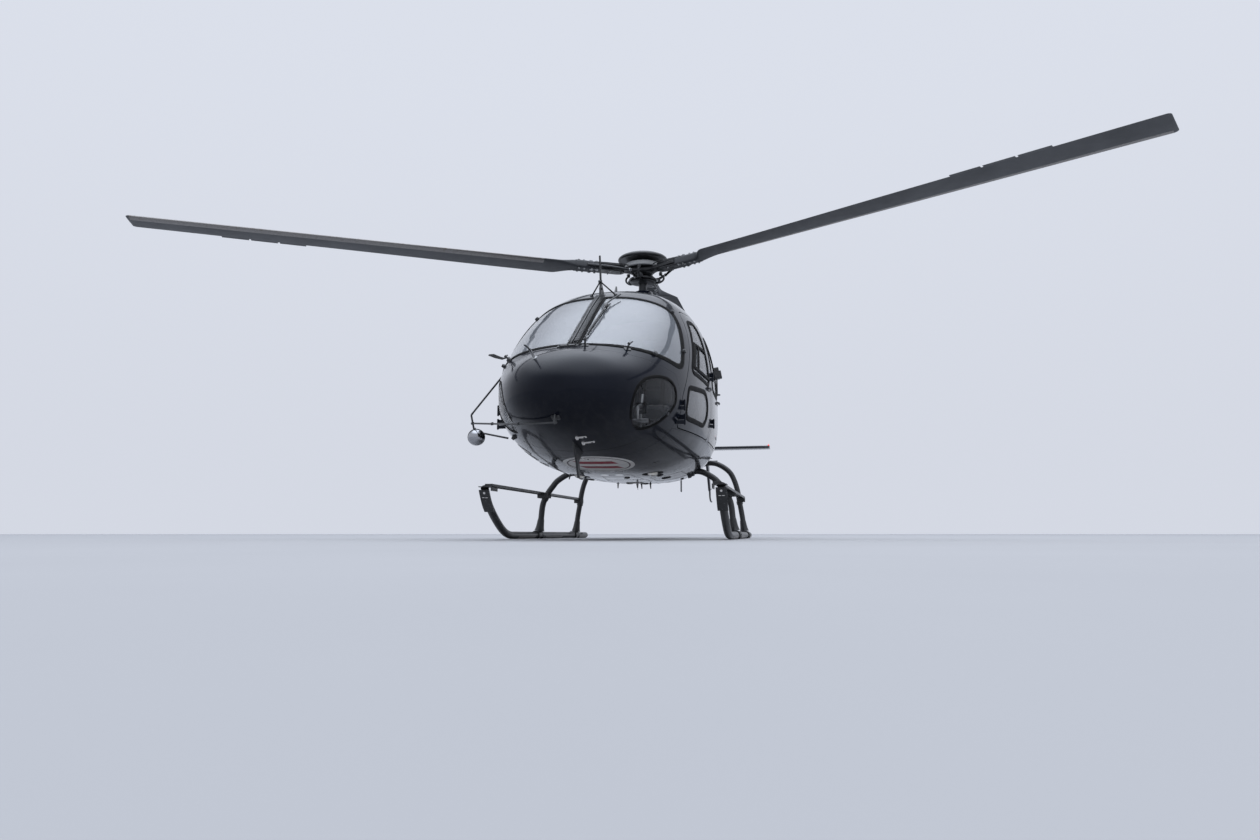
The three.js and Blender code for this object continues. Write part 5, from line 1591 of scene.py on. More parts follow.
print("engine, gearbox and exhaust")
gearboxTop = [(0.02, 2.42), (0.232, 2.42), (0.24, 2.44), (0.24, 2.56), (0.236, 2.6), (0.214, 2.64),
    (0.17, 2.672), (0.13, 2.7), (0.118, 2.712), (0.118, 2.722), (0.08, 2.73), (0.062, 2.742), (0.06, 2.756),
    (0.02, 2.757)]
finishPiece(clearOfHull(turned(gearboxTop, 64)), "mainGearbox", alloy, replaces="main_gearbox")
rib = lofted([[(0.118, s, 2.705), (0.2375, s, 2.6), (0.2375, s, 2.53), (0.2, s, 2.53)]
    for s in (-0.003, 0.003)])
ribsAndBolts = []
for a in allRound(12):
    ribsAndBolts.append(bolt((0.105 * cos(a), 0.105 * sin(a), 2.7225), (0, 0, 1), 0.0055, 0.006))
    ribsAndBolts.append(moved(rib, turn=Matrix.Rotation(a + 0.13, 3, "Z")))
piece("gearboxRibs", alloy, *ribsAndBolts)
engineProfile = [(0.02, 0.0), (0.1, 0.0), (0.118, 0.02), (0.12, 0.1), (0.15, 0.12), (0.154, 0.125),
    (0.154, 0.15), (0.128, 0.16), (0.125, 0.3), (0.15, 0.33), (0.154, 0.335), (0.154, 0.36), (0.14, 0.37),
    (0.138, 0.56), (0.152, 0.57), (0.154, 0.575), (0.154, 0.6), (0.13, 0.61), (0.122, 0.78), (0.14, 0.8),
    (0.146, 0.805), (0.146, 0.845), (0.13, 0.86), (0.02, 0.86)]
engineTurn = Matrix.Rotation(atan2(-0.04, 0.88), 3, "X")
engine = moved(turned(engineProfile, 56, "Y"), (0, 0.61, 2.4195), engineTurn)
finishPiece(clearOfHull(engine), "engineBlock", alloy, replaces="engine_block", slot="engine_metal")
pipeProfile = [(0.148, 0.0), (0.15, 0.03), (0.1475, 0.06), (0.1475, 0.35), (0.15, 0.37), (0.1475, 0.39),
    (0.1475, 0.7), (0.15, 0.76), (0.15, 0.772), (0.1415, 0.772), (0.139, 0.7), (0.139, 0.06), (0.14, 0.0),
    (0.148, 0.0)]
pipe = facing(turned(pipeProfile, 72), exhaustStart, exhaustAlong)
finishPiece(clearOfHull(pipe), "exhaustPipe", heated, replaces="exhaust_pipe", smooth=40)
coneShape = turned([(0.002, 0.0), (0.062, 0.0), (0.06, 0.09), (0.04, 0.2), (0.014, 0.27), (0.002, 0.28)], 40)
vanes = [moved(block(0.05, 0.1385, -0.002, 0.002, 0.0, 0.09), turn=Matrix.Rotation(a, 3, "Z"))
    for a in allRound(6)]
piece("exhaustCone", heated, facing(joined(coneShape, *vanes), exhaustStart + exhaustAlong * 0.05,
    exhaustAlong), smooth=40)

print("mirror, cutters and hinges")
elbow = smoothLine([(-0.975, -2.6985, 1.072), (-0.985, -2.7, 1.055), (-0.983, -2.7, 1.04),
    (-0.958, -2.7, 0.93), (-0.955, -2.7, 0.915)])
noseRodPlaces = [(-0.972, -2.7, 0.985), (-0.7, -2.95, 0.942), (-0.38, -3.23, 0.895), (-0.02, -3.432, 0.872)]
mirrorRods = [rod((-0.65, -2.68, 1.47), (-0.985, -2.7, 1.06), 0.008, 18),
    rod((-0.955, -2.7, 0.915), (-0.65, -2.7, 0.85), 0.008, 18), tube(elbow, 0.008, 18),
    tube(smoothLine(noseRodPlaces, 14), 0.0075, 18), rod((-0.03, -3.43, 0.87), (-0.03, -3.385, 0.985), 0.009,
    16)]
feet = []
footPlate = plate(0.035, 0.025, 0.01, 0.004)
footCone = turned([(0.001, 0), (0.02, 0), (0.018, 0.012), (0.013, 0.03), (0.001, 0.03)], 20)
for spot in (hullPoint(y=-2.68, z=1.47), hullPoint(y=-2.7, z=0.862), hullPoint(-0.03, -3.385, top=False)):
    spot.x = -abs(spot.x)
    normal = hullNormal(spot)
    feet.append(facing(footPlate, spot, normal))
    feet += [bolt(spot + normal * 0.004 + Vector((0, s, 0)), normal, 0.005, 0.004) for s in (-0.024, 0.024)]
    feet.append(facing(footCone, spot, normal))
sleeve = turned([(0.007, -0.012), (0.0125, -0.01), (0.0125, 0.01), (0.007, 0.012)], 20, "X")
feet += [moved(sleeve, at, Matrix.Rotation(radians(-40), 3, "Z")) for at in noseRodPlaces]
piece("mirrorRods", black, *mirrorRods, replaces="mirror_frame")
piece("mirrorFeet", black, *feet)
ballAt, ballSize = Vector((-0.935, -2.7, 0.865)), 0.07
chrome = Finish("convexMirror", 1.0)
convexMirror = chrome.done(chrome.blend(chrome.noise(9, 4), (0.42, 0.43, 0.45), (0.3, 0.3, 0.32)),
    chrome.noise(30, 4), 0.04, 0.14)
dome = [(ballSize * cos(t), ballSize * sin(t)) for t in np.linspace(-0.25, 1.5, 20)]
piece("mirrorGlass", convexMirror, facing(turned(dome, 48), ballAt, (0.28, -0.85, -0.4)), smooth=40)
shell = [(0.0715 * cos(t), 0.0715 * sin(t)) for t in np.linspace(-1.45, -0.2, 14)] + [(0.0735, -0.008),
    (0.0735, 0.004), (0.069, 0.006)]
stalk = rod((-0.945, -2.7, 0.905), (-0.952, -2.7, 0.945), 0.009, 14)
piece("mirrorBack", black, facing(turned(shell, 48), ballAt, (0.28, -0.85, -0.4)), stalk, smooth=40)

upperCutter = [(-2.17, 2.08), (-2.135, 2.23), (-2.115, 2.35), (-2.15, 2.59), (-2.132, 2.596), (-2.085, 2.36),
    (-1.94, 2.23)]
lowerCutter = [(-3.06, 0.85), (-2.9, 0.62), (-2.84, 0.5), (-2.8, 0.505), (-2.83, 0.64), (-2.64, 0.76)]
for outline, name, node in ((upperCutter, "upperCutter", "upper_wire_cutter"),
        (lowerCutter, "lowerCutter", "lower_wire_cutter")):
    cutter = clearOfHull(sidePrism(roundCorners(outline, 0.012), -0.0075, 0.0075), 0.0005)
    finishPiece(cutter, name, black, replaces=node, smooth=30, bevel=0.0025)

# x and y of each upright pin, the heights of its hinges and the reach of their leaves
hinges = {"front": (0.823, -2.49, (0.995, 1.115), 0.08), "rear": (0.948, -1.35, (1.1, 1.56), 0.045)}


def hingeLeaf(x, y, reach, z0, z1, way):
    # a knuckle and its bent leaf, ahead of the pin or behind it
    outline = [(-reach, way * 0.007), (-0.024, way * 0.007), (-0.007, way * 0.001), (0.004, way * 0.003),
        (0.004, way * 0.006), (-0.005, way * 0.0095), (-0.022, way * 0.0155), (-reach, way * 0.0155)]
    leaf = moved(slab([(x + a, y + b) for a, b in outline], z1 - z0 - 0.008), (0, 0, z0 + 0.004))
    barrel = moved(turned([(0.003, 0), (0.0088, 0), (0.0088, z1 - z0), (0.003, z1 - z0), (0.003, 0)], 24),
        (x, y, z0))
    return joined(leaf, barrel)


for name, (x, y, heights, reach) in hinges.items():
    fixed, hung = [], []
    for z in heights:
        fixed.append(hingeLeaf(x, y, reach, z - 0.04, z - 0.0006, -1))
        hung.append(hingeLeaf(x, y, reach, z + 0.0006, z + 0.05, 1))
        fixed.append(rod((x, y, z - 0.045), (x, y, z + 0.054), 0.0028, 14))
    pair(f"{name}HingeFixed", navy, *fixed)
    pair(f"{name}HingeHung", navy, *hung, body=f"{name}_door")
pinStart, pinEnd = Vector((0.832, -0.11, 1.79)), Vector((0.681, 0.8, 1.79))


def pinPart(middle, a, b, leaf):
    # a knuckle between two shares of the baggage door's pin; leaf gives its leaf's outline at a place
    ends = [pinStart.lerp(pinEnd, middle + share) for share in (a, b)]
    return joined(rod(*ends, 0.0088, 20), lofted([leaf(end) for end in ends]))


def fixedLeaf(end):
    return [end + Vector((x, 0, z)) for x, z in ((-0.03, 0.002), (0, 0.002), (-0.004, 0.02), (-0.03, 0.024))]


def hungLeaf(end):
    low = hullPoint(y=end.y, z=1.757, lift=0.0022)
    return [end + Vector((-0.006, 0, -0.006)), end + Vector((0.006, 0, -0.004)),
        low + Vector((0.003, 0, -0.02)), low + Vector((-0.003, 0, -0.02))]


fixed = [pinPart(middle, a, b, fixedLeaf) for middle in (0.25, 0.75)
    for a, b in ((-0.07, -0.0306), (0.0306, 0.07))]
hung = [pinPart(middle, -0.03, 0.03, hungLeaf) for middle in (0.25, 0.75)]
pair("baggageHingeFixed", navy, *fixed)
pair("baggageHingeHung", navy, *hung, body="baggage_door")

print("paint marks, lights and fittings")
whitePaint = plainFinish("whitePaint", (0.62, 0.6, 0.58), (0.74, 0.73, 0.71))
redPaint = plainFinish("redPaint", (0.23, 0.014, 0.022), (0.3, 0.022, 0.03))
darkRing = plainFinish("darkRing", (0.03, 0.012, 0.014), (0.045, 0.02, 0.022))
redLens = plainFinish("redLens", (0.6, 0.02, 0.01), (0.75, 0.03, 0.02), (0.08, 0.16), Coat_Weight=1.0,
    Emission_Color=(1, 0.06, 0.03, 1), Emission_Strength=0.6)
greenLens = plainFinish("greenLens", (0.01, 0.3, 0.12), (0.02, 0.42, 0.17), (0.08, 0.16), Coat_Weight=1.0,
    Emission_Color=(0.05, 1, 0.4, 1), Emission_Strength=0.25)
lampLens = plainFinish("lampLens", (0.6, 0.61, 0.62), (0.8, 0.8, 0.79), (0.05, 0.12), scale=40.0,
    Coat_Weight=1.0, Emission_Color=(1, 0.97, 0.9, 1), Emission_Strength=0.15)
mirrorMetal = plainFinish("mirrorMetal", (0.75, 0.76, 0.77), (0.6, 0.61, 0.62), (0.08, 0.2), metallic=1.0)
# near black: the lamp wells' own colour, and painted shade in the cowling's openings
wellBlackAndOpeningShade = plainFinish("wellBlackAndOpeningShade", (0.004, 0.004, 0.0045), (0.01, 0.01, 0.011), (0.6, 0.8))


def raised(surface, a, b, height):
    at, normal = surface(a, b)
    return at + normal * height


def wrapped(shape, surface):
    # lays a shape onto a surface: its first two values are a place there, the third its height above it
    return [raised(surface, *p) for p in shape[0]], shape[1]


def withNormal(point):
    return point, hullNormal(point)


def bellyAt(x, y):
    return withNormal(hullPoint(x, y, top=False))


def roofAt(x, y):
    return withNormal(hullPoint(x, y))


def sideAt(y, z):
    return withNormal(hullPoint(y=y, z=z))


def ribbon(line, width, height, low=-0.0005, closed=False):
    # a thin flat band along a line of (a, b) places, to be wrapped
    points = [Vector(p) for p in line]
    count = len(points)
    rings = []
    for i, p in enumerate(points):
        before = points[i - 1] if closed or i else p
        after = points[(i + 1) % count] if closed or i < count - 1 else p
        along = (after - before).normalized()
        across = Vector((-along.y, along.x)) * (width / 2)
        rings.append([(p.x - across.x, p.y - across.y, low), (p.x - across.x * 0.8, p.y - across.y * 0.8,
            height), (p.x + across.x * 0.8, p.y + across.y * 0.8, height),
            (p.x + across.x, p.y + across.y, low)])
    return lofted(rings + [rings[0]], caps=False) if closed else lofted(rings)


def flatEvenly(outline, spacing, closed=True):
    points = [Vector((a, b, 0)) for a, b in outline]
    line = evenly(points + [points[0]], spacing)[:-1] if closed else evenly(points, spacing)
    return [(p.x, p.y) for p in line]


def rivetLine(line, surface, spacing=0.03, radius=0.0028, closed=False):
    return rivets([surface(a, b) for a, b in flatEvenly(line, spacing, closed)], radius)


def seam(outline, radius, surface, width=0.0032, height=0.0006, spacing=0.02):
    # a joint line round an outline with rounded corners
    line = flatEvenly(roundCorners(outline, radius), spacing)
    return wrapped(ribbon(line, width, height, closed=True), surface)


def screwRing(outline, inset, radius, surface, spacing, size):
    return rivetLine(roundCorners(grow(outline, -inset), radius), surface, spacing, size, closed=True)


def gridFaces(rows, columns):
    # the faces of a sheet of points, given row by row
    return [(k, k + 1, k + columns + 1, k + columns) for k in (i * columns + j for i in range(rows - 1)
        for j in range(columns - 1))]


def patchDisc(centre, halfA, halfB, rings, height, surface, sides=72, start=0.0):
    # an oval sheet laid on a surface, from a share of its size to the full size
    shares = [start + (1 - start) * i / rings for i in range(rings + 1)]
    points, faces = lofted([[(centre[0] + share * halfA * a, centre[1] + share * halfB * b, height)
        for a, b in circle(1, sides)] for share in shares], caps=False)
    if not start:
        faces = faces[sides:] + [(0, sides + j, sides + (j + 1) % sides) for j in range(sides)]
        points[1:sides] = [points[0]] * (sides - 1)
    return wrapped((points, faces), surface)


def sheet(corners, height, surface, steps=10):
    # a four-cornered sheet laid on a surface
    a, b, c, d = (Vector(p) for p in corners)
    shares = [i / steps for i in range(steps + 1)]
    points = [(*a.lerp(b, s).lerp(d.lerp(c, s), t), height) for t in shares for s in shares]
    return wrapped((points, gridFaces(steps + 1, steps + 1)), surface)


# emblem under the nose
badge = {"middle": (0.018, -2.21), "half": (0.315, 0.37)}
bx, by = badge["middle"]
ba, bb = badge["half"]
piece("emblemField", whitePaint, patchDisc(badge["middle"], ba, bb, 10, 0.0007, bellyAt), smooth=60)
piece("emblemRing", darkRing, patchDisc(badge["middle"], ba * 0.885, bb * 0.885, 1, 0.0012, bellyAt,
    start=0.955), smooth=60)
bars = [sheet([(bx - 0.19, by + s - 0.075), (bx + 0.15, by + s - 0.045), (bx + 0.19, by + s + 0.075),
    (bx - 0.15, by + s + 0.045)], 0.0012, bellyAt) for s in (-0.115, 0.115)]
piece("emblemBars", redPaint, *bars, smooth=60)

# lights under the floor
bowls, chromes, lenses = [], [], []
for x, y in fuselage["lamps"]:
    at, normal = bellyAt(x, y)
    rim = patchDisc((x, y), 0.104, 0.104, 1, 0.0022, bellyAt, 48, start=0.84)
    bowl = [(0.001, -0.075), (0.05, -0.07), (0.075, -0.045), (0.084, -0.012), (0.087, 0.0005), (0.09, 0.0005),
        (0.09, -0.014), (0.08, -0.05), (0.053, -0.078), (0.001, -0.083)]
    bowls += [rim, facing(turned(bowl, 48), at, normal)]
    tilt = Matrix.Rotation(radians(-32), 3, "X")
    can = turned([(0.001, -0.03), (0.03, -0.028), (0.048, -0.008), (0.052, 0.012), (0.055, 0.016),
        (0.055, 0.02), (0.049, 0.02), (0.046, 0.008), (0.03, -0.008), (0.001, -0.012)], 40)
    lens = turned([(0.001, 0.0), (0.046, 0.004), (0.047, 0.012), (0.03, 0.0165), (0.001, 0.018)], 40)
    low = Vector((x, y, at.z + 0.022))
    flip = tilt @ Matrix.Rotation(pi, 3, "X")
    chromes.append(moved(can, low, flip))
    lenses.append(moved(lens, low, flip))
    for s in (-1, 1):
        chromes += [moved(block(s * 0.058 - 0.002, s * 0.058 + 0.002, -0.012, 0.012, -0.012, 0.035), low),
            bolt(low + Vector((s * 0.06, 0, 0.004)), (s, 0, 0), 0.006, 0.004)]
    chromes.append(moved(block(-0.058, 0.058, -0.012, 0.012, 0.031, 0.035), low))
for x, y in ((-0.079, -1.59), (0.066, -1.585)):
    outline = rectangle(x - 0.034, x + 0.034, y - 0.048, y + 0.048)
    chromes.append(seam(outline, 0.02, bellyAt, 0.01, 0.004, 0.008))
    lenses.append(patchDisc((x, y), 0.029, 0.043, 5, 0.0032, bellyAt, 32))
piece("lampWells", wellBlackAndOpeningShade, *bowls, smooth=40)
piece("lampCans", mirrorMetal, *chromes, smooth=40)
piece("lampLenses", lampLens, *lenses, smooth=40)

# belly hatches, plate, hook pad and drains
seams, screws, darks, pales = [], [], [], []
for outline, radius in (([(-0.12, -1.535), (0.175, -1.575), (0.205, -1.0), (-0.19, -1.0)], 0.035),
        (rectangle(-0.21, 0.21, -0.93, -0.6), 0.03), (rectangle(-0.6, -0.28, -1.15, -0.62), 0.03),
        (rectangle(0.28, 0.6, -1.15, -0.62), 0.03), ([(-0.2, -0.3), (0.2, -0.3), (0.18, 0.35), (-0.18, 0.35)],
        0.03), ([(-0.16, 0.45), (0.16, 0.45), (0.12, 0.88), (-0.12, 0.88)], 0.03)):
    seams.append(seam(outline, radius, bellyAt))
    screws.append(screwRing(outline, 0.012, radius, bellyAt, 0.09, 0.0042))
for side in (-1, 1):
    for x0, x1, y0, y1 in ((0.47, 0.515, -2.03, -1.99), (0.3, 0.345, -0.2, -0.16), (0.24, 0.27, 0.5, 0.53)):
        darks.append(patchDisc((side * (x0 + x1) / 2, (y0 + y1) / 2), 0.028, 0.02, 2, 0.0025, bellyAt, 24))
for x, y, a, b in ((0.411, -1.29, 0.034, 0.02), (0.409, -0.9, 0.05, 0.028), (-0.415, -0.8, 0.045, 0.03),
        (0.078, -1.28, 0.03, 0.015), (-0.083, -0.35, 0.04, 0.012), (0.061, -0.18, 0.036, 0.012),
        (0.494, -0.33, 0.02, 0.02)):
    cup = turned([(0.001, 0), (1.0, 0), (0.9, 0.35), (0.7, 0.5), (0.001, 0.6)], 28)
    darks.append(wrapped(([(x + p.x * a, y + p.y * b, 0.02 * p.z) for p in cup[0]], cup[1]), bellyAt))
for x, y in ((-0.293, 0.0), (-0.032, 0.066), (0.073, 0.053), (-0.602, -0.917)):
    at, normal = bellyAt(x, y)
    drop = normal * 0.055 + Vector((0, 0.02, 0))
    darks += [tube([at - normal * 0.004, at + drop * 0.4, at + drop], [0.009, 0.008, 0.0055], 14),
        facing(turned([(0.001, 0), (0.02, 0), (0.018, 0.004), (0.009, 0.007), (0.001, 0.007)], 20), at,
        normal)]
padLow = 0.5975
darks.append(block(-0.088, 0.088, -0.532, -0.388, padLow + 0.0012, padLow + 0.018))
pales.append(moved(slab(roundCorners(rectangle(-0.08, 0.08, -0.52, -0.4), 0.008), 0.0025),
    (0, 0, padLow - 0.0013)))
for x in (-0.072, 0.072):
    for y in (-0.512, -0.46, -0.408):
        screws.append(bolt((x, y, padLow - 0.0012), (0, 0, -1), 0.004, 0.0025))
screws.append(rivetLine([(-0.55, -2.495), (0.55, -2.495)], bellyAt, 0.05, 0.0034))
seams.append(wrapped(ribbon([(x, -2.75) for x in np.linspace(-0.5, 0.5, 24)], 0.0032, 0.0006), bellyAt))

# panel joints, rivets and screws along the frame's own edges
sideSeams = [rivetLine([(y0, 0.913), (y1, 0.913)], sideAt, 0.045) for y0, y1 in ((-2.36, -1.46),
    (-1.31, -0.62))]
for y0, z0, y1, z1 in ((-0.155, 0.75, -0.155, 2.2), (-0.235, 0.75, -0.235, 0.9), (1.055, 1.1, 1.055, 2.1),
        (1.125, 1.12, 1.125, 2.1), (2.16, 1.4, 2.16, 1.9), (0.02, 1.92, 1.05, 1.87), (0.87, 1.06, 0.87, 1.78),
        (-0.13, 0.86, 0.98, 0.99)):
    sideSeams.append(rivetLine([(y0, z0), (y1, z1)], sideAt, 0.034))
rearHatch = [(1.25, 1.35), (1.85, 1.42), (1.85, 1.72), (1.25, 1.72)]
sideSeams += [seam(rearHatch, 0.03, sideAt), screwRing(rearHatch, 0.012, 0.03, sideAt, 0.075, 0.0042)]
piece("sideRivets", navy, bothSides(joined(*sideSeams)), smooth=30)
noseLine = [(y, 1.586 + (1.36 - 1.586) * (y + 3.6)) for y in np.linspace(-3.2, -2.66, 20)]
sideScrews = [rivetLine([(y, z - 0.022) for y, z in noseLine], sideAt, 0.05, 0.0036),
    rivetLine([(-2.5, 1.15), (-2.5, 0.98)], sideAt, 0.05, 0.0036)]
piece("noseScrews", black, bothSides(joined(*sideScrews)), slot="navy_paint", smooth=30)

# small light-metal brackets under the nose
for x, y, length in ((0.117, -2.97, 0.1), (0.089, -3.09, 0.085), (-0.023, -2.5, 0.06)):
    at, normal = bellyAt(x, y)
    pales += [wrapped(block(x - length / 2, x + length / 2, y - 0.011, y + 0.011, -0.001, 0.006), bellyAt),
        wrapped(block(x - length / 2, x - length / 2 + 0.018, y - 0.02, y + 0.02, -0.001, 0.014), bellyAt)]
    screws.append(bolt(bellyAt(x + length * 0.3, y)[0] + normal * 0.006, normal, 0.005, 0.003))
# three pale oval lamps low on the right side
for y, x, a, b in ((-2.3, -0.64, 0.05, 0.075), (-2.05, -0.66, 0.055, 0.1), (-1.84, -0.6, 0.035, 0.06)):
    pales.append(patchDisc((x, y), a, b, 5, 0.0022, bellyAt, 32))
    darks.append(patchDisc((x, y), a * 1.2, b * 1.16, 1, 0.0035, bellyAt, 32, start=0.84))
piece("bellySeams", rubber, *seams, slot="navy_paint", smooth=30)
piece("bellyScrews", metal, *screws, smooth=30)
piece("bellyFittings", black, *darks, smooth=40)
piece("paleFittings", whitePaint, *pales, smooth=30)

print("windscreen fittings")
post, teeth, wiper = [], [], []
postLine = [roofAt(0.0, y) for y in np.linspace(-3.02, -2.06, 40)]
strip = [(-0.034, 0.0008), (-0.03, 0.0075), (-0.012, 0.012), (0.012, 0.012), (0.03, 0.0075), (0.034, 0.0008)]
rail = [(0.007, 0.01), (0.007, 0.026), (0.011, 0.026), (0.011, 0.01)]


def swept(places, section):
    # a section of (across, height) carried along (point, normal) places
    return lofted([[p + Vector((x, 0, 0)) + n * h for x, h in section] for p, n in places])


post.append(swept(postLine, strip))
for side in (-1, 1):
    post.append(swept(postLine, [(side * x, h) for x, h in rail]))
    for s in np.linspace(0.02, 0.98, 46):
        index = s * (len(postLine) - 1)
        i = min(int(index), len(postLine) - 2)
        (here, normal), (after, _) = postLine[i:i + 2]
        p, along = here.lerp(after, index - i), (after - here).normalized()
        base = [p + Vector((side * x, 0, 0)) + along * b for x, b in ((0.011, -0.0085), (0.011, 0.0085),
            (0.046, 0.003), (0.046, -0.001))]
        teeth.append(lofted([[q + normal * h for q in base] for h in (0.0215, 0.0245)]))
footNormal = roofAt(-0.03, -3.075)[1]
for lift, half, deep in ((0.0, 0.085, 0.03), (0.006, 0.07, 0.02)):
    points, faces = plate(half, deep, 0.012, 0.007)
    post.append(wrapped(([(x - 0.03, y - 3.075, h + lift) for x, y, h in points], faces), roofAt))
for x in (-0.095, -0.03, 0.035):
    post.append(bolt(roofAt(x, -3.075)[0] + footNormal * 0.013, footNormal, 0.006, 0.004))
wiperArm = [roofAt(0.19, -2.1)[0] + Vector((0, -0.02, 0.03))] + [raised(roofAt, *place)
    for place in ((0.12, -2.3, 0.03), (0.11, -2.5, 0.026), (0.09, -2.75, 0.022), (0.075, -2.93, 0.014))]
wiper.append(tube(smoothLine(wiperArm, 10), 0.0075, 12))
motor = turned([(0.001, -0.045), (0.012, -0.04), (0.019, -0.015), (0.019, 0.015), (0.012, 0.04),
    (0.001, 0.045)], 20)
wiper.append(facing(motor, raised(roofAt, 0.115, -2.36, 0.024), roofAt(0.11, -2.5)[0]
    - roofAt(0.13, -2.25)[0]))
wiperLine = [roofAt(0.135 - 0.05 * s, -2.28 - 0.6 * s) for s in np.linspace(0, 1, 16)]
wiper.append(swept(wiperLine, [(-0.004, 0.0045), (-0.006, 0.013), (0.006, 0.013), (0.004, 0.0045)]))
for x, y in ((0.11, -3.07), (0.43, -2.96), (-0.6, -2.82)):
    at, normal = roofAt(x, y)
    stem = [at + normal * 0.003, at + normal * 0.05 + Vector((0, 0.01, 0)),
        at + normal * 0.07 + Vector((0.012, 0.05, 0.01))]
    knob = turned([(0.001, 0), (0.013, 0), (0.013, 0.012), (0.009, 0.018), (0.001, 0.018)], 20)
    wiper += [facing(plate(0.028, 0.02, 0.008, 0.005), at, normal), tube(smoothLine(stem, 5),
        [0.008] * 6 + [0.006] * 5, 12), facing(knob, at + normal * 0.045, normal)]
fin = [(0, 0), (0.05, 0.012), (0.11, 0.035), (0.15, 0.03), (0.155, 0.02), (0.1, 0.0), (0.04, -0.012)]
finAt = roofAt(-0.62, -2.8)[0] + Vector((-0.02, 0.0, 0.03))
wiper.append(moved(slab(fin, 0.006), finAt, Matrix.Rotation(radians(200), 3,
    "Z") @ Matrix.Rotation(radians(90), 3, "X")))
piece("centrePost", black, *post)
piece("cutterTeeth", black, *teeth, smooth=0)
piece("wiperAndBrackets", black, *wiper, smooth=40)

# the dark strip up the windscreen's side edge, with its knobs
onSide = [p.x > 0.6 and p.z > 1.36 for p in screenRim]
first = next(i for i in range(len(screenRim)) if onSide[i] and not onSide[i - 1])
span = [withNormal(screenRim[(first + k) % len(screenRim)]) for k in range(sum(onSide))]


def bandAlong(places, section):
    # a section of (across, height) swept along (point, normal) places, square to the line
    rings = []
    for i, (p, n) in enumerate(places):
        along = places[min(i + 1, len(places) - 1)][0] - places[max(i - 1, 0)][0]
        across = along.normalized().cross(n).normalized()
        rings.append([p + across * a + n * h for a, h in section])
    return lofted(rings)


trim = [bandAlong(span, [(-0.02, 0.0), (-0.016, 0.008), (0.016, 0.008), (0.02, 0.0)])]
knob = turned([(0.001, 0), (0.02, 0), (0.021, 0.012), (0.016, 0.022), (0.001, 0.024)], 24)
for share in (0.02, 0.5, 0.97):
    p, n = span[int(share * (len(span) - 1))]
    trim.append(facing(knob, p + n * 0.006, n))
piece("pillarTrim", black, bothSides(joined(*trim)), smooth=40)

# legs and cross rods of the upper cutter
cutterApex = Vector((0, -2.118, 2.352))
legs = []
for x, y in ((-0.115, -1.98), (0.115, -1.98)):
    at, normal = roofAt(x, y)
    legs += [tube([at, at.lerp(cutterApex, 0.5), cutterApex], [0.0075, 0.0065, 0.0065], 14),
        facing(turned([(0.001, 0), (0.018, 0), (0.016, 0.006), (0.009, 0.012), (0.001, 0.012)], 20), at,
        normal)]
legs += [rod(cutterApex + Vector((-0.016, 0, 0)), cutterApex + Vector((0.016, 0, 0)), 0.013, 18),
    rod((-0.016, -2.09, 2.29), (0.016, -2.09, 2.29), 0.011, 18)]
piece("cutterLegs", black, *legs, smooth=40)

# sliding vent of the front doors, handles and steps
vent = []
for line, width in (([(-1.515, 1.768), (-1.66, 1.768), (-1.8, 1.768), (-1.945, 1.768)], 0.014),
        ([(-1.515, 1.512), (-1.72, 1.506), (-1.93, 1.508), (-2.14, 1.516)], 0.014),
        ([(-1.932, 1.765), (-1.99, 1.69), (-2.06, 1.6), (-2.12, 1.515)], 0.025),
        ([(-1.82, 1.765), (-1.87, 1.69), (-1.93, 1.6), (-1.985, 1.51)], 0.013)):
    fine = smoothLine([raised(sideAt, y, z, 0.006) for y, z in line], 5)
    section = [(-width, -0.006), (-width * 0.9, 0.002), (width * 0.9, 0.002), (width, -0.006)]
    vent.append(bandAlong([withNormal(p) for p in fine], section))
pair("slidingVent", rubber, *vent, body="front_door", slot="black_paint")


def doorHandle(y, z, length=0.11):
    # a flush cup with its lever and lock
    points, faces = turned([(0.001, 0.0), (1.0, 0.0), (0.97, 0.003), (0.8, 0.0035), (0.001, 0.0025)], 36)
    cup = wrapped(([(a * length * 0.62 + y, b * 0.026 + z, h) for a, b, h in points], faces), sideAt)
    normal = sideAt(y, z)[1]
    lever = smoothLine([sideAt(at, z)[0] + normal * lift for at, lift in ((y - length / 2, 0.004),
        (y - length / 2 + 0.015, 0.02), (y, 0.024), (y + length / 2, 0.02))], 5)
    lock = turned([(0.001, 0), (0.012, 0), (0.012, 0.003), (0.001, 0.004)], 24)
    radii = [0.011, 0.012] + [0.0095] * (len(lever) - 3) + [0.007]
    return joined(cup, tube(lever, radii, 14), facing(lock, sideAt(y + 0.1, z)[0], normal))


pair("frontDoorHandle", black, doorHandle(-1.56, 1.41), body="front_door", smooth=40)
pair("rearDoorHandle", black, doorHandle(-0.72, 1.4), body="rear_door", smooth=40)
latch = joined(plate(0.026, 0.017, 0.005, 0.003), moved(turned([(0.001, 0), (0.011, 0), (0.01, 0.003),
    (0.001, 0.003)], 24), (0, 0, 0.003)))
pair("baggageLatches", metal, *[facing(latch, *sideAt(y, 1.075)) for y in (0.08, 0.62)], body="baggage_door")

# the box with a drop rod and foot plate on the left side, between the rear door and the baggage door
at, normal = sideAt(-0.19, 1.815)
low = at + normal * 0.05
foot = low + Vector((0.002, 0, -0.237))
dropRods = [tube([low + Vector((0, s, -0.05)), low + Vector((0.002, s, -0.235))], 0.0065, 12)
    for s in (-0.018, 0.018)]
footPlate = turned([(0.001, 0), (0.034, 0), (0.036, -0.004), (0.034, -0.011), (0.001, -0.011)], 32)
piece("dropStep", black, facing(plate(0.05, 0.065, 0.02, 0.075), at, normal),
    facing(plate(0.035, 0.045, 0.015, 0.1), at + Vector((0, 0, -0.02)), normal), *dropRods,
    moved(footPlate, foot), tube([foot + Vector((0, 0, -0.006)), sideAt(-0.19, 1.53)[0]], 0.007, 12),
    smooth=40)

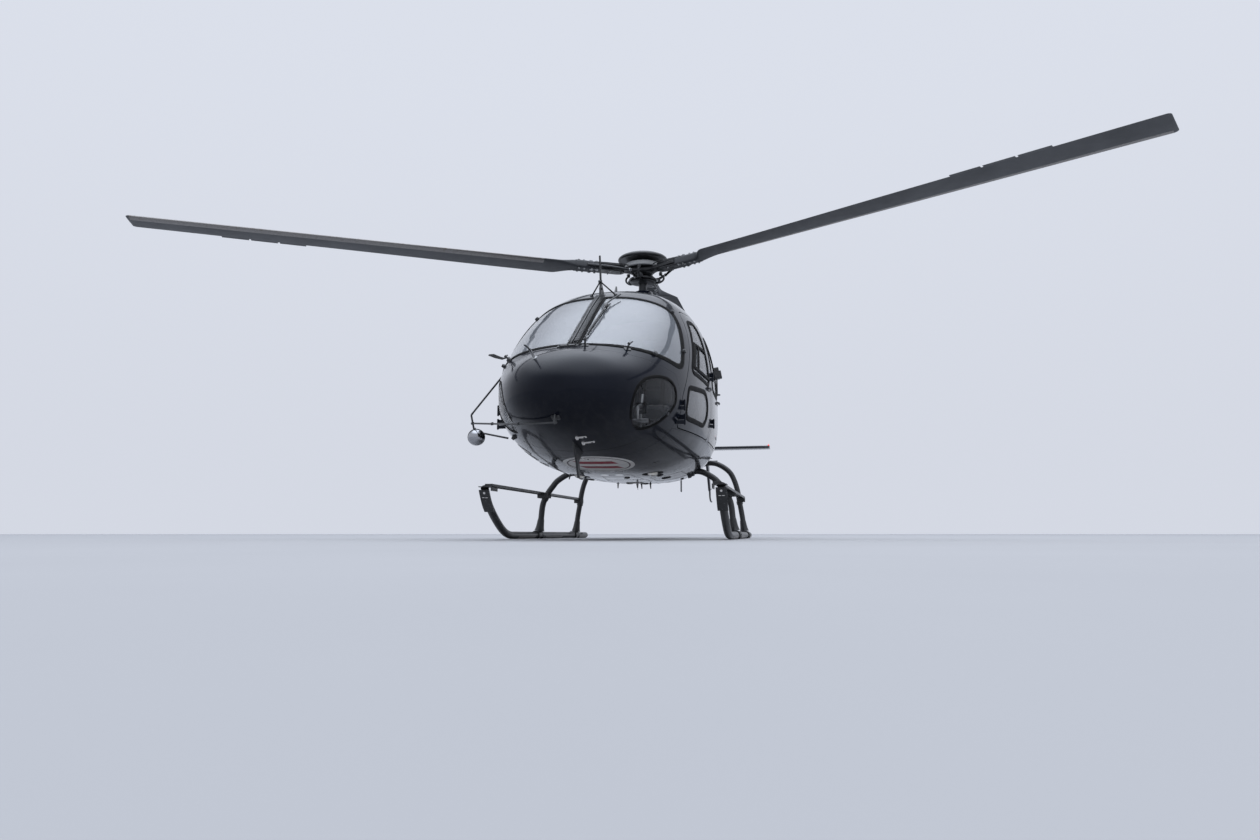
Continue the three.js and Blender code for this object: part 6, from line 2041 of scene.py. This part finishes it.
print("cowling, boom and gear fittings")
foreSkin, aftSkin = cowlSurface("gearbox"), cowlSurface("engine")
cowlSeams, cowlScrews, louvres, openingShadeSheets, gridBars = [], [], [], [], []
aftRim = [aftSkin(1.846, a)[0] for a in np.linspace(0.01, pi - 0.01, 70)]
piece("cowlRim", navy, tube(aftRim, 0.0065, 12), smooth=40)


def sideAngle(side, angle):
    # the same place on the left or the right of a cowling
    return angle if side > 0 else pi - angle


catch = joined(plate(0.03, 0.014, 0.004, 0.0035), moved(slab(rectangle(-0.022, 0.018, -0.008, 0.008), 0.003),
    (0, 0, 0.0035)))
for skin, y0, y1, firstLouvre in ((foreSkin, -0.75, 0.37, -0.63), (aftSkin, 0.47, 1.78, 0.69)):
    for side in (1, -1):
        door = [(y0, sideAngle(side, 0.42)), (y1, sideAngle(side, 0.42)), (y1, sideAngle(side, 1.05)),
            (y0, sideAngle(side, 1.05))]
        cowlSeams.append(seam(door, 0.05, skin, 0.004, 0.0007))
        cowlScrews.append(screwRing(door, 0.022, 0.04, skin, 0.085, 0.0045))
        cowlScrews.append(rivetLine([(y0 - 0.03, sideAngle(side, 0.32)), (y1 + 0.03, sideAngle(side, 0.32))],
            skin, 0.05, 0.0035))
        gridBars += [facing(catch, *skin(y0 + (y1 - y0) * s, sideAngle(side, 0.45))) for s in (0.2, 0.5, 0.8)]
        # pressed louvres, each a hooded slot
        for y in [firstLouvre + 0.05 * i for i in range(7)]:
            hood = [(y + 0.032 * v, sideAngle(side, 0.66 + 0.26 * u),
                0.013 * sin(pi * u) ** 0.5 * (1 - v) + 0.0006) for v in (0, 0.25, 0.5, 0.75, 1.0)
                for u in np.linspace(0, 1, 9)]
            louvres.append(wrapped((hood, gridFaces(5, 9)), skin))
            # a near-black sheet under each hood: painted shade for the slot's opening
            slot = [(y - 0.001 + 0.006 * v, sideAngle(side, 0.67 + 0.24 * u), 0.001) for v in (0, 1)
                for u in np.linspace(0, 1, 9)]
            openingShadeSheets.append(wrapped((slot, gridFaces(2, 9)), skin))
for skin, y0, y1 in ((aftSkin, 0.52, 0.98), (foreSkin, -0.02, 0.3)):
    low, high = 1.2, pi - 1.2
    # a near-black sheet behind each grille: painted shade for the intake's opening
    openingShadeSheets.append(sheet(rectangle(y0, y1, low, high), 0.0012, skin, 16))
    frameLine = flatEvenly(rectangle(y0, y1, low, high), 0.03)
    gridBars.append(wrapped(ribbon(frameLine, 0.026, 0.012, closed=True), skin))
    for y in np.linspace(y0, y1, 26)[1:-1]:
        gridBars.append(wrapped(ribbon([(y, a) for a in np.linspace(low, high, 12)], 0.0036, 0.0075), skin))
    for a in np.linspace(low, high, 20)[1:-1]:
        gridBars.append(wrapped(ribbon([(y, a) for y in np.linspace(y0, y1, 10)], 0.0036, 0.006), skin))
piece("cowlSeams", rubber, *cowlSeams, slot="navy_paint", smooth=30)
piece("cowlScrews", metal, *cowlScrews, smooth=30)
piece("cowlLouvres", navy, *louvres, smooth=50)
# the near-black sheets are painted shade of the louvre slots and intakes
piece("cowlOpeningShade", wellBlackAndOpeningShade, *openingShadeSheets, smooth=30)
piece("cowlGrilles", metal, *gridBars, smooth=30)

# boom: joint bands, rivets, an inspection cover, stripes and a small lamp underneath
boomBands, boomRivets = [], []
for y in (2.27, 3.1, 3.95, 4.62, 5.2, 5.9):
    boomBands.append(boomBand(y - 0.028, y + 0.028, 0.0012))
    for edge in (-0.018, 0.018):
        turns = allRound(44 if y < 4 else 32)
        boomRivets.append(rivets([boomAt(y + edge, a, 0.0012) for a in turns], 0.0036))
for angle in (0.35, pi - 0.35, -0.6, pi + 0.6):
    boomRivets.append(rivetLine([(2.32, angle), (6.1, angle)], boomAt, 0.042, 0.003))
piece("boomBands", navy, *boomBands, smooth=40)
piece("boomRivets", navy, *boomRivets, smooth=30)
under = -pi / 2
darkBars, paleBars = [], []
for i, y in enumerate((2.42, 2.55, 2.68, 2.81, 2.94)):
    bar = sheet(rectangle(y, y + 0.075, under - 0.95, under - 0.45), 0.0009, boomAt)
    (paleBars if i in (1, 3) else darkBars).append(bar)
piece("boomPaleBars", whitePaint, *paleBars, slot="navy_paint", smooth=50)
piece("boomDarkBars", black, *darkBars, slot="navy_paint", smooth=50)
coverSeams = []
for y0, y1, a0, a1 in ((3.3, 3.65, -0.25, 0.2), (4.9, 5.1, -0.2, 0.25)):
    outline = rectangle(y0, y1, a0, a1)
    coverSeams += [seam(each, 0.05, boomAt, 0.003) for each in (outline, [(y, pi - a) for y, a in outline])]
piece("boomSeams", rubber, *coverSeams, slot="navy_paint", smooth=30)
clips = []
for s in np.linspace(0.06, 0.94, 9):
    at = coverLine[0].lerp(coverLine[1], s)
    clips.append(tube([at + Vector((0, -0.014, 0)), at + Vector((0, 0.014, 0))], 0.0722, 40))
    for side in (-1, 1):
        clips.append(bolt(at + Vector((side * 0.0722, 0, -0.012)), (side, 0, 0), 0.006, 0.005))
piece("shaftCoverClips", navy, *clips, smooth=40)


def lampDome(radius, height):
    return turned([(radius * cos(t), height * sin(t)) for t in np.linspace(0, 1.5, 10)], 28)


def lampBase(radius):
    return turned([(radius * 0.6, -0.006), (radius * 1.35, -0.004), (radius * 1.3, 0.003),
        (radius * 1.05, 0.005), (radius * 0.6, 0.004)], 28)


# lights on the stabiliser's ends, the boom and the fin
stabiliserLamp, boomLamp = (Vector((1.15, 4.9, 1.527)), (0, 0, 1)), boomAt(2.36, under - 0.7)
leftTip = (Vector((1.243, 4.78, 1.52)), (0.25, -0.3, 1))
rightTip = (Vector((-1.243, 4.78, 1.52)), (-0.25, -0.3, 1))
finTip = (Vector((0, 7.2, 2.985)), (0, 0, 1))
bases = [facing(lampBase(radius), *place) for place, radius in ((leftTip, 0.016), (rightTip, 0.016),
    (stabiliserLamp, 0.012), (boomLamp, 0.022), (finTip, 0.03))]
piece("tipLamp_left", redLens, facing(lampDome(0.016, 0.024), *leftTip), smooth=60)
piece("tipLamp_right", greenLens, facing(lampDome(0.016, 0.024), *rightTip), smooth=60)
piece("boomLamps", lampLens, facing(lampDome(0.012, 0.014), *stabiliserLamp),
    facing(lampDome(0.022, 0.02), *boomLamp), smooth=60)
piece("finBeacon", redLens, facing(lampDome(0.03, 0.05), *finTip), smooth=60)
# bumper tube below the lower fin and the rod aerial across the boom's end
bumper = smoothLine([(0, 7.04, 0.93), (0, 7.06, 0.86), (0, 7.11, 0.76), (0, 7.22, 0.7), (0, 7.4, 0.69)], 7)
stays = [tube(bumper, 0.0165, 20), facing(lampDome(0.0165, 0.012), bumper[-1], (0, 1, 0))]
stays += [rod((-0.03, y, z), (0.03, y, z), 0.007, 14) for y, z in ((7.043, 0.915), (7.16, 0.93))]
stays += [tube([(0, 7.16, 0.935), (0, 7.17, 0.86), (0, 7.165, 0.735)], 0.009, 14),
    rod((-0.2, 6.56, 1.432), (0.2, 6.56, 1.432), 0.0085, 16), block(-0.045, 0.045, 6.54, 6.59, 1.42, 1.446)]
for side in (-1, 1):
    stays.append(facing(lampDome(0.012, 0.012), (side * 0.2, 6.56, 1.432), (side, 0, 0)))
piece("tailFittings", black, *stays, *bases, smooth=40)
stabRivets = []
for x in np.linspace(-1.15, 1.15, 60):
    if abs(x) > 0.25:
        stabRivets += [((x, y, 1.495 + way * h), (0, 0, way)) for y, up, down in ((4.77, 0.0285, 0.0236),
            (5.0, 0.0215, 0.018)) for way, h in ((1, up), (-1, down))]
piece("stabiliserRivets", navy, rivets(stabRivets, 0.0034), smooth=30)
finRivets = []
for table, way, shares in ((upperTable, 1, (0.2, 0.62)), (lowerTable, -1, (0.24, 0.66))):
    curve = smoothTable(table)
    for z in np.arange(table[0][0] + 0.1, table[-1][0] - 0.02, 0.05):
        lead, trail, half = curve(z)
        ring = foil(lead, trail, half, 60)[:61]
        for share in shares:
            along, out = min(ring, key=lambda p: abs(p[0] - lead - share * (trail - lead)))
            for side in (1, -1):
                finRivets.append((Vector((side * out, along, way * z)), Vector((side, 0, 0))))
piece("finRivets", navy, rivets(finRivets, 0.0038), smooth=30)

# skids: toe plates, teeth, heel plates, tube clamps and boots at the belly
toeLine = [p for p in skidLine if p.y < -1.93]
toePlate = []
for p, (along, _, _) in zip(toeLine, pathFrames(toeLine)):
    out = Vector((1, 0, 0)).cross(along).normalized()
    out = out if out.y < 0 else -out
    toePlate.append([p + Vector((x, 0, 0)) + out * o for x, o in ((-0.05, 0.036), (-0.05, 0.042),
        (0.045, 0.042), (0.045, 0.036))])
toe = toeLine[-1]
steps = [lofted(toePlate), block(1.004, toe.x + 0.045, toe.y - 0.045, toe.y + 0.1, 0.474, 0.4815),
    block(1.004, 1.012, toe.y - 0.04, toe.y + 0.12, 0.44, 0.4815)]
dot = turned([(0.001, 0), (0.011, 0), (0.01, 0.002), (0.001, 0.0025)], 24)
dash = slab(rectangle(-0.011, 0.011, -0.003, 0.003), 0.0015)
toeMarks = []
for shape, row, share in ((dot, -3, 0.5), (dash, -5, 0.35), (dash, -5, 0.68)):
    back, left, right, _ = toePlate[row]
    toeMarks.append(facing(shape, left.lerp(right, share), left - back))
for i in range(6):
    y = 0.66 + 0.037 * i
    steps.append(sidePrism([(y, 0.052), (y + 0.034, 0.052), (y + 0.006, 0.086)], 1.04, 1.046))
for i in range(4):
    y = 1.18 + 0.03 * i
    steps.append(sidePrism([(y, 0.05), (y + 0.027, 0.05), (y + 0.005, 0.071)], 1.041, 1.046))
steps.append(moved(slab(roundCorners([(-0.032, -0.01), (0.032, -0.01), (0.026, 0.085), (-0.026, 0.085)],
    0.012), 0.006), (1.085, 1.53, 0.031)))
collar = turned([(0.032, -0.02), (0.0375, -0.02), (0.0385, -0.016), (0.0385, 0.016), (0.0375, 0.02),
    (0.032, 0.02)], 36)
boot = turned([(0.033, -0.05), (0.06, -0.05), (0.058, -0.02), (0.048, -0.008), (0.046, 0.006), (0.05, 0.012),
    (0.044, 0.02), (0.037, 0.024), (0.033, 0.024)], 36)
for table, rootX in ((gear["front"], 0.63), (gear["rear"], 0.42)):
    line = smoothLine([Vector((x, table["y"], z)) for x, z in table["line"]], 8)
    inner = range(1, len(line) - 1)
    near = min(inner, key=lambda i: abs(line[i].z - 0.44) + (0 if line[i].x > 0.8 else 9))
    root = min(inner, key=lambda i: abs(line[i].x - rootX))
    for shape, i in ((collar, near), (boot, root)):
        steps.append(facing(shape, line[i], line[i + 1] - line[i - 1], (0, 1, 0)))
    x, y, z = line[near]
    for s in (-1, 1):
        steps.append(bolt((x, y + s * 0.042, z), (0, s, 0), 0.006, 0.006))
        steps.append(block(x - 0.012, x + 0.012, y + s * 0.042 - 0.005, y + s * 0.042 + 0.005, z - 0.014,
            z + 0.014))
piece("gearFittings", black, bothSides(joined(*steps)))
piece("toeMarks", whitePaint, bothSides(joined(*toeMarks)), slot="black_paint", smooth=30)

# aerials, caps, ports and the pitot probe on the skin
at, normal = bellyAt(-0.2, 0.62)
whipFoot = turned([(0.001, 0), (0.022, 0), (0.018, 0.006), (0.008, 0.014), (0.001, 0.014)], 24)
aerials = [tube([at, at + Vector((0, 0.03, -0.06)), at + Vector((0, 0.09, -0.16))], [0.006, 0.004, 0.0022],
    10), facing(whipFoot, at, normal)]
finOutline = [(-0.07, 0.0), (0.07, 0.0), (0.055, 0.03), (0.035, 0.1), (0.005, 0.1), (-0.045, 0.03)]
for (at, normal), tall, flip in ((bellyAt(0.0, -0.35), 0.55, -1), (roofAt(0, -1.45), 0.7, 1)):
    points, faces = sidePrism([(at.y + a * 0.8, b * tall) for a, b in finOutline], -0.005, 0.005)
    aerials.append(([Vector((p.x, p.y, at.z + flip * (p.z - 0.003))) for p in points], faces))
    aerials.append(facing(plate(0.02, 0.07, 0.018, 0.003), at, normal, (0, 1, 0)))
piece("aerials", black, *aerials)
fuelCap = turned([(0.001, 0), (0.046, 0), (0.045, 0.004), (0.036, 0.006), (0.034, 0.003), (0.001, 0.003)], 40)
smallCap = turned([(0.001, 0), (0.016, 0), (0.015, 0.0025), (0.001, 0.003)], 28)
caps = [facing(shape, *sideAt(0.95, 1.45)) for shape in (fuelCap, block(-0.028, 0.028, -0.005, 0.005, 0.002,
    0.009))]
caps += [facing(smallCap, *sideAt(y, z)) for y, z in ((1.55, 1.25), (1.55, 1.19), (-2.7, 1.02))]
piece("skinCaps", metal, bothSides(joined(*caps)))
at, normal = roofAt(-0.24, -3.28)
top = at + normal * 0.085
probe = smoothLine([at, at + normal * 0.06, top + Vector((0, -0.05, 0)), top + Vector((0, -0.13, 0))])
probeFoot = turned([(0.001, 0), (0.026, 0), (0.022, 0.005), (0.012, 0.01), (0.001, 0.01)], 28)
piece("pitotProbe", bright, tube(probe, [0.011] * 7 + [0.008] * 11 + [0.006], 16),
    facing(probeFoot, at, normal), smooth=40)

# rotor head: balance weights, a pale band under the dish and wiring on the star
band = turned([(0.0565, 3.146), (0.196, 3.146), (0.203, 3.151), (0.205, 3.16), (0.205, 3.185), (0.201, 3.194),
    (0.19, 3.199), (0.125, 3.2), (0.12, 3.196), (0.0565, 3.196)], 96)
ringBolts = [bolt((0.17 * cos(a), 0.17 * sin(a), 3.1995), (0, 0, 1), 0.007, 0.006) for a in allRound(18)]
onRotor("hubBand", plainFinish("paleGreyPaint", (0.36, 0.37, 0.37), (0.45, 0.46, 0.46), (0.3, 0.5)), band,
    *ringBolts, slot="dark_metal")
horn = smoothLine([(0, 0.225, 3.1), (0, 0.262, 3.075), (0, 0.255, 3.035), (0, 0.205, 3.0), (0, 0.15, 2.992)],
    7)
ball = turned([(0.037 * cos(t), 0.034 * sin(t)) for t in np.linspace(-1.5, 1.5, 14)], 28)
collar = turned([(0.01, -0.022), (0.02, -0.02), (0.02, 0.014), (0.01, 0.016)], 24)
weight = joined(tube(horn, [0.013] + [0.0115] * (len(horn) - 2) + [0.015], 18),
    moved(ball, (0, 0.185, 3.022)), moved(collar, (0, 0.225, 3.112)))
headParts = [armShape(weight, angle) for angle in (150, 270, 30)]
for side in (-1, 1):
    wire = smoothLine([(side * 0.03, 0.1, hub + 0.024), (side * 0.05, 0.22, hub + 0.05),
        (side * 0.055, 0.42, hub + 0.052), (side * 0.03, 0.6, hub + 0.054)], 8)
    headParts.append(everyArm(tube(wire, 0.0055, 10)))
rings = [everyArm(bolt((0.03, y, hub + 0.043), (0, 0, 1), 0.007, 0.006)) for y in (0.3, 0.38, 0.5)]
onRotor("headWeights", metal, *headParts, smooth=40)
onRotor("headRings", bright, *rings)
hubDisc = turned([(0.001, -0.5402), (0.02, -0.54), (0.022, -0.533), (0.016, -0.528), (0.001, -0.528)], 28,
    "X")
piece("tailHubDisc", bright, moved(hubDisc, (0, tailY, tailZ)), body="tail_rotor", smooth=40)

print("stage and camera")
studio = {
    "sky": [(0.0, (0.66, 0.69, 0.77, 1)), (0.58, (0.71, 0.745, 0.83, 1)), (1.0, (2.5, 2.68, 3.0, 1))],
    "strength": 1.0, "floor": ((0.3, 0.305, 0.32), (0.33, 0.335, 0.35)),
    "lamps": [("key", (4, -7, 14), 14, 700), ("back", (2, 14, 11), 12, 350)]}
shot = {"turn": 10.65, "distance": 9.5, "height": 0.05, "heading": 11.56, "tilt": 7.79, "lens": 23.81}


def softStudio():
    world = bpy.data.worlds.new("studio")
    world.use_nodes = True
    nodes, links = world.node_tree.nodes, world.node_tree.links
    height = nodes.new("ShaderNodeSeparateXYZ")
    links.new(nodes.new("ShaderNodeTexCoord").outputs["Generated"], height.inputs["Vector"])
    sky = nodes.new("ShaderNodeValToRGB")
    links.new(height.outputs["Z"], sky.inputs["Fac"])
    sky.color_ramp.interpolation = "EASE"
    for stop, (at, color) in zip([*sky.color_ramp.elements, sky.color_ramp.elements.new(1.0)], studio["sky"]):
        stop.position, stop.color = at, color
    links.new(sky.outputs["Color"], nodes["Background"].inputs["Color"])
    nodes["Background"].inputs["Strength"].default_value = studio["strength"]
    scene.world = world
    finish = Finish("studioFloor")
    finish.done(finish.blend(finish.noise(0.6, 3), *studio["floor"]), finish.noise(2, 2), 0.75, 0.85)
    mesh = meshFrom(([(-400, -400, -0.002), (400, -400, -0.002), (400, 400, -0.002), (-400, 400, -0.002)],
        [(0, 1, 2, 3)]))
    mesh.materials.append(finish.material)
    floor = bpy.data.objects.new("studioFloor", mesh)
    scene.collection.objects.link(floor)
    for name, at, size, power in studio["lamps"]:
        lamp = bpy.data.lights.new(name, "AREA")
        lamp.shape, lamp.size, lamp.energy = "SQUARE", size, power
        lamp.color = (1.0, 0.985, 0.96) if name == "key" else (0.93, 0.96, 1.0)
        light = bpy.data.objects.new(name, lamp)
        scene.collection.objects.link(light)
        light.location = origin + Vector(at)
        light.visible_glossy = False
        light.rotation_euler = (Vector((0, 0, 1.5)) - Vector(at)).to_track_quat("-Z", "Y").to_euler()


def placeCamera():
    # from the port side of the nose at floor level, looking up past the nose at the rotor head
    turn, distance = radians(shot["turn"]), shot["distance"]
    camera = bpy.data.objects.new("camera", bpy.data.cameras.new("camera"))
    scene.collection.objects.link(camera)
    camera.location = origin + Vector((distance * sin(turn), -distance * cos(turn), shot["height"]))
    camera.rotation_euler = [radians(angle) for angle in (90 + shot["tilt"], 0, shot["heading"])]
    camera.data.sensor_width = 36.0
    camera.data.lens = shot["lens"]
    scene.camera = camera


softStudio()
placeCamera()
